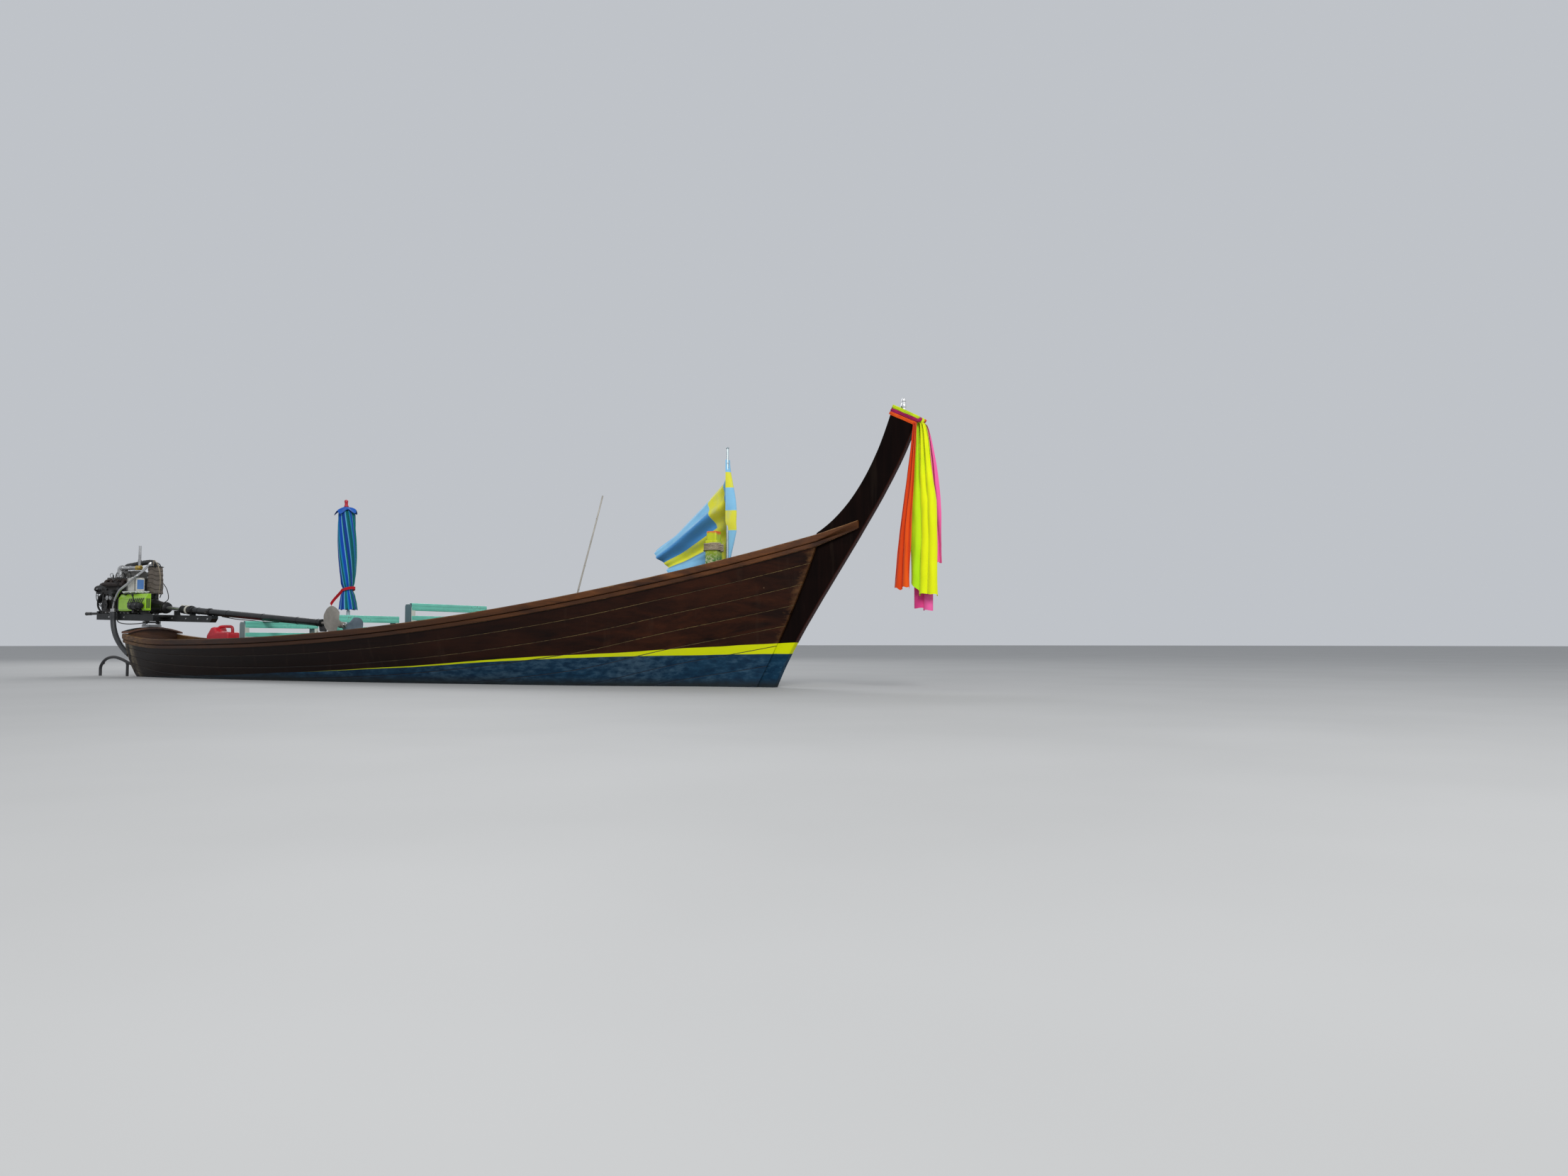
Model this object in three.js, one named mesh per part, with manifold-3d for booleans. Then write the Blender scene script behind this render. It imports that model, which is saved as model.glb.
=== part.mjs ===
// A wooden longtail boat with its engine swung forward and stowed over the benches.
// Millimetres. +X to the bow, +Y to port, +Z up, with the origin amidships on the waterline.
import * as THREE from "three";
import { mergeVertices } from "three/addons/utils/BufferGeometryUtils.js";
import Module from "manifold-3d";

const wasm = await Module();
wasm.setup();

// Driving dimensions of the hull
const STERN = -4930; // sheer line at the transom
const BOW = 4220; // sheer line at the stem, where the planks end
const WIDEST_AT = -600;
const HALF_BEAM = 800;
const HALF_STERN = 385;
const HALF_BOW = 103.6;
const LOW_SHEER_AT = -4000;
const LOW_SHEER = 456;
const KEEL_DRAFT = 300;
const PLANK = 28;
const GAP = 0.5; // between pieces that touch
const STRAKES = 6;
const STATIONS = 22;
const RAIL_HEIGHT = 66;
const RAIL_PROUD = 30;
const RIB_DEPTH = 50;
const RIB_WIDTH = 45;
const RIB_SPACING = 620;
const KEEL_HALF_WIDTH = 80;
const KEEL_DEPTH = 60;
const STEM_HALF = 45;

// Driving dimensions of the decks and benches
const FLOOR_TOP = -90;
const STERN_DECK_TOP = 150;
const FOREDECK_TOP = 950;
const BOARD = 22;
const RISER_TOP = 250;
const SEAT = { thick: 25, aft: 48, fore: 400 };
// The second backrest is short on the starboard side, where the stowed shaft lies beside it
const BENCHES = [
  { name: "1", x: -2680, port: 530, starboard: 530, top: 664 },
  { name: "2", x: -1445, port: 580, starboard: 385, top: 725 },
  { name: "3", x: -175, port: 600, starboard: 600, top: 830 },
];

// Driving dimensions of the engine on its swivel: the shaft axis falls towards the bow at rest.
// The engine is drawn pointing straight forward, and at the end its group turns to starboard.
const PIVOT = { x: -4920, z: 672 };
const STOWED = Math.atan(0.125);
const SHAFT = { x: -4363, z: 834, slope: -0.0704 };
const HUB_X = -1204;
const shaftZ = (x) => SHAFT.z + SHAFT.slope * (x - SHAFT.x);
const shaftPoint = (x) => new THREE.Vector3(x, 0, shaftZ(x));

// Small helpers
const clamp01 = (v) => Math.min(1, Math.max(0, v));
const smooth = (v) => clamp01(v) ** 2 * (3 - 2 * clamp01(v));
const lerp = (a, b, t) => a + (b - a) * t;
const vec = (x, y, z) => new THREE.Vector3(x, y, z);
const degrees = (a) => (a * Math.PI) / 180;

function positionsOnly(geometry) {
  const bare = geometry.index ? geometry.toNonIndexed() : geometry.clone();
  for (const name of Object.keys(bare.attributes)) if (name !== "position") bare.deleteAttribute(name);
  return bare;
}

function solid(geometry) {
  const merged = mergeVertices(positionsOnly(geometry), 1e-3);
  return new wasm.Manifold(
    new wasm.Mesh({
      numProp: 3,
      vertProperties: new Float32Array(merged.attributes.position.array),
      triVerts: new Uint32Array(merged.index.array),
    }),
  );
}

function geometryOf(made) {
  const mesh = made.getMesh();
  const geometry = new THREE.BufferGeometry();
  geometry.setAttribute("position", new THREE.BufferAttribute(new Float32Array(mesh.vertProperties), 3));
  geometry.setIndex(new THREE.BufferAttribute(new Uint32Array(mesh.triVerts), 1));
  return geometry;
}

const join = (...pieces) => geometryOf(pieces.map(solid).reduce((a, b) => a.add(b)));
const cut = (piece, ...tools) => geometryOf(tools.map(solid).reduce((a, b) => a.subtract(b), solid(piece)));
const common = (a, b) => geometryOf(solid(a).intersect(solid(b)));

function box(x0, x1, y0, y1, z0, z1) {
  return new THREE.BoxGeometry(x1 - x0, y1 - y0, z1 - z0).translate((x0 + x1) / 2, (y0 + y1) / 2, (z0 + z1) / 2);
}

// A cylinder or cone between two points
function rod(a, b, radiusA, radiusB = radiusA, sides = 16) {
  const along = b.clone().sub(a);
  const geometry = new THREE.CylinderGeometry(radiusB, radiusA, along.length(), sides);
  const turn = new THREE.Quaternion().setFromUnitVectors(vec(0, 1, 0), along.clone().normalize());
  return geometry.applyQuaternion(turn).translate(...a.clone().add(b).multiplyScalar(0.5).toArray());
}

// A solid tube along a smooth curve through the points
function tube(points, radius, sides = 10, steps = 24) {
  const section = new THREE.Shape();
  for (let i = 0; i < sides; i += 1) {
    const angle = (2 * Math.PI * i) / sides;
    const at = [radius * Math.cos(angle), radius * Math.sin(angle)];
    if (i === 0) section.moveTo(...at);
    else section.lineTo(...at);
  }
  section.closePath();
  return new THREE.ExtrudeGeometry(section, {
    steps,
    extrudePath: new THREE.CatmullRomCurve3(points),
    bevelEnabled: false,
  });
}

// Joins rings of points, each ring flat enough to be capped in its own (a, b) coordinates.
// The strips named in flipped are split along their other diagonal, to match a neighbour's.
function loft(rings, flat = (p) => [p.y, p.z], flipped = () => false) {
  const count = rings[0].length;
  const at = [];
  const faces = [];
  for (const ring of rings) for (const p of ring) at.push(p.x, p.y, p.z);
  for (let r = 0; r + 1 < rings.length; r += 1)
    for (let i = 0; i < count; i += 1) {
      const j = (i + 1) % count;
      const [a, b, c, d] = [r * count + i, r * count + j, (r + 1) * count + j, (r + 1) * count + i];
      if (flipped(i)) faces.push(a, b, d, b, c, d);
      else faces.push(a, b, c, a, c, d);
    }
  const capOf = (ring) => {
    const contour = ring.map((p) => new THREE.Vector2(...flat(p)));
    const clockwise = THREE.ShapeUtils.isClockWise(contour);
    const order = contour.map((_, i) => (clockwise ? contour.length - 1 - i : i));
    return THREE.ShapeUtils.triangulateShape(order.map((i) => contour[i]), []).map((f) => {
      const face = f.map((i) => order[i]);
      return clockwise ? face.reverse() : face;
    });
  };
  const last = (rings.length - 1) * count;
  for (const [a, b, c] of capOf(rings[0])) faces.push(c, b, a);
  for (const [a, b, c] of capOf(rings.at(-1))) faces.push(last + a, last + b, last + c);
  const geometry = new THREE.BufferGeometry();
  geometry.setAttribute("position", new THREE.Float32BufferAttribute(at, 3));
  geometry.setIndex(faces);
  return outward(geometry);
}

// Turns a closed geometry's faces out, whichever way its rings ran
function outward(geometry) {
  const index = geometry.index.array;
  const p = (i) => new THREE.Vector3().fromBufferAttribute(geometry.attributes.position, i);
  let volume = 0;
  for (let i = 0; i < index.length; i += 3)
    volume += p(index[i]).dot(p(index[i + 1]).cross(p(index[i + 2])));
  if (volume < 0)
    for (let i = 0; i < index.length; i += 3) [index[i], index[i + 2]] = [index[i + 2], index[i]];
  return geometry;
}

// The hull's form
function sheerHeight(x) {
  const run = x - LOW_SHEER_AT;
  return run > 0 ? LOW_SHEER + 1000 * 0.00654 * (run / 1000) ** 2.37 : LOW_SHEER + 85 * (run / 1000) ** 2;
}

function halfBreadth(x) {
  if (x < WIDEST_AT)
    return lerp(HALF_BEAM, HALF_STERN, Math.min(1, (WIDEST_AT - x) / (WIDEST_AT - STERN)) ** 2.2);
  return lerp(HALF_BEAM, HALF_BOW, Math.min(1, (x - WIDEST_AT) / (BOW - WIDEST_AT)) ** 2);
}

function keelHeight(x) {
  const aft = Math.max(0, (-x - 3000) / 1930);
  const fore = Math.max(0, (x - 1500) / 2000);
  return -KEEL_DRAFT + 150 * aft ** 2 + 130 * fore ** 2;
}

// One station is a quadratic curve from the sheer to the keel, in a plane that leans at both ends
function station(x) {
  const toBow = smooth((x - 1800) / (BOW - 1800));
  const toStern = 1 - smooth((x - STERN) / 800);
  const lowX = x - 720 * toBow ** 1.3 + 170 * toStern;
  const top = vec(x, halfBreadth(x) - RAIL_PROUD, sheerHeight(x) - RAIL_HEIGHT);
  const low = vec(lowX, lerp(30, HALF_BOW - RAIL_PROUD, smooth((x - 1600) / 1300)), keelHeight(lowX));
  const fullness = lerp(lerp(0.93, 0.52, toBow), 0.85, toStern);
  const bend = vec(
    lerp(top.x, low.x, fullness * 0.75),
    lerp(low.y, top.y, fullness),
    lerp(top.z, low.z, lerp(0.94, 0.5, toBow)),
  );
  return { top, bend, low };
}

const NODES_DOWN = 2 * STRAKES; // two steps to each strake
const stationX = Array.from({ length: STATIONS + 1 }, (_, i) => lerp(STERN, BOW, i / STATIONS));

// Outer points and inward directions at equal steps down each station
const stationPoints = stationX.map((x) => {
  const { top, bend, low } = station(x);
  const curve = new THREE.QuadraticBezierCurve3(top, bend, low);
  curve.arcLengthDivisions = 200;
  return Array.from({ length: NODES_DOWN + 1 }, (_, j) => {
    const along = curve.getTangentAt(j / NODES_DOWN);
    const inward = vec(0, along.z, -along.y).normalize();
    return { at: curve.getPointAt(j / NODES_DOWN), inward };
  });
});

// A point of the hull: x along the sheer, j steps down from it, and a depth in from the outside
function hullPoint(x, j, depth, side = 1) {
  const run = clamp01((x - STERN) / (BOW - STERN)) * STATIONS;
  const i = Math.min(STATIONS - 1, Math.floor(run));
  const k = Math.min(NODES_DOWN - 1, Math.floor(j));
  const corner = (a, b) => {
    const { at, inward } = stationPoints[a][b];
    return at.clone().addScaledVector(inward, depth);
  };
  const fore = corner(i, k).lerp(corner(i, k + 1), j - k);
  const next = corner(i + 1, k).lerp(corner(i + 1, k + 1), j - k);
  const p = fore.lerp(next, run - i);
  return vec(p.x, side * p.y, p.z);
}

// Where the hull, at a depth, crosses a height
function hullAtHeight(x, z, depth) {
  for (let j = 0; j < NODES_DOWN; j += 1) {
    const a = hullPoint(x, j, depth);
    const b = hullPoint(x, j + 1, depth);
    if (a.z >= z && b.z <= z) return a.lerp(b, (a.z - z) / (a.z - b.z));
  }
  throw new Error("the hull doesn't reach that height");
}

const girthAt = (x) => {
  const { top, bend, low } = station(x);
  return new THREE.QuadraticBezierCurve3(top, bend, low).getLength();
};

const UPPER_EDGE = 5; // the strip of a strake's ring that faces the strake above it
function strake(number, side) {
  const rings = stationX.map((x) => {
    const seam = (NODES_DOWN * GAP * 0.5) / girthAt(x);
    const steps = [2 * number + seam, 2 * number + 1, 2 * number + 2 - seam];
    const outer = steps.map((j) => hullPoint(x, j, 0, side));
    const inner = steps.map((j) => hullPoint(x, j, PLANK, side));
    return [...outer, ...inner.reverse()];
  });
  return loft(rings, undefined, (strip) => strip === UPPER_EDGE);
}

// The space inside the planks, at a depth in from the hull's outside
function inside(depth) {
  const rings = stationX.map((x) => {
    const down = Array.from({ length: NODES_DOWN + 1 }, (_, j) => hullPoint(x, j, depth));
    const up = [...down].reverse().map((p) => vec(p.x, -p.y, p.z));
    return [...down, ...up];
  });
  return loft(rings, undefined, (strip) => strip < NODES_DOWN);
}
const IN_PLANKS = PLANK + GAP;
const IN_RIBS = PLANK + RIB_DEPTH + GAP;

// The rail: a cap over the plank's edge with a rubbing band under it, run on beside the stem
const RAIL_END = 4690;
function gunwale(side) {
  const rings = [...stationX, lerp(BOW, RAIL_END, 0.5), RAIL_END].map((x) => {
    const beyond = Math.max(0, x - BOW);
    const p = hullPoint(Math.min(x, BOW), 0, 0);
    const q = hullPoint(Math.min(x, BOW), 0.6, 0);
    const down = q.clone().sub(p).setX(0).normalize();
    const out = vec(0, -down.z, down.y);
    p.x += beyond;
    p.z += sheerHeight(x) - sheerHeight(Math.min(x, BOW));
    const thin = lerp(1, 0.35, beyond / (RAIL_END - BOW));
    const reach = Math.min(45, p.y - STEM_HALF - GAP);
    const under = p.clone().addScaledVector(out, -reach);
    const band = (along, off) => p.clone().addScaledVector(down, along).addScaledVector(out, off);
    const ring = [
      vec(p.x, p.y + RAIL_PROUD * thin, p.z + RAIL_HEIGHT),
      vec(p.x, p.y + RAIL_PROUD * thin, p.z + RAIL_HEIGHT * (1 - thin)),
      band(4, 20 * thin),
      band(44 * thin, 20 * thin),
      band(44 * thin, 2 * GAP),
      band(-1.5 * GAP, 2 * GAP),
      vec(p.x, under.y, under.z + 1.5 * GAP),
      vec(p.x, under.y, p.z + RAIL_HEIGHT),
    ];
    return ring.map((v) => v.setY(side * v.y));
  });
  return loft(rings, undefined, (strip) => strip === 4);
}

// The keel lies under the planks, with a tongue up between the lowest two
function keel() {
  const end = 3300;
  const xs = stationX.filter((x) => station(x).low.x < end - 60);
  const ringAt = (x, z, edge) => {
    const bottom = z - GAP;
    const half = [
      [edge.y - 4, bottom + edge.rise],
      [edge.y - 4, bottom],
      [KEEL_HALF_WIDTH, bottom],
      [KEEL_HALF_WIDTH * 0.8, bottom - KEEL_DEPTH],
    ];
    return [...half.map(([a, b]) => vec(x, a, b)), ...half.reverse().map(([a, b]) => vec(x, -a, b))];
  };
  const edgeAt = (x) => {
    const [outer, inner] = [0, PLANK].map((depth) => hullPoint(x, NODES_DOWN, depth));
    return { y: Math.min(outer.y, inner.y), rise: inner.z - outer.z };
  };
  const rings = xs.map((x) => ringAt(station(x).low.x, station(x).low.z, edgeAt(x)));
  rings.push(ringAt(end, keelHeight(end), edgeAt(xs.at(-1))));
  return loft(rings);
}

// The stem and the tall prow are one plank on edge, with a sloping top
const PROW = { fore: 5165, foreZ: 2440, aft: 4945, aftZ: 2555 };
const PROW_SLOPE = (PROW.foreZ - PROW.aftZ) / (PROW.fore - PROW.aft);
function stem() {
  const foot = keelHeight(3300) - KEEL_DEPTH;
  const outline = new THREE.Shape();
  outline.moveTo(3301, foot);
  outline.lineTo(3430, foot);
  outline.quadraticCurveTo(3690, foot, 3769, 0);
  outline.bezierCurveTo(4020, 640, 5000, 1805, PROW.fore, PROW.foreZ);
  outline.lineTo(PROW.aft, PROW.aftZ);
  outline.quadraticCurveTo(4685, 1725, 4200, 1440);
  outline.lineTo(3560, 40);
  outline.quadraticCurveTo(3480, -110, 3301, foot + 110);
  outline.closePath();
  const bevel = 14;
  return new THREE.ExtrudeGeometry(outline, {
    depth: 2 * (STEM_HALF - bevel),
    curveSegments: 14,
    bevelThickness: bevel,
    bevelSize: bevel,
    bevelOffset: -bevel,
    bevelSegments: 1,
  })
    .rotateX(Math.PI / 2)
    .translate(0, STEM_HALF - bevel, 0);
}

// The transom closes the planks' ends and rises to a crowned head that carries the swivel
const CROWN_TOP = 590;
const crown = (y, ends) => CROWN_TOP - (CROWN_TOP - sheerHeight(STERN) - 2) * (y / ends) ** 2;

function transom() {
  const half = halfBreadth(STERN) - 14;
  const ringAt = (x) => {
    const points = [];
    const corner = hullPoint(x, 0, PLANK + 2 * GAP);
    const shoulder = hullPoint(x, 0, 0).y - 45 - GAP;
    for (let i = 0; i <= 8; i += 1) {
      const y = lerp(shoulder, -shoulder, i / 8);
      points.push(vec(corner.x, y, crown(y, half)));
    }
    points.push(vec(corner.x, -shoulder, corner.z - GAP), vec(corner.x, -corner.y, corner.z - GAP));
    for (let j = 1; j <= NODES_DOWN; j += 1) points.push(hullPoint(x, j, PLANK + 2 * GAP, -1));
    for (let j = NODES_DOWN; j >= 1; j -= 1) points.push(hullPoint(x, j, PLANK + 2 * GAP));
    points.push(vec(corner.x, corner.y, corner.z - GAP), vec(corner.x, shoulder, corner.z - GAP));
    return points;
  };
  return loft([ringAt(STERN + 6), ringAt(STERN + 60)]);
}

// A batten bent over the transom's head, resting on the rails at both ends
const ARCH = { x0: STERN - 30, x1: STERN + 100, thick: 24 };
function sternArch() {
  const half = halfBreadth(STERN) - 14;
  const steps = 12;
  const rings = Array.from({ length: steps + 1 }, (_, i) => {
    const y = lerp(-half, half, i / steps);
    const z = crown(y, half) + GAP;
    return [
      vec(ARCH.x0, y, z),
      vec(ARCH.x1, y, z),
      vec(ARCH.x1, y, z + ARCH.thick),
      vec(ARCH.x0, y, z + ARCH.thick),
    ];
  });
  return loft(rings, (p) => [p.x, p.z]);
}

// The ribs are bent over the planks' inside and joined along the bottom by the keelson
const ribX = Array.from({ length: 12 }, (_, i) => -4150 + RIB_SPACING * i);
const KEELSON = { from: -4500, to: 2900, half: 55, deeper: 15 };
function frames() {
  const slab = (x) => box(x, x + RIB_WIDTH, -900, 900, -400, 1500);
  const planks = inside(IN_PLANKS);
  const ribs = cut(common(planks, join(...ribX.map(slab))), inside(PLANK + RIB_DEPTH));
  const run = box(KEELSON.from, KEELSON.to, -KEELSON.half, KEELSON.half, -400, 200);
  const keelson = cut(common(planks, run), inside(PLANK + RIB_DEPTH + KEELSON.deeper));
  return join(ribs, keelson);
}

// A deck of boards, trimmed to the space inside the ribs or the planks
function deck(from, to, top, thick, depth = IN_RIBS) {
  return common(inside(depth), box(from, to, -900, 900, top - thick, top));
}

// Stringers along the ribs carry the seats
const RISER = { from: -2950, to: 700, high: 70, thick: 34 };
function riser(side) {
  const [y0, y1] = side > 0 ? [0, 900] : [-900, 0];
  const band = box(RISER.from, RISER.to, y0, y1, RISER_TOP - RISER.high, RISER_TOP);
  return cut(common(inside(IN_RIBS), band), inside(IN_RIBS + RISER.thick));
}

const SEAT_TOP = RISER_TOP + GAP + SEAT.thick;
const seat = ({ x }) => deck(x - SEAT.aft, x + SEAT.fore, SEAT_TOP, SEAT.thick);

// A backrest: a post at each end and two rails between them
function backrest({ x, port, starboard, top }) {
  const [aft, fore] = [x - 45, x + 45];
  const post = (y0, y1) => box(aft, fore, y0, y1, SEAT_TOP + GAP, top - 8);
  const rail = (z0, z1) => box(fore - 30, fore + 1, -starboard + 2, port - 2, z0, z1);
  return join(
    post(-starboard, -starboard + 60),
    post(port - 60, port),
    rail(top - 78, top),
    rail(top - 180, top - 130),
  );
}

// The bow post stands on the foredeck, with rope wound on it below the head
const POST = { x: 3100, half: 62, top: 1500, ropeLow: 1300, ropeHigh: 1390 };
function bowPost() {
  const square = (half, z0, z1) => box(POST.x - half, POST.x + half, -half, half, z0, z1);
  return join(square(POST.half, FOREDECK_TOP + GAP, POST.top - 50), square(POST.half - 12, POST.top - 60, POST.top));
}

function lathe(profile, x, y, sides) {
  const points = profile.map(([r, z]) => new THREE.Vector2(r, z));
  const turned = new THREE.LatheGeometry(points, sides).rotateX(Math.PI / 2).translate(x, y, 0);
  return outward(mergeVertices(positionsOnly(turned), 1e-3));
}

function postRope() {
  const near = POST.half + GAP;
  const far = near + 26;
  const block = (half, z0, z1) => box(POST.x - half, POST.x + half, -half, half, z0, z1);
  return cut(block(far, POST.ropeLow, POST.ropeHigh), block(near, POST.ropeLow - 10, POST.ropeHigh + 10));
}

// The flagpole stands beside the post, and the flag hangs aft and down from it
const POLE = { x: 3195, y: 104, radius: 12, top: 2330 };
const flagpole = () =>
  rod(vec(POLE.x, POLE.y, FOREDECK_TOP + GAP), vec(POLE.x, POLE.y, POLE.top), POLE.radius, POLE.radius, 12);

const FLAG = { thick: 12, high: [POLE.x, 2190], low: [POLE.x, 1215], flyHigh: [2278, 1346], flyLow: [2494, 1111] };
function flag() {
  const steps = 12;
  const off = POLE.radius + GAP;
  const rings = Array.from({ length: steps + 1 }, (_, i) => {
    const t = i / steps;
    const y = POLE.y + 14 * Math.sin(3 * Math.PI * t) ** 2 - FLAG.thick / 2;
    const at = (a, b) => [lerp(a[0] - off, b[0], t), lerp(a[1], b[1], t)];
    const [x0, z0] = at(FLAG.low, FLAG.flyLow);
    const [x1, z1] = at(FLAG.high, FLAG.flyHigh);
    return [vec(x0, y, z0), vec(x0, y + FLAG.thick, z0), vec(x1, y + FLAG.thick, z1), vec(x1, y, z1)];
  });
  return loft(rings);
}

// The furled umbrella stands behind the second backrest
const UMBRELLA = { x: -1512, y: -105, radius: 14, hem: 805, top: 2040 };
const umbrellaPole = () => {
  const at = (z) => vec(UMBRELLA.x, UMBRELLA.y, z);
  return rod(at(FLOOR_TOP + GAP), at(UMBRELLA.hem - GAP), UMBRELLA.radius, UMBRELLA.radius, 12);
};

function umbrellaCanopy() {
  const { hem, top } = UMBRELLA;
  const profile = [
    [0, hem],
    [106, hem],
    [80, hem + 130],
    [64, hem + 230],
    [86, hem + 420],
    [98, hem + 760],
    [90, top - 130],
    [18, top - 80],
    [12, top],
    [0, top],
  ];
  return lathe(profile, UMBRELLA.x, UMBRELLA.y, 20);
}

// A thin pole leans on the port rail
function leaningPole() {
  const foot = vec(987, 325, FLOOR_TOP + 4.5);
  const onRail = vec(1018, 634.4, 757);
  const top = foot.clone().lerp(onRail, 2.58);
  return rod(foot, top, 11, 9, 10);
}

// A fuel can stands on the stern deck
const CAN = { x0: -3430, x1: -3070, y0: -400, y1: -230, shoulder: 560, top: 625 };
function fuelCan() {
  const middle = (CAN.y0 + CAN.y1) / 2;
  const capX = CAN.x0 + 62;
  const handle = cut(
    box(CAN.x0 + 120, CAN.x1 - 6, middle - 20, middle + 20, CAN.shoulder - 5, CAN.top),
    box(CAN.x0 + 172, CAN.x1 - 60, middle - 30, middle + 30, CAN.shoulder, CAN.top - 24),
  );
  return join(
    box(CAN.x0, CAN.x1, CAN.y0, CAN.y1, STERN_DECK_TOP + GAP, CAN.shoulder),
    handle,
    rod(vec(capX, middle, CAN.shoulder - 5), vec(capX, middle, CAN.top - 15), 32),
  );
}

// The prow's head: a band tied round it with a knot at the fore side, and a turned finial on top
const HEAD = { x: 5056, z: 2470, lean: 0.46, halfWidth: 140, halfHeight: 45, wall: 8 };
const KNOT = { x0: 5174, x1: 5240, y0: -97, y1: 64, z0: 2374, z1: 2444 };
function headBand() {
  const sleeve = (wall, high) => {
    const wide = HEAD.halfWidth + wall;
    const deep = STEM_HALF + GAP + wall;
    return box(-wide, wide, -deep, deep, -high, high).rotateY(HEAD.lean).translate(HEAD.x, 0, HEAD.z);
  };
  const ring = cut(sleeve(HEAD.wall, HEAD.halfHeight), sleeve(0, HEAD.halfHeight + 10));
  return join(ring, box(KNOT.x0, KNOT.x1, KNOT.y0, KNOT.y1, KNOT.z0, KNOT.z1));
}

function finial() {
  const x = 5042;
  const foot = { x, z: PROW.aftZ + PROW_SLOPE * (x - PROW.aft) };
  const turned = lathe(
    [
      [0, foot.z - 60],
      [34, foot.z - 60],
      [34, foot.z + 22],
      [18, foot.z + 38],
      [26, foot.z + 68],
      [14, foot.z + 106],
      [6, foot.z + 148],
      [0, foot.z + 153],
    ],
    foot.x,
    0,
    16,
  );
  const below = box(-300, 300, -200, 200, -300, 2 * GAP).rotateY(-Math.atan(PROW_SLOPE)).translate(foot.x, 0, foot.z);
  return cut(turned, below);
}

// Scarves hang from the knot: name, top and bottom middle and width along x, span in y, lowest point
const SCARVES = [
  { name: "scarf_orange", color: "#e8641c", top: [5188, 26], low: [5035, 130], y: [-95, -62], z: 900 },
  { name: "scarf_yellow", color: "#dfe22a", top: [5206, 50], low: [5228, 240], y: [-60, -20], z: 855 },
  { name: "scarf_pink", color: "#e23a8c", top: [5210, 56], low: [5265, 290], y: [-17, 35], z: 720 },
];
function scarf({ top, low, y, z }) {
  const steps = 6;
  const rings = Array.from({ length: steps + 1 }, (_, i) => {
    const t = i / steps;
    const middle = lerp(top[0], low[0], t);
    const half = lerp(top[1], low[1], smooth(1.6 * t)) / 2;
    const at = lerp(KNOT.z0 - GAP, z, t);
    return [
      vec(middle - half, y[0], at),
      vec(middle + half, y[0], at),
      vec(middle + half, y[1], at),
      vec(middle - half, y[1], at),
    ];
  });
  return loft(rings, (p) => [p.x, p.y]);
}

// A black pipe loops out of the transom's starboard side and dips into the water
function sternPipe() {
  const y = -240;
  const start = hullAtHeight(STERN + 6, 164, PLANK).x + 0.8;
  const arc = [
    [start, 142],
    [start - 30, 142],
    [-4972, 160],
    [-5130, 211],
    [-5283, 237],
    [-5424, 208],
    [-5515, 124],
    [-5524, 30],
    [-5524, -60],
  ].map(([x, z]) => vec(x, y, z));
  return join(tube(arc, 18, 10, 28), rod(vec(-5018, y, 182), vec(-5018, y, -60), 17, 17, 10));
}

// The swivel: a base bolted on the arch, and a yoke that turns on it and carries the tilt pin
const BASE = { half: 88, low: CROWN_TOP + 2 * GAP + ARCH.thick, high: CROWN_TOP + ARCH.thick + 19 };
const KINGPIN = 16;
const TILT_PIN = 12;
function swivelBase() {
  const plate = box(PIVOT.x - 65, PIVOT.x + 65, -BASE.half, BASE.half, BASE.low, BASE.high);
  const bore = rod(vec(PIVOT.x, 0, BASE.low - 10), vec(PIVOT.x, 0, BASE.high + 10), KINGPIN + GAP, KINGPIN + GAP, 24);
  return cut(plate, bore);
}

const CHEEK = { y0: 86, y1: 100, half: 28, top: PIVOT.z + 14 };
function swivelYoke() {
  const disc = BASE.high + GAP;
  const at = (z) => vec(PIVOT.x, 0, z);
  const cheek = (side) =>
    box(PIVOT.x - CHEEK.half, PIVOT.x + CHEEK.half, ...[side * CHEEK.y0, side * CHEEK.y1].sort((a, b) => a - b),
      disc + 4, CHEEK.top);
  return join(
    rod(at(disc), at(disc + 10), 106, 106, 32),
    rod(at(BASE.low + 2), at(disc + 5), KINGPIN, KINGPIN, 24),
    cheek(1),
    cheek(-1),
    rod(vec(PIVOT.x, -CHEEK.y1 + 2, PIVOT.z), vec(PIVOT.x, CHEEK.y1 - 2, PIVOT.z), TILT_PIN, TILT_PIN, 24),
  );
}

// Everything on the engine's frame leans with it
const FRAME = { slope: -0.024, low: 690, high: 770, railIn: 150, railOut: 190, aft: -5856, cross: -4554, fore: -3565 };
function lean(geometry) {
  const shear = new THREE.Matrix4().set(1, 0, 0, 0, 0, 1, 0, 0, FRAME.slope, 0, 1, -FRAME.slope * PIVOT.x, 0, 0, 0, 1);
  return geometry.applyMatrix4(shear);
}
const leanZ = (x, z) => z + FRAME.slope * (x - PIVOT.x);

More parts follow.
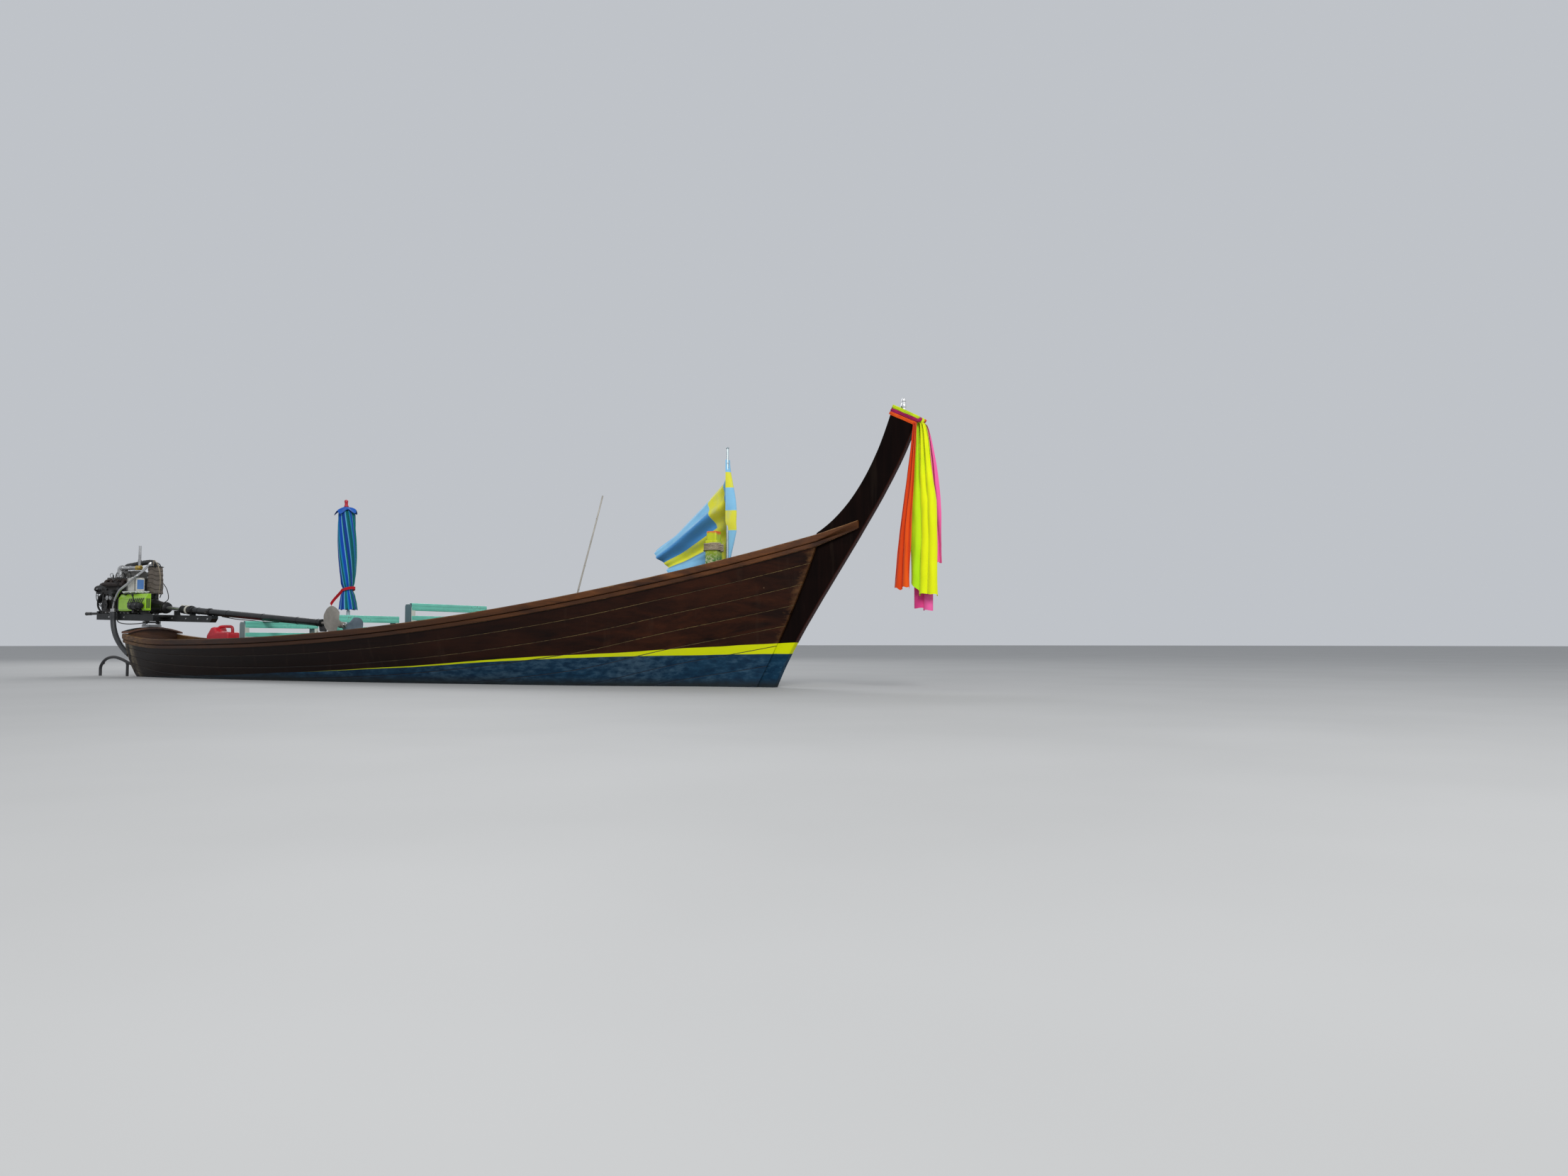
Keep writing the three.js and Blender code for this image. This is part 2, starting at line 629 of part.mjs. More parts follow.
const TUBE = { radius: 39, slim: 22, aft: -4151, fore: -1546, start: -4600 };
function engineFrame() {
  const { low, high, railIn, railOut, aft, cross, fore } = FRAME;
  const beam = new THREE.Shape();
  beam.moveTo(cross - 50, low);
  beam.lineTo(fore - 45, low);
  beam.lineTo(fore, low + 45);
  beam.lineTo(fore, high);
  beam.lineTo(cross - 50, high);
  beam.closePath();
  const centre = new THREE.ExtrudeGeometry(beam, { depth: 80, bevelEnabled: false })
    .rotateX(Math.PI / 2)
    .translate(0, 40, 0);
  const upright = (x, radius) =>
    box(x - 14, x + 14, -32, 32, leanZ(x, high) - 8, shaftZ(x) - radius - 2 * GAP - 0.9);
  const lug = (y0) => {
    const plate = box(PIVOT.x - 22, PIVOT.x + 22, y0, y0 + 18, PIVOT.z - 21, 700);
    const hole = TILT_PIN + GAP;
    return cut(plate, rod(vec(PIVOT.x, y0 - 5, PIVOT.z), vec(PIVOT.x, y0 + 23, PIVOT.z), hole, hole, 24));
  };
  return join(
    lean(box(aft, cross, railIn, railOut, low, high)),
    lean(box(aft, cross, -railOut, -railIn, low, high)),
    lean(box(aft, aft + 40, -railOut, railOut, low + 10, high + 30)),
    lean(box(cross - 50, cross, -railOut, railOut, low, high)),
    lean(centre),
    box(PIVOT.x - 80, PIVOT.x + 80, -railOut + 2, railOut - 2, low + 5, low + 18),
    lug(62),
    lug(-80),
    upright(-4362, TUBE.slim),
    upright(-4028, TUBE.radius),
    upright(-3615, TUBE.radius),
  );
}

const ENGINE = { aft: -5757, fore: -5089, half: 190, low: FRAME.high + GAP, deck: 1150, head: 1235, cover: 1325 };
const SHELF = { x0: -5112, x1: -4771, y0: -275, y1: -120, z0: 1046, z1: 1058 };
function engineBlock() {
  const { aft, fore, half, low, deck: top, head, cover } = ENGINE;
  return join(
    lean(box(aft, fore, -half, half, low, top)),
    lean(box(aft + 60, fore - 60, -118, 118, 716, low + 10)),
    lean(box(aft + 20, fore - 20, -135, 125, top - 5, head)),
    lean(box(aft + 60, fore - 60, -48, 60, head - 5, cover)),
    box(SHELF.x0, SHELF.x1, SHELF.y0, SHELF.y1, SHELF.z0, SHELF.z1),
  );
}

// The bell housing and gearbox taper down to the shaft
const BELL = { aft: ENGINE.fore + GAP, fore: TUBE.start - GAP, wide: 122, slim: 60 };
const bellRadius = (x) => lerp(BELL.wide, BELL.slim, (x - BELL.aft) / (BELL.fore - BELL.aft));
function gearbox() {
  const block = box(BELL.aft - 200, BELL.aft, -200, 200, 500, 1300);
  return cut(
    join(
      rod(shaftPoint(BELL.aft - 15), shaftPoint(BELL.aft + 22), 140, 140, 28),
      rod(shaftPoint(BELL.aft + 20), shaftPoint(BELL.fore), BELL.wide, BELL.slim, 28),
      rod(shaftPoint(BELL.fore - 22), shaftPoint(BELL.fore), 74, 74, 20),
    ),
    block,
  );
}

// The fan and pulley at the engine's aft end
function coolingFan() {
  const z = 1022;
  const at = (x) => vec(x, 0, z);
  const face = ENGINE.aft - GAP;
  return join(
    rod(at(face), at(face - 105), 34, 34, 20),
    rod(at(face - 12), at(face - 46), 95, 95, 28),
    rod(at(face - 88), at(face - 140), 185, 185, 32),
  );
}

// A lime cover on the starboard side, with its upper edge chamfered
const COVER = { x0: -5215, x1: -4604, out: -262, z0: 812, z1: 1022 };
function sideCover() {
  const face = new THREE.Shape();
  const inside = -ENGINE.half - GAP;
  face.moveTo(inside, COVER.z0);
  face.lineTo(COVER.out, COVER.z0);
  face.lineTo(COVER.out, COVER.z1 - 50);
  face.lineTo(COVER.out + 34, COVER.z1);
  face.lineTo(inside, COVER.z1);
  face.closePath();
  const alongX = new THREE.Matrix4().set(0, 0, 1, COVER.x0, 1, 0, 0, 0, 0, 1, 0, 0, 0, 0, 0, 1);
  return new THREE.ExtrudeGeometry(face, { depth: COVER.x1 - COVER.x0, bevelEnabled: false }).applyMatrix4(alongX);
}

// The header tank stands on the engine's shelf
function headerTank() {
  const { x0, y0, y1, z1 } = SHELF;
  const [a, b] = [x0 + 55, x0 + 275];
  const middle = (y0 + y1) / 2;
  const neck = (a + b) / 2 - 48;
  return join(
    box(a, b, middle - 55, middle + 55, z1 + GAP, z1 + 165),
    rod(vec(neck, middle, z1 + 160), vec(neck, middle, z1 + 200), 26, 22, 16),
  );
}

// Exhaust: an elbow off the head, a level leg with a fitting at its end and a thin upright pipe
function exhaust() {
  const y = -92;
  const elbow = { x: -5496, z: 1374, radius: 41 };
  const legEnd = -5121;
  const foot = leanZ(elbow.x - elbow.radius, ENGINE.head) + GAP;
  return join(
    rod(vec(elbow.x, y, foot), vec(elbow.x, y, elbow.z + 30), elbow.radius, elbow.radius, 20),
    rod(vec(elbow.x, y, elbow.z), vec(legEnd, y, elbow.z - 12), 24, 24, 16),
    rod(vec(legEnd - 5, y, elbow.z - 12), vec(legEnd + 90, y, elbow.z - 14), 33, 33, 16),
    rod(vec(legEnd + 60, y, elbow.z - 12), vec(legEnd + 60, y, 1641), 17, 17, 14),
  );
}

// Intake: a pipe over the head to a wrapped canister on the gearbox
const CANISTER = { x: -4915, y: 34, radius: 96, low: 1030, high: 1372 };
function intake() {
  const pipe = [
    vec(-5592, 20, leanZ(-5592, ENGINE.cover) - 12),
    vec(-5578, 20, 1390),
    vec(-5400, 24, 1417),
    vec(-5120, 30, 1440),
    vec(-4965, CANISTER.y, 1429),
    vec(CANISTER.x, CANISTER.y, 1350),
  ];
  const at = (z) => vec(CANISTER.x, CANISTER.y, z);
  const gearboxTop = shaftZ(CANISTER.x) + bellRadius(CANISTER.x);
  const head = lean(box(-5720, -5100, -100, 100, 1200, ENGINE.cover + GAP));
  return join(
    cut(tube(pipe, 30, 12, 24), head),
    rod(at(CANISTER.low), at(CANISTER.high), CANISTER.radius, CANISTER.radius, 24),
    rod(at(gearboxTop + 3), at(CANISTER.low + 5), 18, 18, 12),
  );
}

// The cooling tube runs down the starboard side to the thick hose
const HOSE = {
  radius: 32,
  top: 806,
  side: -232,
  route: [
    [-5380, 830],
    [-5381, 790],
    [-5381, 750],
    [-5380, 710],
    [-5375, 670],
    [-5367, 630],
    [-5354, 590],
    [-5336, 552],
    [-5314, 514],
    [-5287, 479],
    [-5257, 446],
    [-5224, 415],
    [-5189, 386],
    [-5152, 359],
    [-5113, 334],
    [-5073, 310],
    [-5032, 288],
    [-4990, 268],
  ],
};
function coolingTube() {
  const [x] = HOSE.route[0];
  const { side: y, top: z } = HOSE;
  const path = [
    vec(CANISTER.x, -30, CANISTER.high + 0.9),
    vec(CANISTER.x, -30, CANISTER.high + 22),
    vec(-4906, -44, 1417),
    vec(-4852, -98, 1384),
    vec(-4809, -200, 1297),
    vec(-4796, -282, 1234),
    vec(-4949, -292, 1151),
    vec(-5137, -290, 1070),
    vec(-5240, -284, 970),
    vec(-5312, -260, 912),
    vec(-5374, -235, 868),
    vec(x, y, z + 30),
  ];
  return join(tube(path, 15, 10, 36), rod(vec(x, y, z + GAP), vec(x, y, z + 42), HOSE.radius + 4, HOSE.radius + 4, 20));
}
function coolingHose() {
  const whole = tube(HOSE.route.map(([x, z]) => vec(x, HOSE.side, z)), HOSE.radius, 12, 18);
  return cut(whole, box(-5500, -5200, -300, -150, HOSE.top, HOSE.top + 100));
}

// The tiller bar points aft while the engine is stowed
function tiller() {
  const z = 800;
  const at = (x) => vec(x, 0, z);
  return join(rod(at(FRAME.aft - GAP), at(-6166), 34, 30, 20), rod(at(-6161), at(-6484), 17, 17, 16));
}

// The shaft's tube: a slim stretch, a bearing with flanges, the long tube and a skeg under its end
function shaftTube() {
  const skeg = { x0: -1599, x1: -1470, low: 541 };
  return join(
    rod(shaftPoint(TUBE.start), shaftPoint(TUBE.aft + 10), TUBE.slim, TUBE.slim, 20),
    rod(shaftPoint(TUBE.start), shaftPoint(TUBE.start + 26), 66, 66, 20),
    rod(shaftPoint(TUBE.aft), shaftPoint(TUBE.fore), TUBE.radius, TUBE.radius, 24),
    rod(shaftPoint(TUBE.aft - 110), shaftPoint(TUBE.aft + 70), 48, 48, 24),
    rod(shaftPoint(TUBE.aft + 80), shaftPoint(TUBE.aft + 104), 56, 56, 24),
    box(skeg.x0, TUBE.fore - 8, -6, 6, skeg.low, shaftZ(skeg.x0) - 5),
    box(TUBE.fore - 10, skeg.x1, -6, 6, skeg.low, shaftZ(skeg.x1) - 26),
  );
}

// The two-bladed propeller with its own stub of shaft and its nut
const BLADE = { middle: 141, long: 116, wide: 134, thick: 10, pitch: 27, rest: 24 };
function blade(turn) {
  const axle = shaftPoint(1).sub(shaftPoint(0)).normalize();
  const radial = vec(0, -1, 0).applyAxisAngle(axle, degrees(turn - BLADE.rest));
  const sideways = new THREE.Vector3().crossVectors(axle, radial);
  const chord = axle
    .clone()
    .multiplyScalar(Math.sin(degrees(BLADE.pitch)))
    .addScaledVector(sideways, Math.cos(degrees(BLADE.pitch)));
  const face = new THREE.Vector3().crossVectors(chord, radial);
  const place = new THREE.Matrix4()
    .makeBasis(radial.clone().multiplyScalar(BLADE.long), face.multiplyScalar(BLADE.thick), chord.multiplyScalar(BLADE.wide))
    .setPosition(shaftPoint(HUB_X).addScaledVector(radial, BLADE.middle));
  const disc = new THREE.CylinderGeometry(1, 1, 1, 28);
  return outward(mergeVertices(positionsOnly(disc.applyMatrix4(place)), 1e-3));
}

function propeller() {
  return join(
    rod(shaftPoint(TUBE.fore + GAP), shaftPoint(HUB_X - 30), 15, 15, 16),
    rod(shaftPoint(HUB_X - 42), shaftPoint(HUB_X + 38), 36, 30, 20),
    rod(shaftPoint(HUB_X + 36), shaftPoint(HUB_X + 66), 19, 17, 6),
    blade(0),
    blade(180),
  );
}

// The boat as a tree of groups: the hull, then what turns on the swivel, tilts on it and spins
const boat = new THREE.Group();
const hull = new THREE.Group();
const swivel = new THREE.Group();
const tilting = new THREE.Group();
const spinning = new THREE.Group();
boat.add(hull, swivel);
swivel.add(tilting);
tilting.add(spinning);
// Turns the engine to starboard about the upright line through its pivot
swivel.rotation.z = -STOWED;
swivel.position.set(PIVOT.x * (1 - Math.cos(STOWED)), PIVOT.x * Math.sin(STOWED), 0);

function add(group, name, geometry, color, roughness = 0.7, metalness = 0) {
  const mesh = new THREE.Mesh(geometry, new THREE.MeshStandardMaterial({ color, roughness, metalness }));
  mesh.name = name;
  group.add(mesh);
}

const TIMBER = "#4a2314";
const DARK_TIMBER = "#20100c";
const WORN_TIMBER = "#7a4a26";
const MINT = "#7fc9b4";
const BLACK = "#16171a";
const STEEL = "#a8a9a6";
const port = 1;
const starboard = -1;

add(hull, "keel", keel(), DARK_TIMBER);
add(hull, "stem_prow", stem(), DARK_TIMBER, 0.4);
add(hull, "transom", transom(), TIMBER);
for (let number = 0; number < STRAKES; number += 1) {
  add(hull, `strake_port_${number + 1}`, strake(number, port), TIMBER, 0.4);
  add(hull, `strake_starboard_${number + 1}`, strake(number, starboard), TIMBER, 0.4);
}
add(hull, "gunwale_port", gunwale(port), WORN_TIMBER);
add(hull, "gunwale_starboard", gunwale(starboard), WORN_TIMBER);
add(hull, "frames", frames(), TIMBER);
add(hull, "riser_port", riser(port), TIMBER);
add(hull, "riser_starboard", riser(starboard), TIMBER);
add(hull, "floorboards", deck(-3150, 2600, FLOOR_TOP, BOARD), WORN_TIMBER);
add(hull, "stern_deck", deck(-4780, -3200, STERN_DECK_TOP, BOARD), WORN_TIMBER);
add(hull, "foredeck", deck(2760, 3965, FOREDECK_TOP, BOARD, IN_PLANKS), WORN_TIMBER);
add(hull, "stern_arch", sternArch(), DARK_TIMBER);
add(hull, "swivel_base", swivelBase(), BLACK, 0.5, 0.6);
for (const bench of BENCHES) {
  add(hull, `seat_${bench.name}`, seat(bench), MINT, 0.5);
  add(hull, `backrest_${bench.name}`, backrest(bench), MINT, 0.5);
}
add(hull, "bow_post", bowPost(), "#b9c82e", 0.6);
add(hull, "post_rope", postRope(), "#b8a98c", 0.9);
add(hull, "flagpole", flagpole(), "#b9c9cf", 0.4);
add(hull, "flag", flag(), "#5fa8e0", 0.8);
add(hull, "umbrella_pole", umbrellaPole(), STEEL, 0.3, 0.8);
add(hull, "umbrella_canopy", umbrellaCanopy(), "#1f6fc4", 0.8);
add(hull, "leaning_pole", leaningPole(), "#c8c6bd", 0.5);
add(hull, "fuel_can", fuelCan(), "#c21b30", 0.4);
add(hull, "head_band", headBand(), "#d9d934", 0.8);
add(hull, "finial", finial(), "#c9ccd2", 0.25, 0.9);
for (const hanging of SCARVES) add(hull, hanging.name, scarf(hanging), hanging.color, 0.8);
add(hull, "stern_pipe", sternPipe(), BLACK, 0.5);
add(swivel, "swivel_yoke", swivelYoke(), BLACK, 0.5, 0.6);
add(tilting, "engine_frame", engineFrame(), BLACK, 0.5, 0.5);
add(tilting, "engine_block", engineBlock(), "#22211f", 0.5, 0.5);
add(tilting, "gearbox", gearbox(), "#2a2a2a", 0.5, 0.6);
add(tilting, "cooling_fan", coolingFan(), BLACK, 0.5, 0.3);
add(tilting, "side_cover", sideCover(), "#a4d40f", 0.4);
add(tilting, "header_tank", headerTank(), "#e6e6df", 0.4);
add(tilting, "exhaust", exhaust(), STEEL, 0.3, 0.9);
add(tilting, "intake", intake(), "#332c27", 0.7);
add(tilting, "cooling_tube", coolingTube(), "#d9d9d4", 0.25, 0.9);
add(tilting, "cooling_hose", coolingHose(), "#2f3134", 0.8);
add(tilting, "tiller", tiller(), BLACK, 0.5, 0.4);
add(tilting, "shaft_tube", shaftTube(), BLACK, 0.4, 0.5);
add(spinning, "propeller", propeller(), "#a39c8d", 0.5, 0.5);

export default boat;
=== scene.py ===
# A wooden longtail boat with its engine stowed over the benches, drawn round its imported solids.
# Metres. +X to the bow, +Y to port, +Z up, with the waterline at zero.
import math

import bmesh
import bpy
from mathutils import Matrix, Vector, noise


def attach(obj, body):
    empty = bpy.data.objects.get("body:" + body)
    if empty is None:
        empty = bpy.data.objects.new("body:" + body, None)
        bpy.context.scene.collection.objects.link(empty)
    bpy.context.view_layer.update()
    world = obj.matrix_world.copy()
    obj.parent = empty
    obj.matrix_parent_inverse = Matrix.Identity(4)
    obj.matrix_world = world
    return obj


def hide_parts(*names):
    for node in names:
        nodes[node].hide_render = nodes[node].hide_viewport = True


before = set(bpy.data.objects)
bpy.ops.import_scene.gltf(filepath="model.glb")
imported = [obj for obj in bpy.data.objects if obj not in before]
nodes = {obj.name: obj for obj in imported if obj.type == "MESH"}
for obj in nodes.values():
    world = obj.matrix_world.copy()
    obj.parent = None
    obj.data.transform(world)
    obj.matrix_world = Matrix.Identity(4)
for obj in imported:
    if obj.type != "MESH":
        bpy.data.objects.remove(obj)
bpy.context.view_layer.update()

# Camera
LENS, SENSOR = 26, 36
CAMERA_PLACE = (8.27, -9.70, 0.43)
CAMERA_TILT, CAMERA_TURN = math.radians(92.71), math.radians(24.5)
camera_data = bpy.data.cameras.new("camera")
camera_data.lens = LENS
camera_data.sensor_width = SENSOR
camera = bpy.data.objects.new("camera", camera_data)
camera.location = CAMERA_PLACE
camera.rotation_euler = (CAMERA_TILT, 0, CAMERA_TURN)
bpy.context.scene.collection.objects.link(camera)
bpy.context.scene.camera = camera

# The engine is drawn pointing straight forward, then turned to starboard about its pivot
PIVOT = Vector((-4.92, 0, 0.672))
STOWED = math.atan(0.125)
TURN = Matrix.Translation(PIVOT) @ Matrix.Rotation(-STOWED, 4, "Z") @ Matrix.Translation(-PIVOT)


# Small helpers
def clamp01(v):
    return min(1.0, max(0.0, v))


def smooth(v):
    v = clamp01(v)
    return v * v * (3 - 2 * v)


def lerp(a, b, t):
    return a + (b - a) * t


def even(a, b, count):
    """Evenly spaced values from a to b."""
    return [lerp(a, b, k / (count - 1)) for k in range(count)]


def circle(count, shift=0.0):
    """Angles at equal steps of a turn, each with its cosine and sine."""
    for k in range(count):
        angle = 2 * math.pi * (k + shift) / count
        yield angle, math.cos(angle), math.sin(angle)


def tinted(colour, factor, more=0.0):
    """A colour made darker or lighter."""
    return tuple(min(1, c * factor + more) for c in colour)


def chance(number, salt=0.0):
    """A fixed number from 0 to 1 for each whole number."""
    return (math.sin(number * 12.9898 + salt * 78.233) * 43758.5453) % 1.0


def rough(x, y, z, scale):
    return noise.noise(Vector((x, y, z)) * scale)


# Materials
class Look:
    """A node material built a step at a time."""

    def __init__(self, name):
        self.material = bpy.data.materials.new(name)
        self.material.use_nodes = True
        self.tree = self.material.node_tree
        self.shader = self.tree.nodes["Principled BSDF"]
        self.place = self.node("TexCoord").outputs["Object"]

    def node(self, kind, **settings):
        made = self.tree.nodes.new("ShaderNode" + kind)
        for key, value in settings.items():
            setattr(made, key, value)
        return made

    def feed(self, socket, value):
        if isinstance(value, bpy.types.NodeSocket):
            self.tree.links.new(value, socket)
        elif isinstance(value, (tuple, list)) and len(value) == 3 and socket.type == "RGBA":
            socket.default_value = (*value, 1)
        else:
            socket.default_value = value

    def attribute(self, name):
        return self.node("Attribute", attribute_name=name).outputs["Fac"]

    def flow(self):
        found = self.node("Attribute", attribute_name="flow")
        split = self.node("SeparateXYZ")
        self.feed(split.inputs[0], found.outputs["Vector"])
        return split.outputs[0], split.outputs[1]

    def split(self, vector=None):
        made = self.node("SeparateXYZ")
        self.feed(made.inputs[0], vector or self.place)
        return made.outputs

    def normal_of(self, axis):
        """How far the surface faces along an axis, 0 to 2, from its own normal."""
        found = self.node("TexCoord").outputs["Normal"]
        return self.split(found)[axis]

    def grain_shift(self, tone):
        """A shift of the noise for each plank, from its tone."""
        made = self.node("CombineXYZ")
        for socket in made.inputs:
            self.feed(socket, self.times(tone, 7.3))
        return made.outputs[0]

    def stretched(self, scale, shift=None):
        made = self.node("Mapping")
        self.feed(made.inputs["Vector"], self.place)
        made.inputs["Scale"].default_value = scale
        if shift is None:
            return made.outputs[0]
        moved = self.node("VectorMath", operation="ADD")
        self.feed(moved.inputs[0], made.outputs[0])
        self.feed(moved.inputs[1], shift)
        return moved.outputs[0]

    def noise(self, scale, stretch=(1, 1, 1), detail=4.0, roughness=0.55, warp=0.0, shift=None):
        made = self.node("TexNoise")
        self.feed(made.inputs["Vector"], self.stretched(stretch, shift))
        made.inputs["Scale"].default_value = scale
        made.inputs["Detail"].default_value = detail
        made.inputs["Roughness"].default_value = roughness
        made.inputs["Distortion"].default_value = warp
        return made.outputs["Fac"]

    def cells(self, scale, stretch=(1, 1, 1), feature="F1"):
        made = self.node("TexVoronoi", feature=feature)
        self.feed(made.inputs["Vector"], self.stretched(stretch))
        made.inputs["Scale"].default_value = scale
        return made.outputs["Distance"]

    def range(self, value, a, b, low=0.0, high=1.0):
        made = self.node("MapRange")
        for index, item in enumerate((value, a, b, low, high)):
            self.feed(made.inputs[index], item)
        return made.outputs[0]

    def sum(self, *values, how="ADD"):
        total = values[0]
        for value in values[1:]:
            made = self.node("Math", operation=how)
            self.feed(made.inputs[0], total)
            self.feed(made.inputs[1], value)
            total = made.outputs[0]
        return total

    def times(self, *values):
        return self.sum(*values, how="MULTIPLY")

    def weigh(self, *parts):
        """A sum of (value, share) parts."""
        return self.sum(*[self.times(value, share) for value, share in parts])

    def edges(self, wear, *parts):
        """How far the edges are rubbed, broken up by (noise, share) parts."""
        return self.weigh((self.attribute("wear"), wear), *parts)

    def mix(self, amount, a, b):
        made = self.node("Mix", data_type="RGBA")
        self.feed(made.inputs["Factor"], amount)
        self.feed(made.inputs[6], a)
        self.feed(made.inputs[7], b)
        return made.outputs[2]

    def blend(self, a, b, value, *limits):
        """Goes from colour a to colour b as the value runs between its limits, as range has them."""
        return self.mix(self.range(value, *limits), a, b)

    def bands(self, value, *stops, step=False):
        made = self.node("ValToRGB")
        ramp = made.color_ramp
        ramp.interpolation = "CONSTANT" if step else "LINEAR"
        while len(ramp.elements) < len(stops):
            ramp.elements.new(0.5)
        for element, (at, colour) in zip(ramp.elements, stops):
            element.position = at
            element.color = (*colour, 1)
        self.feed(made.inputs[0], value)
        return made.outputs[0]

    def curve(self, value, points):
        made = self.node("FloatCurve")
        line = made.mapping.curves[0]
        while len(line.points) < len(points):
            line.points.new(0.5, 0.5)
        for point, (x, y) in zip(line.points, points):
            point.location = (x, y)
            point.handle_type = "VECTOR"
        made.mapping.update()
        self.feed(made.inputs["Value"], value)
        return made.outputs[0]

    def done(self, colour, roughness, *bumps, metal=0.0, sheen=0.0, coat=0.0, specular=None):
        """Sets the shader; each bump is (height, strength, distance)."""
        self.feed(self.shader.inputs["Base Color"], colour)
        self.feed(self.shader.inputs["Roughness"], roughness)
        self.feed(self.shader.inputs["Metallic"], metal)
        if specular is not None:
            self.shader.inputs["Specular IOR Level"].default_value = specular
        if sheen:
            self.shader.inputs["Sheen Weight"].default_value = sheen
            self.shader.inputs["Sheen Roughness"].default_value = 0.5
        if coat:
            self.shader.inputs["Coat Weight"].default_value = coat
            self.shader.inputs["Coat Roughness"].default_value = 0.15
        before = None
        for height, strength, distance in bumps:
            made = self.node("Bump")
            made.inputs["Strength"].default_value = strength
            made.inputs["Distance"].default_value = distance
            self.feed(made.inputs["Height"], height)
            if before:
                self.feed(made.inputs["Normal"], before)
            before = made.outputs[0]
        if before:
            self.feed(self.shader.inputs["Normal"], before)
        return self.material


def grain_stretch(axis):
    """Noise coordinates squeezed along the grain."""
    return tuple(0.05 if i == axis else 1.0 for i in range(3))


def timber(name, dark, light, worn, axis=0, gloss=0.45, wear=0.5, coat=0.0, shade_run=None):
    """Worn varnished wood; given a stretch of x, it darkens along it from its light end, as painted shade."""
    look = Look(name)
    along = grain_stretch(axis)
    tone = look.attribute("tone")
    shift = look.grain_shift(tone)
    fibre = look.noise(70, along, 6, 0.7, 0.3, shift)
    figure = look.noise(7, along, 3, 0.5, 1.2, shift)
    patch = look.noise(1.6, (0.5, 1, 1), 5, 0.6, 0.4)
    body = look.blend(dark, light, figure, 0.3, 0.7)
    body = look.mix(look.times(look.range(fibre, 0.35, 0.7), 0.45), body, tinted(dark, 0.45))
    body = look.mix(look.times(tone, 0.4), body, tinted(dark, 0.5))
    body = look.blend(body, tinted(light, 0.6), patch, 0.45, 0.75, 0, 0.55)
    edge = look.edges(0.58, (fibre, 0.75), (patch, 0.35))
    rubbed = look.range(edge, 1.3 - 0.5 * wear, 1.48 - 0.5 * wear)
    colour = look.mix(rubbed, body, worn)
    if shade_run:
        x = look.split()[0]
        # Painted shade: the wood darkens along the given stretch of x
        colour = look.blend(colour, tinted(dark, 0.25), x, *shade_run, 0, 0.55)
        bleached = look.times(look.range(x, -4.1, -4.7), look.range(look.sum(patch, fibre), 0.85, 1.1))
        colour = look.mix(look.times(bleached, 0.7), colour, worn)
    roughness = look.sum(look.range(patch, 0.3, 0.7, gloss - 0.12, gloss + 0.12), look.times(rubbed, 0.3))
    return look.done(colour, roughness, (fibre, 0.35, 0.002), (figure, 0.25, 0.004), coat=coat, specular=0.3)


BLUE = (0.004, 0.022, 0.05)
LIME = (0.66, 0.72, 0.001)
STRIPE_RUN = (-5.0, 5.2)  # the hull's length in the stripe's curves
STRIPE_LOW = [(-5.0, 0.02), (-3, 0.06), (-1.5, 0.105), (-0.18, 0.162), (1.03, 0.235), (1.81, 0.27),
              (2.26, 0.285), (3.24, 0.305), (5.2, 0.34)]
STRIPE_HIGH = [(-5.0, 0.0), (-3, 0.045), (-1.5, 0.104), (-0.18, 0.171), (0.54, 0.221), (1.03, 0.256),
               (1.51, 0.286), (2.26, 0.319), (2.97, 0.368), (3.64, 0.405), (4.07, 0.424), (5.2, 0.47)]


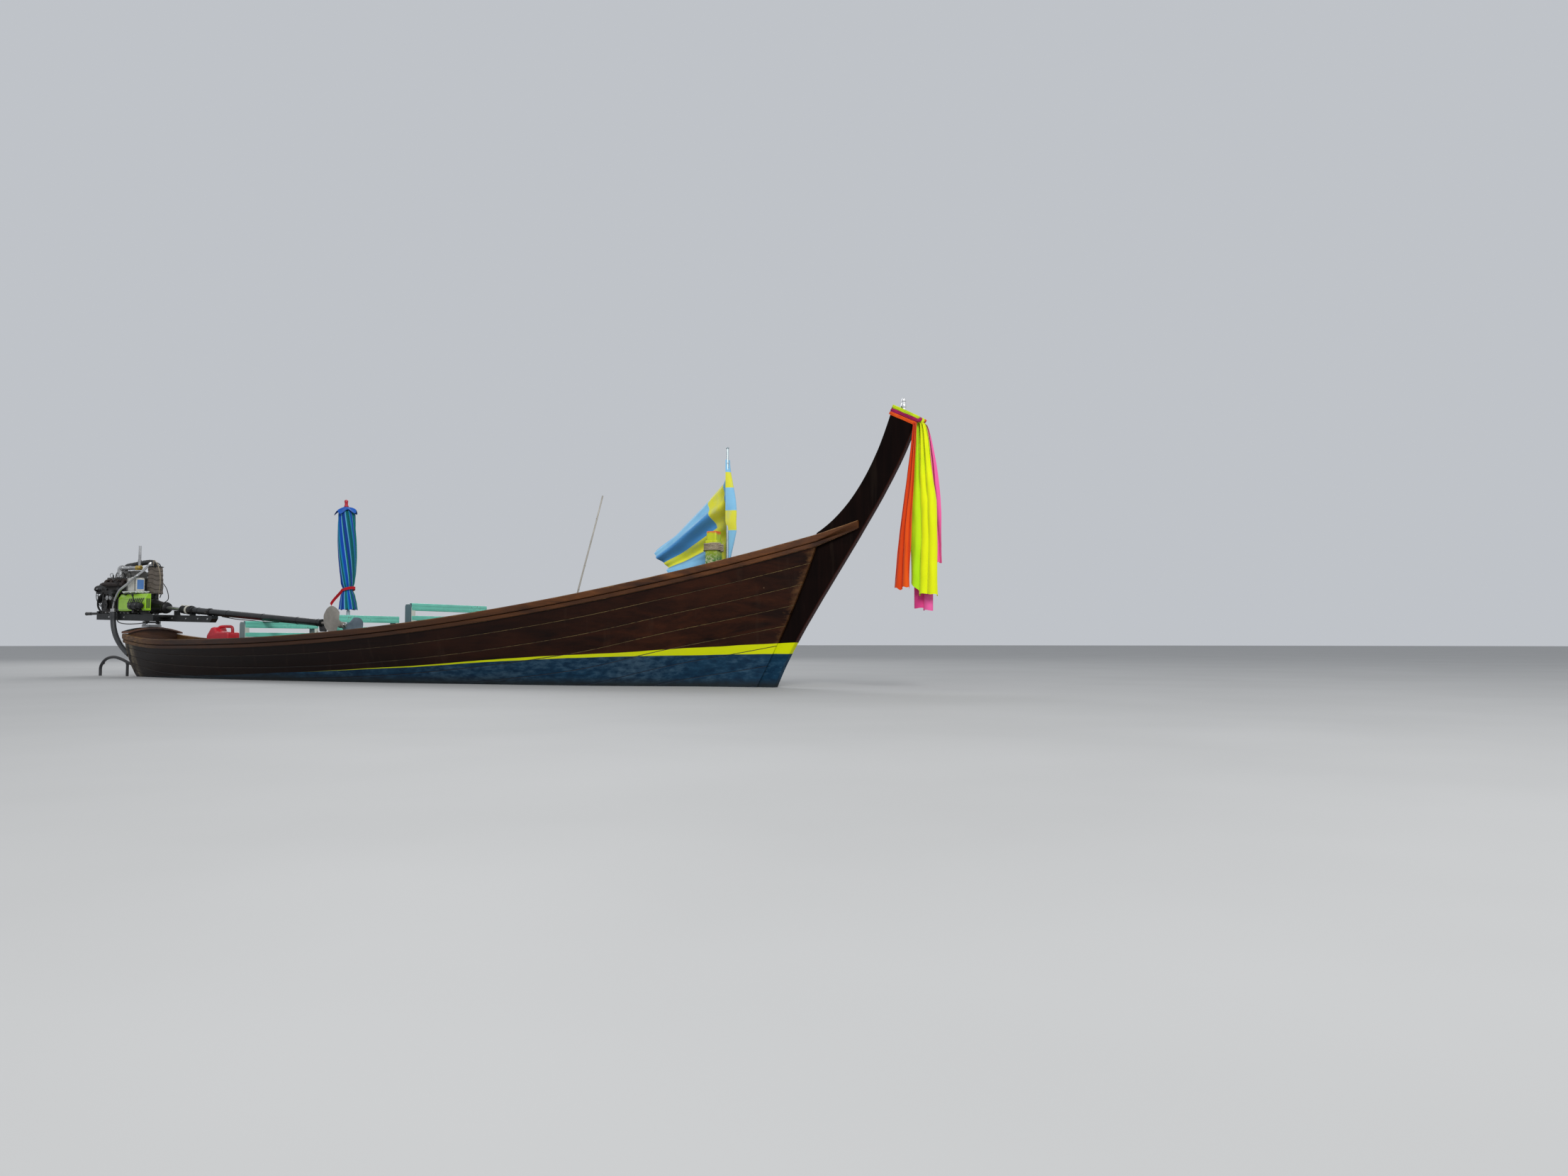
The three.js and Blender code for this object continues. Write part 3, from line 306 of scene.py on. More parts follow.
def hull_timber(name, dark, light, worn, axis=0, red_front=False, specular=0.14):
    """Varnished timber above a lime stripe, and worn blue paint under it."""
    look = Look(name)
    along = grain_stretch(axis)
    tone = look.attribute("tone")
    shift = look.grain_shift(tone)
    fibre = look.noise(60, along, 6, 0.7, 0.3, shift)
    figure = look.noise(6, along, 3, 0.5, 1.4, shift)
    patch = look.noise(1.3, (0.5, 1, 1.6), 5, 0.6, 0.5)
    fine = look.noise(24, (0.35, 1, 1), 5, 0.65)
    x, _, z = look.split()
    body = look.blend(dark, light, figure, 0.3, 0.7)
    body = look.mix(look.times(look.range(fibre, 0.3, 0.7), 0.5), body, tinted(dark, 0.35))
    body = look.mix(look.times(tone, 0.5), body, tinted(dark, 0.45))
    body = look.blend(body, tinted(light, 1.5), patch, 0.5, 0.72, 0, 0.35)
    # Painted shade: the varnished timber darkens towards the stern
    aft = look.range(x, -1.6, 3.2, 0.85, 0)
    body = look.mix(aft, body, tinted(dark, 0.3))
    if red_front:
        front = look.attribute("front")
        body = look.blend(body, (0.04, 0.009, 0.006), look.sum(front, look.times(fine, 0.4)), 0.9, 1.25)
    edge = look.edges(0.75, (fine, 0.75), (patch, 0.3))
    rubbed = look.range(edge, 1.12, 1.42)
    body = look.mix(rubbed, body, worn)
    # A grimy tide line and runs of dried salt over the stripe
    streak = look.noise(9, (1, 1, 0.08), 3, 0.6)
    body = look.blend(body, (0.12, 0.08, 0.05), streak, 0.6, 0.8, 0, 0.1)
    splash = look.times(look.range(x, -4.62, -4.8), look.range(streak, 0.38, 0.55),
                        look.range(fine, 0.3, 0.5))
    body = look.mix(splash, body, (0.24, 0.19, 0.12))
    run = look.range(x, *STRIPE_RUN)
    span = STRIPE_RUN[1] - STRIPE_RUN[0]
    lines = [[((a - STRIPE_RUN[0]) / span, b) for a, b in line] for line in (STRIPE_LOW, STRIPE_HIGH)]
    low, high = (look.curve(run, line) for line in lines)
    wavy = look.sum(z, look.range(look.noise(5, (0.4, 1, 1), 2), 0, 1, -0.006, 0.006))
    over = look.range(look.sum(wavy, high, how="SUBTRACT"), -0.0015, 0.0015)
    between = look.range(look.sum(wavy, low, how="SUBTRACT"), -0.002, 0.002)
    scuff = look.range(look.weigh((patch, 0.6), (fine, 0.55)), 0.6, 0.78)
    blue = look.blend(BLUE, (0.011, 0.052, 0.1), fine, 0.35, 0.65)
    blue = look.mix(look.times(scuff, 0.4), blue, (0.1, 0.15, 0.19))
    blue = look.blend(blue, (0.012, 0.012, 0.014), patch, 0.3, 0.42, 0.6, 0)
    tide = look.range(z, 0.02, 0.09, 0.75, 0)
    blue = look.mix(tide, blue, (0.022, 0.022, 0.016))
    lime = look.mix(look.times(scuff, 0.3), LIME, (0.5, 0.5, 0.04))
    lime = look.blend(lime, (0.3, 0.27, 0.04), streak, 0.66, 0.78, 0, 0.3)
    paint = look.mix(between, blue, lime)
    colour = look.mix(over, paint, body)
    roughness = look.sum(look.range(patch, 0.3, 0.7, 0.26, 0.42), look.times(rubbed, 0.3),
                         look.times(look.range(over, 0, 1, 1, 0), 0.2))
    return look.done(colour, roughness, (fibre, 0.3, 0.002), (patch, 0.3, 0.012), (fine, 0.15, 0.003),
                     specular=specular)


def painted_wood(name, paint, under, axis=1, chips=0.5, side=None, gloss=0.4):
    """Brushed paint over timber, chipped along its edges. side paints what faces starboard, as painted shade.
    """
    look = Look(name)
    along = grain_stretch(axis)
    brush = look.noise(90, along, 4, 0.6)
    patch = look.noise(3.5, (1, 1, 1), 5, 0.6, 0.3)
    fine = look.noise(45, (1, 1, 1), 5, 0.7)
    tone = look.attribute("tone")
    body = look.blend(paint, tinted(paint, 1.25, 0.03), patch, 0.35, 0.7)
    if side:
        # Painted shade: faces turned to starboard take the side colour
        starboard_shade = look.range(look.normal_of(1), -0.7, -0.5, 1, 0)
        body = look.mix(starboard_shade, body, side)
    body = look.mix(look.times(tone, 0.3), body, tinted(paint, 0.6))
    body = look.blend(body, tinted(paint, 0.7), brush, 0.5, 0.8, 0, 0.3)
    dirt = look.range(look.weigh((patch, 0.5), (fine, 0.5)), 0.52, 0.68, 0, 0.5)
    body = look.mix(dirt, body, tinted(paint, 0.45))
    edge = look.edges(0.6, (fine, 0.55), (patch, 0.35))
    bare = look.range(edge, 1.16 - 0.4 * chips, 1.22 - 0.4 * chips)
    colour = look.mix(bare, body, under)
    roughness = look.sum(look.range(brush, 0.3, 0.7, gloss - 0.08, gloss + 0.1), look.times(bare, 0.3))
    return look.done(colour, roughness, (brush, 0.25, 0.0015), (look.range(bare, 0, 1, 1, 0), 0.5, 0.001))


def metal(name, body_colour, worn, dust, metallic=0.6, gloss=0.42, wear=0.5, brushed=None):
    """Metal or painted steel with rubbed edges and dust where it faces up."""
    look = Look(name)
    fine = look.noise(60, grain_stretch(brushed) if brushed is not None else (1, 1, 1), 5, 0.7)
    patch = look.noise(6, (1, 1, 1), 5, 0.65, 0.4)
    spots = look.cells(38)
    body = look.blend(body_colour, tinted(body_colour, 1.6, 0.01), patch, 0.35, 0.7)
    body = look.blend(body, tinted(worn, 0.5), spots, 0.05, 0.22, 0.35, 0)
    edge = look.edges(0.6, (fine, 0.6), (patch, 0.3))
    rubbed = look.range(edge, 1.18 - 0.4 * wear, 1.28 - 0.4 * wear)
    body = look.mix(rubbed, body, worn)
    up = look.times(look.range(look.normal_of(2), 0.4, 0.95, 0, 0.6), look.range(patch, 0.3, 0.7))
    colour = look.mix(up, body, dust)
    roughness = look.sum(look.range(fine, 0.25, 0.75, gloss - 0.12, gloss + 0.14), look.times(up, 0.3))
    return look.done(colour, roughness, (fine, 0.12, 0.001), (patch, 0.2, 0.003), metal=metallic)


def plastic(name, colour, shade, gloss=0.4, coat=0.0):
    look = Look(name)
    fine = look.noise(150, (1, 1, 1), 3, 0.6)
    patch = look.noise(5, (1, 1, 1), 4, 0.6, 0.4)
    scratch = look.noise(40, (0.1, 1, 1), 4, 0.7, 0.8)
    body = look.blend(colour, shade, patch, 0.35, 0.7)
    body = look.blend(body, tinted(colour, 1.5, 0.06), scratch, 0.62, 0.72, 0, 0.4)
    edge = look.range(look.edges(0.5, (fine, 0.4)), 0.6, 0.8, 0, 0.4)
    body = look.mix(edge, body, tinted(colour, 1.4, 0.05))
    grime = look.times(look.range(look.normal_of(2), 0.3, 0.9, 0, 0.3), look.range(patch, 0.4, 0.65))
    body = look.mix(grime, body, (0.2, 0.17, 0.13))
    roughness = look.range(patch, 0.3, 0.7, gloss - 0.08, gloss + 0.14)
    return look.done(body, roughness, (fine, 0.12, 0.0006), (scratch, 0.1, 0.0008), coat=coat)


def weave(look, per_metre=520):
    """Height of crossed threads, for a cloth with flow in metres."""
    u, v = look.flow()
    turn = per_metre * 2 * math.pi
    sines = []
    for value in (u, v):
        made = look.node("Math", operation="SINE")
        look.feed(made.inputs[0], look.times(value, turn))
        sines.append(made.outputs[0])
    return look.range(look.times(*sines), -1, 1)


def cloth(name, colour, shade, sheen=0.35, paint=None, per_metre=520):
    """Woven cloth; paint(look) may give its own colour from the cloth's flow."""
    look = Look(name)
    threads = weave(look, per_metre)
    patch = look.noise(9, (1, 1, 0.5), 4, 0.6)
    fine = look.noise(120, (1, 1, 1), 3, 0.6)
    body = paint(look) if paint else look.blend(colour, shade, patch, 0.3, 0.7)
    body = look.blend(body, shade, patch, 0.5, 0.75, 0, 0.3)
    body = look.mix(look.times(threads, 0.1), body, tinted(colour, 1.4, 0.01))
    roughness = look.range(fine, 0.3, 0.7, 0.62, 0.82)
    return look.done(body, roughness, (threads, 0.2, 0.0006), (patch, 0.35, 0.01), sheen=sheen, specular=0.15)


# Shapes
class Shape:
    """Points and faces of one piece, with how worn and how dark each point is."""

    def __init__(self):
        self.points, self.faces, self.slots, self.flow = [], [], [], []
        self.wear, self.tone, self.front = [], [], []

    def add(self, made, tone=0.0, slot=0, move=None):
        points, faces, wear = made[:3]
        flow = made[3] if len(made) > 3 else [(0.0, 0.0)] * len(points)
        start = len(self.points)
        self.points += [move @ Vector(p) if move else Vector(p) for p in points]
        self.faces += [tuple(start + i for i in f) for f in faces]
        self.wear += [wear] * len(points) if isinstance(wear, (int, float)) else list(wear)
        self.tone += [tone] * len(points)
        self.slots += [slot] * len(faces)
        self.flow += flow
        self.front += made[4] if len(made) > 4 else [0.0] * len(points)
        return self

    def piece(self, name, body, materials, replaces=(), slot=None, turned=False, angle=32):
        mesh = bpy.data.meshes.new(name)
        mesh.from_pydata(self.points, [], self.faces)
        for key, values in (("wear", self.wear), ("tone", self.tone), ("front", self.front)):
            mesh.attributes.new(key, "FLOAT", "POINT").data.foreach_set("value", values)
        flat = [c for u, v in self.flow for c in (u, v, 0.0)]
        mesh.attributes.new("flow", "FLOAT_VECTOR", "POINT").data.foreach_set("vector", flat)
        for material in materials if isinstance(materials, (list, tuple)) else [materials]:
            mesh.materials.append(material)
        mesh.polygons.foreach_set("material_index", self.slots)
        if turned:
            mesh.transform(TURN)
        mesh.polygons.foreach_set("use_smooth", [True] * len(self.faces))
        mesh.set_sharp_from_angle(angle=math.radians(angle))
        mesh.validate()
        obj = bpy.data.objects.new(name, mesh)
        bpy.context.scene.collection.objects.link(obj)
        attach(obj, body)
        if replaces:
            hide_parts(*replaces)
        return obj

    def fit(self, name, materials, slot, replaces=(), angle=32):
        """A piece that rides on the engine, turned with it."""
        return self.piece(name, "engine", materials, replaces, slot, turned=True, angle=angle)


def worn_solid(points, faces, bevel=0.004, edge=0.014, segments=2):
    """Rounds every edge of a closed shape and marks the points near the edges as worn."""
    bm = bmesh.new()
    made = [bm.verts.new(p) for p in points]
    for f in faces:
        bm.faces.new([made[i] for i in f])
    bmesh.ops.recalc_face_normals(bm, faces=bm.faces)
    flats = bmesh.ops.bevel(bm, geom=bm.edges[:], offset=bevel, segments=segments, affect="EDGES",
                            profile=0.5)
    rounded = set(flats["faces"])
    for face in [f for f in bm.faces if f not in rounded]:
        short = min(e.calc_length() for e in face.edges)
        bmesh.ops.inset_individual(bm, faces=[face], thickness=min(edge, 0.4 * short))
        face.tag = True
    inner = {v for face in bm.faces if face.tag for v in face.verts}
    bm.verts.index_update()
    out = [v.co.copy() for v in bm.verts], [tuple(v.index for v in f.verts) for f in bm.faces]
    wear = [0.0 if v in inner else 1.0 for v in bm.verts]
    bm.free()
    return *out, wear


BOX_FACES = [(0, 3, 2, 1), (4, 5, 6, 7), (0, 1, 5, 4), (1, 2, 6, 5), (2, 3, 7, 6), (3, 0, 4, 7)]


def block(x0, x1, y0, y1, z0, z1, bevel=0.004, edge=0.014, segments=2):
    corners = [(x, y, z) for z in (z0, z1) for x, y in ((x0, y0), (x1, y0), (x1, y1), (x0, y1))]
    return worn_solid(corners, BOX_FACES, bevel, edge, segments)


def prism(outline, a, b, axis="Y", bevel=0.003, edge=0.012, segments=2):
    """A flat outline pushed along an axis, from a to b."""
    place = {
        "X": lambda p, t: (t, p[0], p[1]),
        "Y": lambda p, t: (p[0], t, p[1]),
        "Z": lambda p, t: (p[0], p[1], t),
    }[axis]
    count = len(outline)
    points = [place(p, t) for t in (a, b) for p in outline]
    faces = [tuple(range(count)), tuple(range(count, 2 * count))]
    faces += [(i, (i + 1) % count, count + (i + 1) % count, count + i) for i in range(count)]
    return worn_solid(points, faces, bevel, edge, segments)


def loft(rings, closed=True, caps=True, wear=None, flow=None):
    """Joins rings of points; wear may be one value for each point of a ring."""
    count = len(rings[0])
    points = [Vector(p) for ring in rings for p in ring]
    faces = []
    for r in range(len(rings) - 1):
        for i in range(count if closed else count - 1):
            j = (i + 1) % count
            faces.append((r * count + i, r * count + j, (r + 1) * count + j, (r + 1) * count + i))
    if caps and closed:
        faces.append(tuple(range(count))[::-1])
        faces.append(tuple((len(rings) - 1) * count + i for i in range(count)))
    marks = [0.0] * len(points)
    if wear is not None:
        marks = list(wear) * (len(rings) if len(wear) == count else 1)
    return points, faces, marks, flow or [(0.0, 0.0)] * len(points)


def grid_faces(rows, columns):
    """Faces between rows of points, with columns + 1 points in each row."""
    starts = [j * (columns + 1) + i for j in range(rows) for i in range(columns)]
    return [(a, a + 1, a + columns + 2, a + columns + 1) for a in starts]


def aim(a, b):
    """A matrix that takes +Z from the origin to the way from a to b, at a."""
    along = Vector(b) - Vector(a)
    return Matrix.Translation(a) @ along.to_track_quat("Z", "Y").to_matrix().to_4x4()


def turned(profile, sides=24, a=(0, 0, 0), b=(0, 0, 1), wear=0.0):
    """A profile of (radius, height) turned about the line from a towards b."""
    place = aim(a, b)
    points, faces, marks = [], [], []
    for k, (radius, height) in enumerate(profile):
        for _, c, s in circle(sides):
            points.append(place @ Vector((radius * c, radius * s, height)))
        sharp = 0 < k < len(profile) - 1
        marks += [0.6 if sharp else wear] * sides
    for k in range(len(profile) - 1):
        for i in range(sides):
            j = (i + 1) % sides
            faces.append((k * sides + i, k * sides + j, (k + 1) * sides + j, (k + 1) * sides + i))
    faces.append(tuple(range(sides))[::-1])
    faces.append(tuple((len(profile) - 1) * sides + i for i in range(sides)))
    return points, faces, marks


def can(a, b, radius, chamfer=0.002, sides=24):
    """A short cylinder from a to b with chamfered rims."""
    length = (Vector(b) - Vector(a)).length
    chamfer = min(chamfer, 0.4 * length, 0.4 * radius)
    profile = [(radius - chamfer, 0), (radius, chamfer), (radius, length - chamfer),
               (radius - chamfer, length)]
    return turned(profile, sides, a, b, 0.8)


def smooth_line(points, steps):
    """A Catmull-Rom curve through the points."""
    points = [Vector(p) for p in points]
    ends = [2 * points[0] - points[1]] + points + [2 * points[-1] - points[-2]]
    out = []
    for i in range(1, len(ends) - 2):
        a, b, c, d = ends[i - 1 : i + 3]
        for k in range(steps):
            t = k / steps
            out.append(0.5 * (2 * b + (c - a) * t + (2 * a - 5 * b + 4 * c - d) * t * t
                              + (3 * b - a - 3 * c + d) * t**3))
    return out + [points[-1]]


def pipe(points, radius, sides=10, steps=6, phase=0.0):
    """A tube with closed ends along a smooth curve through the points."""
    line = smooth_line(points, steps) if steps > 1 else [Vector(p) for p in points]
    tangents = []
    for i in range(len(line)):
        tangents.append((line[min(i + 1, len(line) - 1)] - line[max(i - 1, 0)]).normalized())
    side = tangents[0].orthogonal().normalized()
    rings = []
    for i, (p, t) in enumerate(zip(line, tangents)):
        side = (side - t * side.dot(t)).normalized()
        other = t.cross(side)
        r = radius(i / (len(line) - 1)) if callable(radius) else radius
        turn = [2 * math.pi * k / sides + phase for k in range(sides)]
        rings.append([p + r * (math.cos(a) * side + math.sin(a) * other) for a in turn])
    return loft(rings)


def bolt(at, towards, size=0.009, high=0.007):
    """A hexagonal head on a washer, standing on a surface."""
    base = Vector(at)
    up = (Vector(towards) - base).normalized()
    washer = can(base, base + up * 0.002, size * 1.35, 0.0006, 14)
    head = turned([(size, 0), (size, high - 0.0015), (size - 0.0015, high)], 6, base + up * 0.0018, base + up,
                  0.6)
    points = washer[0] + head[0]
    faces = washer[1] + [tuple(i + len(washer[0]) for i in f) for f in head[1]]
    return points, faces, washer[2] + head[2]


def dress(name, material):
    """Gives a CAD node that stays its material."""
    obj = nodes[name]
    obj.data.materials.clear()
    obj.data.materials.append(material)


# Cord: the cooling hose, which hangs stiff and free from its collar
HOSE_SIDE = -0.232
HOSE_ROUTE = [(-5.381, 0.806), (-5.381, 0.79), (-5.381, 0.75), (-5.380, 0.71), (-5.375, 0.67), (-5.367, 0.63),
              (-5.354, 0.59), (-5.336, 0.552), (-5.314, 0.514), (-5.287, 0.479), (-5.257, 0.446),
              (-5.224, 0.415), (-5.189, 0.386), (-5.152, 0.359), (-5.113, 0.334), (-5.073, 0.31),
              (-5.032, 0.288), (-4.99, 0.268)]
HOSE_DIAMETER = 0.064


def rubber_look():
    look = Look("hose_rubber")
    fine = look.noise(160, (1, 1, 1), 4, 0.65)
    patch = look.noise(7, (1, 1, 1), 4, 0.6)
    cracks = look.cells(45, (1, 1, 0.4), "DISTANCE_TO_EDGE")
    body = look.blend((0.035, 0.037, 0.04), (0.075, 0.077, 0.08), patch, 0.35, 0.7)
    body = look.blend(body, (0.015, 0.015, 0.015), cracks, 0, 0.02, 0.5, 0)
    body = look.blend(body, (0.14, 0.13, 0.12), fine, 0.6, 0.75, 0, 0.4)
    return look.done(body, look.range(patch, 0.3, 0.7, 0.38, 0.6), (fine, 0.3, 0.001), (cracks, 0.15, 0.001))


def add_hose():
    line = [TURN @ Vector((x, HOSE_SIDE, z)) for x, z in HOSE_ROUTE]
    curve = bpy.data.curves.new("cooling_hose_rubber", "CURVE")
    curve.dimensions = "3D"
    spline = curve.splines.new("BEZIER")
    spline.bezier_points.add(len(line) - 1)
    for point, at in zip(spline.bezier_points, line):
        point.co = at
        point.handle_left_type = point.handle_right_type = "AUTO"
    curve.bevel_depth = HOSE_DIAMETER / 2
    curve.bevel_resolution = 5
    curve.resolution_u = 6
    curve.use_fill_caps = True
    curve.materials.append(rubber_look())
    obj = bpy.data.objects.new("cooling_hose_rubber", curve)
    bpy.context.scene.collection.objects.link(obj)
    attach(obj, "engine")
    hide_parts("cooling_hose")


add_hose()


# The hull's form, as the solids have it
STERN = -4.93
BOW = 4.22
WIDEST_AT = -0.6
HALF_BEAM, HALF_STERN, HALF_BOW = 0.8, 0.385, 0.1036
LOW_SHEER_AT, LOW_SHEER = -4.0, 0.456
DRAUGHT = 0.3
RAIL_PROUD = 0.03
RAIL_HEIGHT = 0.066
PLANK = 0.028
IN_PLANKS = PLANK + 0.0005
IN_RIBS = PLANK + 0.0505


def sheer(x):
    run = x - LOW_SHEER_AT
    return LOW_SHEER + (0.00654 * run**2.37 if run > 0 else 0.085 * run * run)


def half_breadth(x):
    if x < WIDEST_AT:
        return lerp(HALF_BEAM, HALF_STERN, min(1, (WIDEST_AT - x) / (WIDEST_AT - STERN)) ** 2.2)
    return lerp(HALF_BEAM, HALF_BOW, min(1, (x - WIDEST_AT) / (BOW - WIDEST_AT)) ** 2)


def keel_line(x):
    return -DRAUGHT + 0.15 * max(0, (-x - 3) / 1.93) ** 2 + 0.13 * max(0, (x - 1.5) / 2) ** 2


def make_station(x):
    """The points of a section from the sheer down to the keel, and the girth run to each."""
    to_bow = smooth((x - 1.8) / (BOW - 1.8))
    to_stern = 1 - smooth((x - STERN) / 0.8)
    low_x = x - 0.72 * to_bow**1.3 + 0.17 * to_stern
    top = Vector((x, half_breadth(x) - RAIL_PROUD, sheer(x) - RAIL_HEIGHT))
    low = Vector((low_x, lerp(0.03, 0.0736, smooth((x - 1.6) / 1.3)), keel_line(low_x)))
    full = lerp(lerp(0.93, 0.52, to_bow), 0.85, to_stern)
    bend = Vector((lerp(top.x, low.x, full * 0.75), lerp(low.y, top.y, full),
                   lerp(top.z, low.z, lerp(0.94, 0.5, to_bow))))
    steps = 96
    fine = [(1 - t) ** 2 * top + 2 * t * (1 - t) * bend + t * t * low
            for t in (i / steps for i in range(steps + 1))]
    runs = [0.0]
    for a, b in zip(fine, fine[1:]):
        runs.append(runs[-1] + (b - a).length)
    return fine, runs


STATIONS = 120
stations = [make_station(x) for x in even(STERN, BOW, STATIONS + 1)]


def on_station(index, share):
    """The point at a share of a section's girth, and the way into the hull there."""
    fine, runs = stations[index]
    target = clamp01(share) * runs[-1]
    k = 0
    while k < len(runs) - 2 and runs[k + 1] < target:
        k += 1
    t = (target - runs[k]) / (runs[k + 1] - runs[k])
    along = (fine[k + 1] - fine[k]).normalized()
    inward = Vector((0, along.z, -along.y)).normalized()
    return fine[k].lerp(fine[k + 1], t), inward


def hull_point(index, share, depth, side=1):
    """A point of the hull at a depth inside its outer face."""
    at, inward = on_station(index, share)
    p = at + inward * depth
    return Vector((p.x, side * p.y, p.z))


def inner_half(x, z, depth):
    """Half the width between the planks at a place and height."""
    index = int(round(clamp01((x - STERN) / (BOW - STERN)) * STATIONS))
    fine, _ = stations[index]
    for a, b in zip(fine, fine[1:]):
        if a.z >= z >= b.z:
            along = (b - a).normalized()
            inward = Vector((0, along.z, -along.y)).normalized()
            p = a.lerp(b, (a.z - z) / max(1e-6, a.z - b.z)) + inward * depth
            return max(0.0, p.y)
    return fine[0].y - depth if z > fine[0].z else 0.0


# Timbers
UMBER = (0.012, 0.0038, 0.0021)
CHESTNUT = (0.06, 0.0155, 0.005)
hull_wood = hull_timber("hull_wood", UMBER, CHESTNUT, (0.12, 0.052, 0.017))
stem_wood = hull_timber("stem_wood", (0.003, 0.0013, 0.001), (0.009, 0.003, 0.002), (0.12, 0.055, 0.025), 2,
                        red_front=True, specular=0.06)
# The rail darkens from the bow towards the stern, as painted shade
rail_wood = timber("rail_wood", (0.026, 0.009, 0.004), (0.19, 0.062, 0.013), (0.3, 0.16, 0.06), 0, 0.5, 0.6,
                   shade_run=(3.4, -1.5))
deck_wood = timber("deck_wood", (0.13, 0.065, 0.03), (0.28, 0.16, 0.08), (0.36, 0.26, 0.16), 0, 0.65, 0.7)
inner_wood = timber("inner_wood", (0.045, 0.018, 0.01), (0.12, 0.05, 0.024), (0.22, 0.13, 0.07), 0, 0.6, 0.4)
rib_wood = timber("rib_wood", (0.05, 0.02, 0.01), (0.14, 0.06, 0.028), (0.24, 0.14, 0.08), 2, 0.6, 0.4)
cross_wood = timber("cross_wood", (0.05, 0.02, 0.011), (0.16, 0.07, 0.03), (0.34, 0.24, 0.15), 1, 0.45, 0.5)


def caulk_look():
    look = Look("seam_caulk")
    fine = look.noise(50, (0.3, 1, 1), 4, 0.65)
    patch = look.noise(3, (0.5, 1, 1), 4, 0.6)
    body = look.blend((0.06, 0.034, 0.01), (0.2, 0.13, 0.04), patch, 0.35, 0.7)
    body = look.blend(body, (0.02, 0.009, 0.004), fine, 0.45, 0.62, 0, 0.85)
    x, _, z = look.split()
    under = look.range(look.sum(z, look.times(x, -0.035)), 0.2, 0.24, 0.85, 0)
    body = look.mix(under, body, BLUE)
    # Painted shade: the seams darken towards the stern
    body = look.blend(body, (0.009, 0.004, 0.0024), x, -1.6, 2.2, 0.85, 0)
    return look.done(body, look.range(fine, 0.3, 0.7, 0.6, 0.85), (fine, 0.4, 0.002))


caulk = caulk_look()
PLANKS = 8


def planking(side, word):
    shape = Shape()
    for k in range(PLANKS):
        rings, marks = [], []
        for i in range(STATIONS + 1):
            girth = stations[i][1][-1]
            seam = 0.0022 / girth
            wobble = 0.0012 * rough(i * 0.21, k * 3.1, side, 1) / girth
            s0 = k / PLANKS + (seam + wobble if k else 0.0005 / girth)
            s1 = (k + 1) / PLANKS - (seam if k < PLANKS - 1 else 0.0005 / girth)
            edge = 0.005 / girth
            outer = [(s0, 0.0045), (s0 + edge, 0.0006), (lerp(s0, s1, 0.25), 0), (lerp(s0, s1, 0.5), -0.0006),
                     (lerp(s0, s1, 0.75), 0), (s1 - edge, 0.0006), (s1, 0.0045)]
            inner = [(s1, PLANK), (lerp(s0, s1, 0.5), PLANK), (s0, PLANK)]
            rings.append([hull_point(i, s, d, side) for s, d in outer + inner])
            end = smooth((i - STATIONS + 3.2) / 3.2) if i > STATIONS - 4 else smooth((1.2 - i) / 1.2)
            marks += [max(w, end) for w in (0.42, 0.1, 0, 0, 0, 0.1, 0.42, 0, 0, 0)]
        if side > 0:
            rings = [ring[::-1] for ring in rings]
            marks = [m for i in range(0, len(marks), 10) for m in marks[i : i + 10][::-1]]
        shape.add(loft(rings, wear=marks), tone=chance(k, side))
    for k in range(1, PLANKS):
        rings = []
        for i in range(STATIONS + 1):
            girth = stations[i][1][-1]
            wide = 0.0026 / girth
            deep = 0.0022 + 0.0012 * rough(i * 0.4, k, side, 1)
            line = [(k / PLANKS - wide, deep), (k / PLANKS + wide, deep), (k / PLANKS + wide, 0.02),
                    (k / PLANKS - wide, 0.02)]
            ring = [hull_point(i, s, d, side) for s, d in line]
            rings.append(ring if side < 0 else ring[::-1])
        shape.add(loft(rings), slot=1)
    shape.piece(f"planking_{word}", "hull", [hull_wood, caulk], [f"strake_{word}_{n}" for n in range(1, 7)],
                "hull_timber")


planking(-1, "starboard")
planking(1, "port")

# The rails: a cap over a rubbing band, run on beside the prow
RAIL_END = 4.62
CAP_WEAR = (0.2, 0.5, 0.9, 0.15, 0.95, 0.8, 0.1, 0.6, 0.4)
BAND_WEAR = (0, 0.3, 0.6, 0.35, 0.9, 0.2)


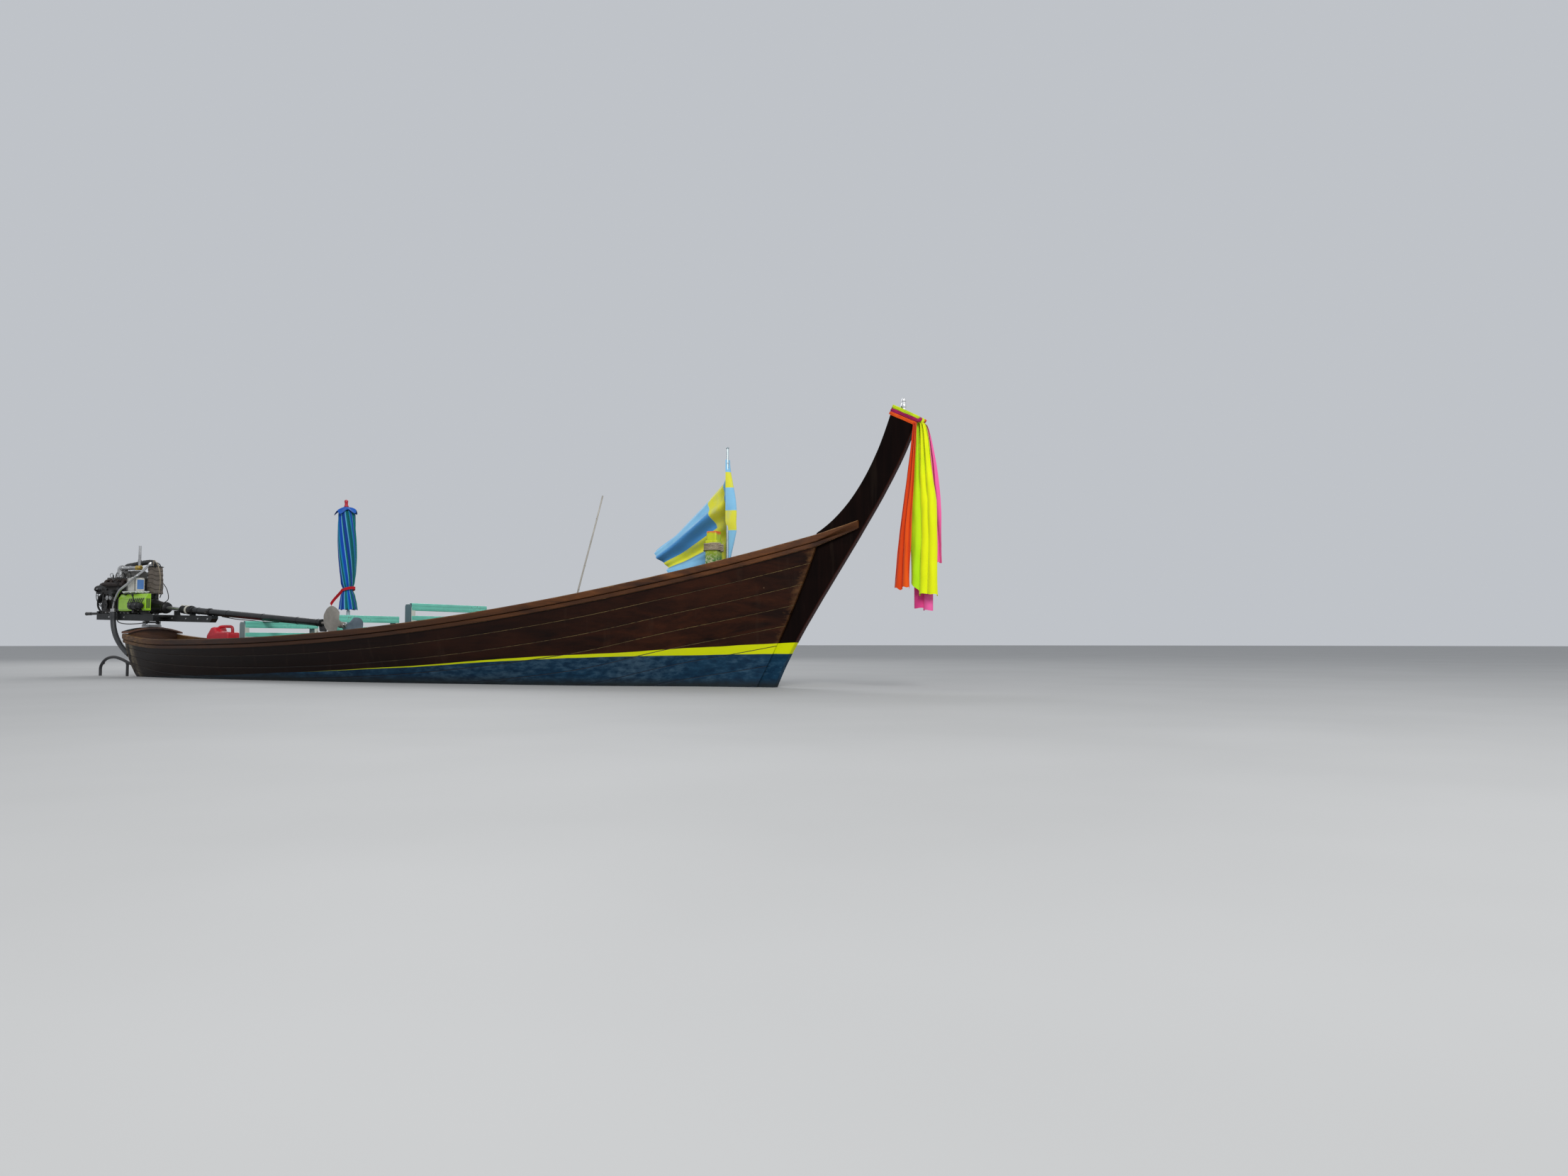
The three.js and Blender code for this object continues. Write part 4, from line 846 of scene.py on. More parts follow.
def rail(side, word):
    shape = Shape()
    xs = even(STERN, BOW, STATIONS + 1) + even(BOW, RAIL_END, 7)[1:]
    cap, band = [], []
    for i, x in enumerate(xs):
        index = min(i, STATIONS)
        beyond = max(0.0, x - BOW)
        p = hull_point(index, 0, 0)
        down = hull_point(index, 0.05, 0) - p
        down.x = 0
        down.normalize()
        out = Vector((0, -down.z, down.y))
        p.x += beyond
        p.z += sheer(x) - sheer(min(x, BOW))
        thin = lerp(1, 0.24, beyond / (RAIL_END - BOW))
        reach = min(0.045, p.y - 0.0455)
        chip = 0.0035 * max(0, rough(x * 9, side, 3, 1)) + 0.0025 * max(0, rough(x * 31, side, 7, 1))
        face = p.y + RAIL_PROUD * thin
        low = p.z + (RAIL_HEIGHT * (1 - thin) if beyond else 0.0) + 0.002
        high = p.z + RAIL_HEIGHT
        inner = p.y - reach
        c = 0.008
        lip = p.z + 0.0008
        ring = [(inner, lip), (inner, high - c * 0.6), (inner + c * 0.6, high),
                ((inner + face) / 2, high + 0.0012), (face - c - chip, high), (face, high - c - chip),
                (face + 0.001, (low + high) / 2), (face, low + 0.006), (face - 0.005, low)]
        cap.append([(p.x, y, z) for y, z in ring])
        off = 0.02 * thin
        deep = 0.044 * thin
        ring = [(0.002, 0.001), (0.002, off - 0.004), (0.006, off), (deep - 0.006, off + 0.001 - chip),
                (deep, off - 0.005 - chip), (deep, 0.001)]
        band.append([tuple(p + down * a + out * b) for a, b in ring])
    for rings, wear, tone in ((cap, CAP_WEAR, 0.1), (band, BAND_WEAR, 0.6)):
        rings = [[(x, side * y, z) for x, y, z in (ring if side > 0 else ring[::-1])] for ring in rings]
        shape.add(loft(rings, wear=wear if side > 0 else wear[::-1]), tone=tone)
    shape.piece(f"rail_{word}", "hull", rail_wood, [f"gunwale_{word}"], "worn_timber")


rail(-1, "starboard")
rail(1, "port")


# The stem and prow: one thick plank with eased edges
def quad(a, b, c, steps):
    return [((1 - t) ** 2 * a[0] + 2 * t * (1 - t) * b[0] + t * t * c[0],
             (1 - t) ** 2 * a[1] + 2 * t * (1 - t) * b[1] + t * t * c[1])
            for t in (i / steps for i in range(1, steps + 1))]


def cubic(a, b, c, d, steps):
    out = []
    for i in range(1, steps + 1):
        t = i / steps
        w = ((1 - t) ** 3, 3 * t * (1 - t) ** 2, 3 * t * t * (1 - t), t**3)
        out.append(tuple(sum(k * p[axis] for k, p in zip(w, (a, b, c, d))) for axis in (0, 1)))
    return out


def prow():
    foot = keel_line(3.3) - 0.06
    front = [(3.301, foot), (3.43, foot)] + quad((3.43, foot), (3.69, foot), (3.769, 0), 12)
    front += cubic((3.769, 0), (4.02, 0.64), (5.0, 1.805), (5.165, 2.44), 64)
    back = [(4.945, 2.555)] + quad((4.945, 2.555), (4.685, 1.725), (4.2, 1.44), 28) + [(3.56, 0.04)]
    back += quad((3.56, 0.04), (3.48, -0.11), (3.301, foot + 0.11), 8)
    outline = front + back
    count = len(outline)
    rings, marks, fronts, ways = [], [], [], []
    for i in range(count):
        a, b = Vector(outline[i - 1]), Vector(outline[(i + 1) % count])
        way = (b - a).normalized()
        ways.append(Vector((-way.y, way.x)))
    profile = [(0.03, 0.0449, 0), (0.012, 0.0449, 0.4), (0.004, 0.041, 1), (0.0, 0.033, 1)]
    profile += [(inn, -y, w) for inn, y, w in profile[::-1]]
    for inn, y, wear in profile:
        ring = []
        for i, (p, way) in enumerate(zip(outline, ways)):
            worn = 0.002 * max(0, rough(p[0] * 8, p[1] * 8, 5, 1)) if wear == 1 else 0
            q = Vector(p) + way * (inn + worn)
            ring.append((q.x, y, q.y))
            marks.append(wear * 0.5)
            fronts.append(1.0 if i < len(front) and inn < 0.006 else 0.0)
        rings.append(ring)
    shape = Shape().add((*loft(rings, wear=marks), fronts), tone=0.3)
    shape.piece("prow", "hull", stem_wood, ["stem_prow"], "dark_timber", angle=25)


prow()
dress("keel", hull_wood)
dress("frames", rib_wood)
dress("riser_port", inner_wood)
dress("riser_starboard", inner_wood)


# Decks of boards, trimmed to the planks
BOARD = 0.022


def boards(name, x0, x1, top, wide, depth, replaced):
    shape = Shape()
    widest = max(inner_half(lerp(x0, x1, i / 30), top, depth) for i in range(31))
    count = int(math.ceil(2 * widest / wide))
    for k in range(count):
        y0 = -count * wide / 2 + k * wide + 0.002
        y1 = y0 + wide - 0.004
        rings = []
        for i in range(61):
            x = lerp(x0 + 0.002, x1 - 0.002, i / 60)
            limit = inner_half(x, top - BOARD, depth) - 0.006
            a, b = max(y0, -limit), min(y1, limit)
            if b - a < 0.012:
                if rings:
                    break
                continue
            c = 0.003
            z1 = top - 0.001 + 0.0012 * rough(x * 2, k * 5, top, 1)
            z0 = top - BOARD
            rings.append([(x, a, z0), (x, a, z1 - c), (x, a + c, z1), (x, (a + b) / 2, z1 + 0.0004),
                          (x, b - c, z1), (x, b, z1 - c), (x, b, z0)])
        if len(rings) > 2:
            shape.add(loft([r[::-1] for r in rings], wear=(0, 1, 1, 0, 1, 1, 0)[::-1]), tone=chance(k, top))
    shape.piece(name, "hull", deck_wood, [replaced], "worn_timber")


boards("floor_boards", -3.15, 2.6, -0.09, 0.135, IN_RIBS, "floorboards")
boards("stern_boards", -4.78, -3.2, 0.15, 0.12, IN_RIBS, "stern_deck")
boards("bow_boards", 2.76, 3.77, 0.95, 0.1, IN_PLANKS, "foredeck")
dress("transom", cross_wood)


# The bent batten over the transom
CROWN = 0.59


def crown(y, ends):
    """The height of the batten's underside."""
    return CROWN - (CROWN - sheer(STERN) - 0.002) * (y / ends) ** 2


def arch():
    half = half_breadth(STERN) - 0.014
    shape = Shape()
    rings, marks = [], []
    steps = 48
    for i in range(steps + 1):
        y = lerp(-half, half, i / steps)
        z = crown(y, half) + 0.0008
        tip = 0.3 if i in (0, steps) else 0
        x0, x1, t, c = STERN - 0.03, STERN + 0.1, 0.0235, 0.005
        ring = [(x0, z), (x1, z), (x1, z + t - c), (x1 - c, z + t), ((x0 + x1) / 2, z + t + 0.001),
                (x0 + c, z + t), (x0, z + t - c)]
        rings.append([(x, y, h) for x, h in ring])
        marks += [0.2 + tip, 0.2 + tip, 1, 1, 0, 1, 1]
    shape.add(loft(rings, wear=marks))
    look = Look("arch_wood")
    along = (1, 0.05, 1)
    fibre = look.noise(60, along, 5, 0.7)
    patch = look.noise(6, along, 3, 0.6, 0.6)
    body = look.blend((0.09, 0.03, 0.012), (0.2, 0.075, 0.03), patch, 0.3, 0.7)
    body = look.blend(body, (0.03, 0.011, 0.006), fibre, 0.45, 0.75, 0, 0.5)
    body = look.blend(body, (0.012, 0.011, 0.011), look.normal_of(2), 0.5, 0.8)
    rubbed = look.range(look.edges(0.5, (fibre, 0.5)), 0.72, 0.84)
    body = look.mix(rubbed, body, (0.28, 0.14, 0.06))
    wood = look.done(body, look.range(patch, 0.3, 0.7, 0.18, 0.32), (fibre, 0.2, 0.0015), coat=0.3)
    shape.piece("arch_batten", "hull", wood, ["stern_arch"], "dark_timber")


arch()

# Benches: board seats and two-rail backrests
SEAT_TOP = 0.2755
# Each bench's name, place, port and starboard reach, and the height of its backrest
BENCHES = [("1", -2.68, 0.53, 0.53, 0.664), ("2", -1.445, 0.58, 0.385, 0.725), ("3", -0.175, 0.6, 0.6, 0.83)]
MINT = (0.17, 0.6, 0.47)
# The backrests' starboard faces are painted darker as painted shade: teal on the mint rails, slate on the
# white posts
SHADED_MINT = (0.02, 0.09, 0.1)
mint_rail = painted_wood("mint_rail", MINT, (0.2, 0.16, 0.1), 1, 0.1, side=SHADED_MINT)
mint_post = painted_wood("mint_post", (0.66, 0.68, 0.6), (0.2, 0.16, 0.12), 2, 0.15, side=(0.065, 0.13, 0.15))
mint_seat = painted_wood("mint_seat", (0.15, 0.46, 0.37), (0.22, 0.15, 0.09), 1, 0.45)


def bench(name, x, port, starboard, top):
    aft, fore = x - 0.045, x + 0.045
    shape = Shape()
    for y0, y1 in ((-starboard, -starboard + 0.06), (port - 0.06, port)):
        outline = [(aft, SEAT_TOP + 0.0005), (fore, SEAT_TOP + 0.0005), (fore, top - 0.05),
                   (fore - 0.012, top - 0.01), (aft + 0.014, top - 0.008), (aft, top - 0.03)]
        shape.add(prism(outline, y0, y1, "Y", 0.005, 0.012), tone=chance(y0, x), slot=1)
    for z0, z1 in ((top - 0.078, top), (top - 0.18, top - 0.13)):
        y0, y1 = -starboard + 0.002, port - 0.002
        shape.add(block(fore - 0.03, fore + 0.001, y0, y1, z0, z1, 0.006, 0.012, 3), tone=0.3 * chance(z0, x))
        # A shallow bead along the rail's face
        for z in ((z0 + z1) / 2 + 0.016, (z0 + z1) / 2 - 0.016) if z1 == top else ():
            shape.add(block(fore + 0.0004, fore + 0.0032, y0 + 0.004, y1 - 0.004, z - 0.004, z + 0.004,
                            0.0012, 0.002))
        for y in (y0 + 0.03, y1 - 0.03):
            shape.add(turned([(0.005, 0), (0.0055, 0.0012), (0.003, 0.0026), (0.001, 0.003)], 12,
                             (fore + 0.0008, y, (z0 + z1) / 2), (fore + 0.01, y, (z0 + z1) / 2), 1.0),
                      tone=1.0)
    shape.piece(f"bench_back_{name}", "hull", [mint_rail, mint_post], [f"backrest_{name}"], "mint_paint")
    seat = Shape()
    x0, x1 = x - 0.048, x + 0.4
    count = 3
    wide = (x1 - x0) / count
    for k in range(count):
        a, b = x0 + k * wide + 0.002, x0 + (k + 1) * wide - 0.002
        z0, z1 = SEAT_TOP - 0.025, SEAT_TOP - 0.001
        ends = [inner_half(v, z0, IN_RIBS) - 0.004 for v in (a, b)]
        plan = ((a, -ends[0]), (b, -ends[1]), (b, ends[1]), (a, ends[0]))
        corners = [(*at, z) for z in (z0, z1) for at in plan]
        seat.add(worn_solid(corners, BOX_FACES, 0.004, 0.014), tone=chance(k, x))
    seat.piece(f"seat_boards_{name}", "hull", mint_seat, [f"seat_{name}"], "mint_paint")


for row in BENCHES:
    bench(*row)

# Bow post with its wound rope
POST_X, POST_HALF, POST_TOP = 3.1, 0.062, 1.5
ROPE_LOW, ROPE_HIGH = 1.3, 1.39


def post_look():
    look = Look("post_paint")
    brush = look.noise(80, grain_stretch(2), 4, 0.6)
    patch = look.noise(7, (1, 1, 0.5), 5, 0.6, 0.3)
    fine = look.noise(50, (1, 1, 1), 5, 0.7)
    _, _, z = look.split()
    body = look.blend((0.6, 0.66, 0.012), (0.34, 0.52, 0.02), patch, 0.4, 0.7)
    green = look.range(look.sum(z, look.times(patch, 0.16)), 1.42, 1.3, 0, 1)
    body = look.mix(green, body, (0.05, 0.2, 0.025))
    flaked = look.times(green, look.range(look.sum(fine, patch), 1.02, 1.1))
    body = look.mix(flaked, body, (0.6, 0.62, 0.36))
    top = look.range(look.sum(z, look.times(patch, 0.09)), 1.51, 1.535)
    body = look.mix(top, body, (0.7, 0.1, 0.015))
    body = look.blend(body, (0.16, 0.16, 0.03), brush, 0.5, 0.8, 0, 0.4)
    edge = look.edges(0.6, (fine, 0.6), (patch, 0.3))
    bare = look.range(edge, 1.12, 1.2)
    body = look.mix(bare, body, (0.2, 0.11, 0.05))
    return look.done(body, look.range(brush, 0.3, 0.7, 0.32, 0.5), (brush, 0.25, 0.0015), (patch, 0.2, 0.003))


def bow_post():
    shape = Shape()
    h, x = POST_HALF, POST_X
    shape.add(block(x - h, x + h, -h, h, 0.9505, 1.41, 0.007, 0.016, 3))
    g = h - 0.007
    shape.add(block(x - g, x + g, -g, g, 1.4, POST_TOP, 0.014, 0.014, 3))
    shape.piece("bow_post_timber", "hull", post_look(), ["bow_post"], "lime_paint")


def rope_look():
    look = Look("rope_fibre")
    fibre = look.noise(260, (1, 1, 0.3), 4, 0.7)
    patch = look.noise(12, (1, 1, 1), 4, 0.6)
    body = look.blend((0.32, 0.25, 0.15), (0.5, 0.43, 0.3), patch, 0.35, 0.65)
    body = look.blend(body, (0.13, 0.09, 0.05), fibre, 0.4, 0.7, 0, 0.6)
    return look.done(body, look.range(fibre, 0.3, 0.7, 0.75, 0.92), (fibre, 0.5, 0.001), sheen=0.2)


def wound_rope():
    """Three strands laid together and wound on the square post."""
    shape = Shape()
    radius, turns = 0.0085, 5
    side = POST_HALF + radius + 0.0015
    line = []
    steps = 40
    for i in range(turns * steps + 1):
        angle = 2 * math.pi * i / steps
        c, s = math.cos(angle), math.sin(angle)
        grow = side / (abs(c) ** 8 + abs(s) ** 8) ** 0.125
        loose = 0.012 * max(0, rough(c, s, i / steps, 1.3))
        grow += loose
        z = lerp(ROPE_LOW + radius + 0.001, ROPE_HIGH - radius - 0.001, i / (turns * steps)) - 0.6 * loose
        line.append(Vector((POST_X + grow * c, grow * s, z + 0.0015 * math.sin(angle * 3))))
    fine = smooth_line(line, 3)
    run = 0.0
    strands = [[], [], []]
    for i, p in enumerate(fine):
        way = (fine[min(i + 1, len(fine) - 1)] - fine[max(i - 1, 0)]).normalized()
        across = way.cross(Vector((0, 0, 1))).normalized()
        up = across.cross(way)
        run += (p - fine[i - 1]).length if i else 0
        for k in range(3):
            angle = 2 * math.pi * (run / 0.045 + k / 3)
            strands[k].append(p + 0.0042 * (math.cos(angle) * across + math.sin(angle) * up))
    for k, strand in enumerate(strands):
        shape.add(pipe(strand, 0.0046, 6, 1), tone=0.3 * k)
    shape.piece("wound_rope", "hull", rope_look(), ["post_rope"], "rope", angle=60)


bow_post()
wound_rope()

# Flag on its pole
FLAG_POLE = (3.195, 0.104)
pole_metal = metal("pole_metal", (0.42, 0.5, 0.53), (0.2, 0.16, 0.12), (0.4, 0.38, 0.34), 0.5, 0.35, 0.3,
                   brushed=2)


def flag_pole():
    x, y = FLAG_POLE
    shape = Shape()
    shape.add(turned([(0.012, 0), (0.0118, 0.6), (0.0105, 1.37), (0.009, 1.374)], 16, (x, y, 0.9505),
                     (x, y, 2)))
    shape.add(turned([(0.006, 0), (0.014, 0.003), (0.016, 0.008), (0.012, 0.014), (0.003, 0.017)], 16,
                     (x, y, 2.318), (x, y, 3), 0.4))
    for z in (1.235, 1.7, 2.175):
        shape.add(can((x, y, z - 0.006), (x, y, z + 0.006), 0.0145, 0.002, 16))
    shape.piece("flag_pole_tube", "hull", pole_metal, ["flagpole"], "pole_steel")


FLAG_LOOP = 0.16  # the share of the flag that bellies out beyond its pole


def flag_paint(look):
    u, v = look.flow()
    slant = look.sum(u, look.times(v, 0.15))
    across = look.times(look.range(slant, 0.265, 0.27), look.range(slant, 0.445, 0.44))
    along = look.times(look.range(v, 0.5, 0.505), look.range(v, 0.7, 0.695))
    turned_in = look.times(look.range(u, FLAG_LOOP, FLAG_LOOP - 0.005), look.range(v, 0.12, 0.125),
                           look.range(v, 0.28, 0.275))
    cross = look.sum(across, along, turned_in, how="MAXIMUM")
    lit = look.sum(look.range(v, 0.3, 0.25), look.range(v, 0.72, 0.78),
                   look.range(u, FLAG_LOOP, FLAG_LOOP - 0.01), how="MAXIMUM")
    blue = look.mix(lit, (0.075, 0.28, 0.6), (0.26, 0.56, 0.8))
    return look.mix(cross, blue, (0.8, 0.76, 0.006))


def flag_sheet():
    """Bellies out beyond its pole, turns back behind it and hangs aft in a few long folds."""
    x, y = FLAG_POLE
    high, low = 2.21, 1.215
    fly_high, fly_low = Vector((2.285, 0, 1.36)), Vector((2.5, 0, 1.1))
    behind = 0.05
    across, down = 110, 64
    points, flow = [], []
    for i in range(across + 1):
        u = i / across
        for j in range(down + 1):
            v = j / down
            z = lerp(high, low, v)
            if u < FLAG_LOOP:
                s = u / FLAG_LOOP
                belly = 0.012 + 0.085 * math.sin(math.pi * v**1.1) ** 1.3 if 0 < v < 1 else 0.012
                bare = smooth((v - 0.6) / 0.12)
                p = Vector((x + lerp(-0.014, 0.0135, bare) * (1 - s) + belly * math.sin(math.pi * s),
                            y + lerp(-0.018 * (1 - bare), behind, smooth(s)), z))
            else:
                s = (u - FLAG_LOOP) / (1 - FLAG_LOOP)
                sag = 0.05 * (1 - v) * smooth(s / 0.14)
                p = Vector((x, 0, z - sag)).lerp(fly_high.lerp(fly_low, v), s)
                p.z -= 0.03 * math.sin(math.pi * s) * (1 - v)
                depth = smooth(s / 0.16) * lerp(0.06, 0.085, s) * lerp(1, 0.6, smooth((s - 0.75) / 0.25))
                fold = math.cos(2 * math.pi * (1.5 * v + 0.08))
                fold += 0.16 * math.sin(2 * math.pi * (4.3 * v + 0.9 * s) + 1)
                fold += 0.3 * math.cos(2 * math.pi * 4.5 * v)
                fold += 0.16 * rough(s * 3, v * 5, 2.0, 1.6)
                p.y = y + behind + depth * (fold + 1.25)
            points.append(p)
            flow.append((u, v))
    shape = Shape().add((points, grid_faces(across, down), 0.0, flow))
    blue = cloth("flag_cloth", (0.13, 0.42, 0.78), (0.07, 0.28, 0.62), 0.15, flag_paint, per_metre=260)
    return shape.piece("flag_sheet", "hull", blue, ["flag"], "flag_cloth", angle=80)


flag_pole()
flag_obj = flag_sheet()

# Furled umbrella
UMBRELLA = (-1.512, -0.105)
HEM = 0.805
TWIST = 0.2  # turns of the furled cloth a metre


def lean(z):
    """The furled canopy leans aft on its pole."""
    return -0.045 * (z - HEM)


def umbrella_paint(look):
    u, _ = look.flow()
    one_run = [(0, (0.003, 0.035, 0.26)), (0.2, (0.12, 0.4, 0.66)), (0.27, (0.004, 0.15, 0.13)),
               (0.5, (0.01, 0.22, 0.4)), (0.6, (0.003, 0.06, 0.42)), (0.8, (0.16, 0.46, 0.68)),
               (0.86, (0.004, 0.19, 0.16))]
    stripes = [((k + at) / 4, colour) for k in range(4) for at, colour in one_run]
    return look.bands(u, *stripes, step=True)


def umbrella():
    x, y = UMBRELLA
    profile = [(HEM, 0.098), (0.86, 0.09), (0.935, 0.078), (1.0, 0.064), (1.035, 0.063), (1.1, 0.076),
               (1.225, 0.088), (1.4, 0.096), (1.565, 0.099), (1.75, 0.096), (1.86, 0.091), (1.905, 0.085),
               (1.925, 0.05), (1.945, 0.026)]

    def radius(z):
        for (z0, r0), (z1, r1) in zip(profile, profile[1:]):
            if z <= z1:
                return lerp(r0, r1, smooth((z - z0) / (z1 - z0)) * 0.5 + 0.5 * (z - z0) / (z1 - z0))
        return profile[-1][1]

    folds, around, rows = 8, 192, 90
    points, flow = [], []
    for j in range(rows + 1):
        z = lerp(HEM, 1.945, j / rows)
        base = radius(z)
        tied = math.exp(-(((z - 1.018) / 0.03) ** 2))
        for i in range(around + 1):
            u = i / around
            angle = 2 * math.pi * (u - TWIST * (z - HEM))
            lap = (u * folds) % 1.0
            pleat = (1 - lap) ** 0.7 * (1 - 0.7 * tied)
            r = base * (0.8 + 0.24 * pleat + 0.03 * math.sin(3 * angle + 9 * z))
            drop = 0.02 * pleat * (1 - smooth(j / 6))
            points.append(Vector((x + lean(z) + r * math.cos(angle), y + r * math.sin(angle), z - drop)))
            flow.append((u, z))
    shape = Shape().add((points, grid_faces(rows, around), 0.0, flow))
    striped = cloth("umbrella_cloth", (0.01, 0.12, 0.4), (0.004, 0.06, 0.2), 0.1, umbrella_paint,
                    per_metre=300)
    canopy = shape.piece("furled_canopy", "hull", striped, ["umbrella_canopy"], "umbrella_cloth", angle=50)

    cap = Shape()
    rows, around = 12, 64
    points, faces = [], []
    for j in range(rows + 1):
        t = j / rows
        for angle, c, s in circle(around):
            r = lerp(0.118, 0.022, t**0.8) * (1 + 0.09 * math.cos(5 * angle) * (1 - t))
            sag = 0.022 * math.cos(5 * angle) * (1 - t) + 0.012 * math.cos(angle + 2.6) * (1 - t)
            points.append(Vector((x - 0.057 + r * c, y + r * s, lerp(1.893, 1.958, t**0.6) - sag)))
    for j in range(rows):
        for i in range(around):
            a, b = j * around + i, j * around + (i + 1) % around
            faces.append((a, b, b + around, a + around))
    cap.add((points, faces, 0.0, [(p.x, p.y) for p in points]))
    blue = cloth("cap_cloth", (0.006, 0.11, 0.5), (0.004, 0.07, 0.36), 0.15)
    cap_obj = cap.piece("vent_cap", "hull", blue, slot="umbrella_cloth", angle=60)

    tip = Shape().add(turned([(0.022, 0), (0.026, 0.004), (0.024, 0.014), (0.0185, 0.022), (0.0175, 0.05),
                              (0.021, 0.056), (0.02, 0.074), (0.01, 0.082)], 20, (x - 0.055, y, 1.957),
                             (x - 0.065, y, 2.2), 0.2))
    tip.piece("umbrella_tip", "hull", plastic("tip_red", (0.62, 0.025, 0.05), (0.4, 0.015, 0.03), 0.35),
              slot="umbrella_cloth")
    return canopy, cap_obj


def umbrella_tie():
    """A red strap round the canopy, with its loose end hanging to starboard and aft."""
    x, y = UMBRELLA
    red = cloth("tie_cloth", (0.6, 0.012, 0.025), (0.35, 0.008, 0.012), 0.1)
    shape = Shape()
    across, around = 4, 72
    points, flow = [], []
    for i in range(around + 1):
        angle = 2 * math.pi * i / around
        for j in range(across + 1):
            r = 0.071 + 0.002 * math.sin(4 * angle) + 0.0025 * (i / around)
            z = 1.0 + 0.03 * j / across + 0.022 * math.sin(angle + 1.57)
            points.append(Vector((x + r * math.cos(angle), y + r * math.sin(angle), z)))
            flow.append((i * 0.0062, 0.03 * j / across))
    shape.add((points, grid_faces(around, across), 0.0, flow))
    points, flow = [], []
    tail_steps = 20
    for i in range(tail_steps + 1):
        t = i / tail_steps
        for j in range(across + 1):
            s = j / across
            points.append(Vector((x - 0.02 - 0.105 * t + 0.006 * math.sin(6 * t),
                                  y - 0.075 - 0.07 * t + 0.02 * s, 1.03 - 0.17 * t ** 1.1 - 0.03 * s)))
            flow.append((0.2 * t, 0.03 * s))
    shape.add((points, grid_faces(tail_steps, across), 0.0, flow))
    return shape.piece("umbrella_tie", "hull", red, slot="umbrella_cloth", angle=60)


def umbrella_pole():
    x, y = UMBRELLA
    shape = Shape().add(turned([(0.0142, 0), (0.0142, 0.5), (0.0142, 0.886), (0.012, 0.8935)], 20,
                               (x, y, -0.0895), (x, y, 1)))
    shape.add(can((x, y, 0.69), (x, y, 0.775), 0.02, 0.004, 20))
    shape.piece("umbrella_pole_tube", "hull", pole_metal, ["umbrella_pole"], "pole_steel")


canopy_obj, cap_obj = umbrella()
tie_obj = umbrella_tie()
umbrella_pole()


# The thin pole that leans on the port rail
def leaning_pole():
    foot, on_rail = Vector((0.987, 0.325, -0.0855)), Vector((1.018, 0.6344, 0.757))
    top = foot.lerp(on_rail, 2.58)
    shape = Shape()
    line = [foot.lerp(top, t) + Vector((0.003 * math.sin(9 * t), 0, 0)) for t in (i / 14 for i in range(15))]
    shape.add(pipe(line, lambda t: lerp(0.011, 0.0085, t), 12, 3))
    for k in range(1, 8):
        p = foot.lerp(top, k / 8)
        shape.add(can(p, p.lerp(top, 0.006), lerp(0.0125, 0.0098, k / 8), 0.001, 12), tone=0.6)
    pale = timber("pale_cane", (0.4, 0.37, 0.32), (0.6, 0.57, 0.5), (0.3, 0.26, 0.2), 2, 0.5, 0.4)
    shape.piece("leaning_cane", "hull", pale, ["leaning_pole"], "pale_wood")


leaning_pole()


# Fuel can: rounded body with raised panels, a handle and a cap
def fuel_can():
    x0, x1, y0, y1, shoulder, top = -3.43, -3.07, -0.4, -0.23, 0.56, 0.625
    middle = (y0 + y1) / 2
    shape = Shape()
    # The body, with a shoulder that slopes up to the cap and a deep well under the handle
    outline = [(x0, 0.1505), (x1, 0.1505), (x1, shoulder - 0.03), (x1 - 0.02, shoulder - 0.015),
               (x0 + 0.16, shoulder - 0.02), (x0 + 0.13, top - 0.022), (x0 + 0.075, top - 0.03),
               (x0, shoulder - 0.06)]
    shape.add(prism(outline, y0, y1, "Y", 0.018, 0.02, 4))
    for k in range(3):
        z = 0.2 + 0.1 * k
        shape.add(block(x0 + 0.04, x1 - 0.04, y0 - 0.003, y1 + 0.003, z, z + 0.065, 0.0028, 0.006))
        shape.add(block(x0 - 0.003, x1 + 0.003, y0 + 0.035, y1 - 0.035, z, z + 0.065, 0.0028, 0.006))
    arc = [(x0 + 0.1, top - 0.04), (x0 + 0.14, top - 0.022), (x0 + 0.2, top - 0.018), (x1 - 0.1, top - 0.018),
           (x1 - 0.045, top - 0.022), (x1 - 0.026, top - 0.045), (x1 - 0.022, shoulder - 0.03)]
    shape.add(pipe([(x, middle, z) for x, z in arc], 0.0175, 16, 6), tone=0.2)
    red = plastic("can_red", (0.62, 0.006, 0.022), (0.36, 0.004, 0.014), 0.3, 0.1)
    shape.piece("fuel_can_body", "hull", red, ["fuel_can"], "red_plastic")
    cap_foot = Vector((x0 + 0.045, middle, shoulder - 0.012))
    cap_top = Vector((x0 + 0.03, middle, shoulder + 0.035))
    up = (cap_top - cap_foot).normalized()
    cap = Shape().add(turned([(0.028, 0), (0.031, 0.003), (0.031, 0.036), (0.027, 0.041)], 28, cap_foot,
                             cap_top, 0.4))
    for _, c, s in circle(20):
        p = cap_foot + Vector((0.0305 * c, 0.0305 * s, 0.004))
        cap.add(can(p, p + up * 0.03, 0.0022, 0.0006, 6))
    cap.piece("fuel_can_cap", "hull", plastic("cap_black", (0.015, 0.015, 0.016), (0.03, 0.03, 0.03), 0.4),
              slot="black_plastic")


fuel_can()

# The prow's head: twisted bands, a knot, scarves and a turned finial
HEAD = (5.056, 2.47)
HEAD_LEAN = 0.46
BAND_COLOURS = (((0.82, 0.12, 0.006), (0.6, 0.05, 0.004)), ((0.4, 0.01, 0.11), (0.24, 0.006, 0.06)),
                ((0.66, 0.8, 0.01), (0.4, 0.56, 0.01)))


def head_place(along, y, up):
    c, s = math.cos(HEAD_LEAN), math.sin(HEAD_LEAN)
    return Vector((HEAD[0] + along * c + up * s, y, HEAD[1] - along * s + up * c))


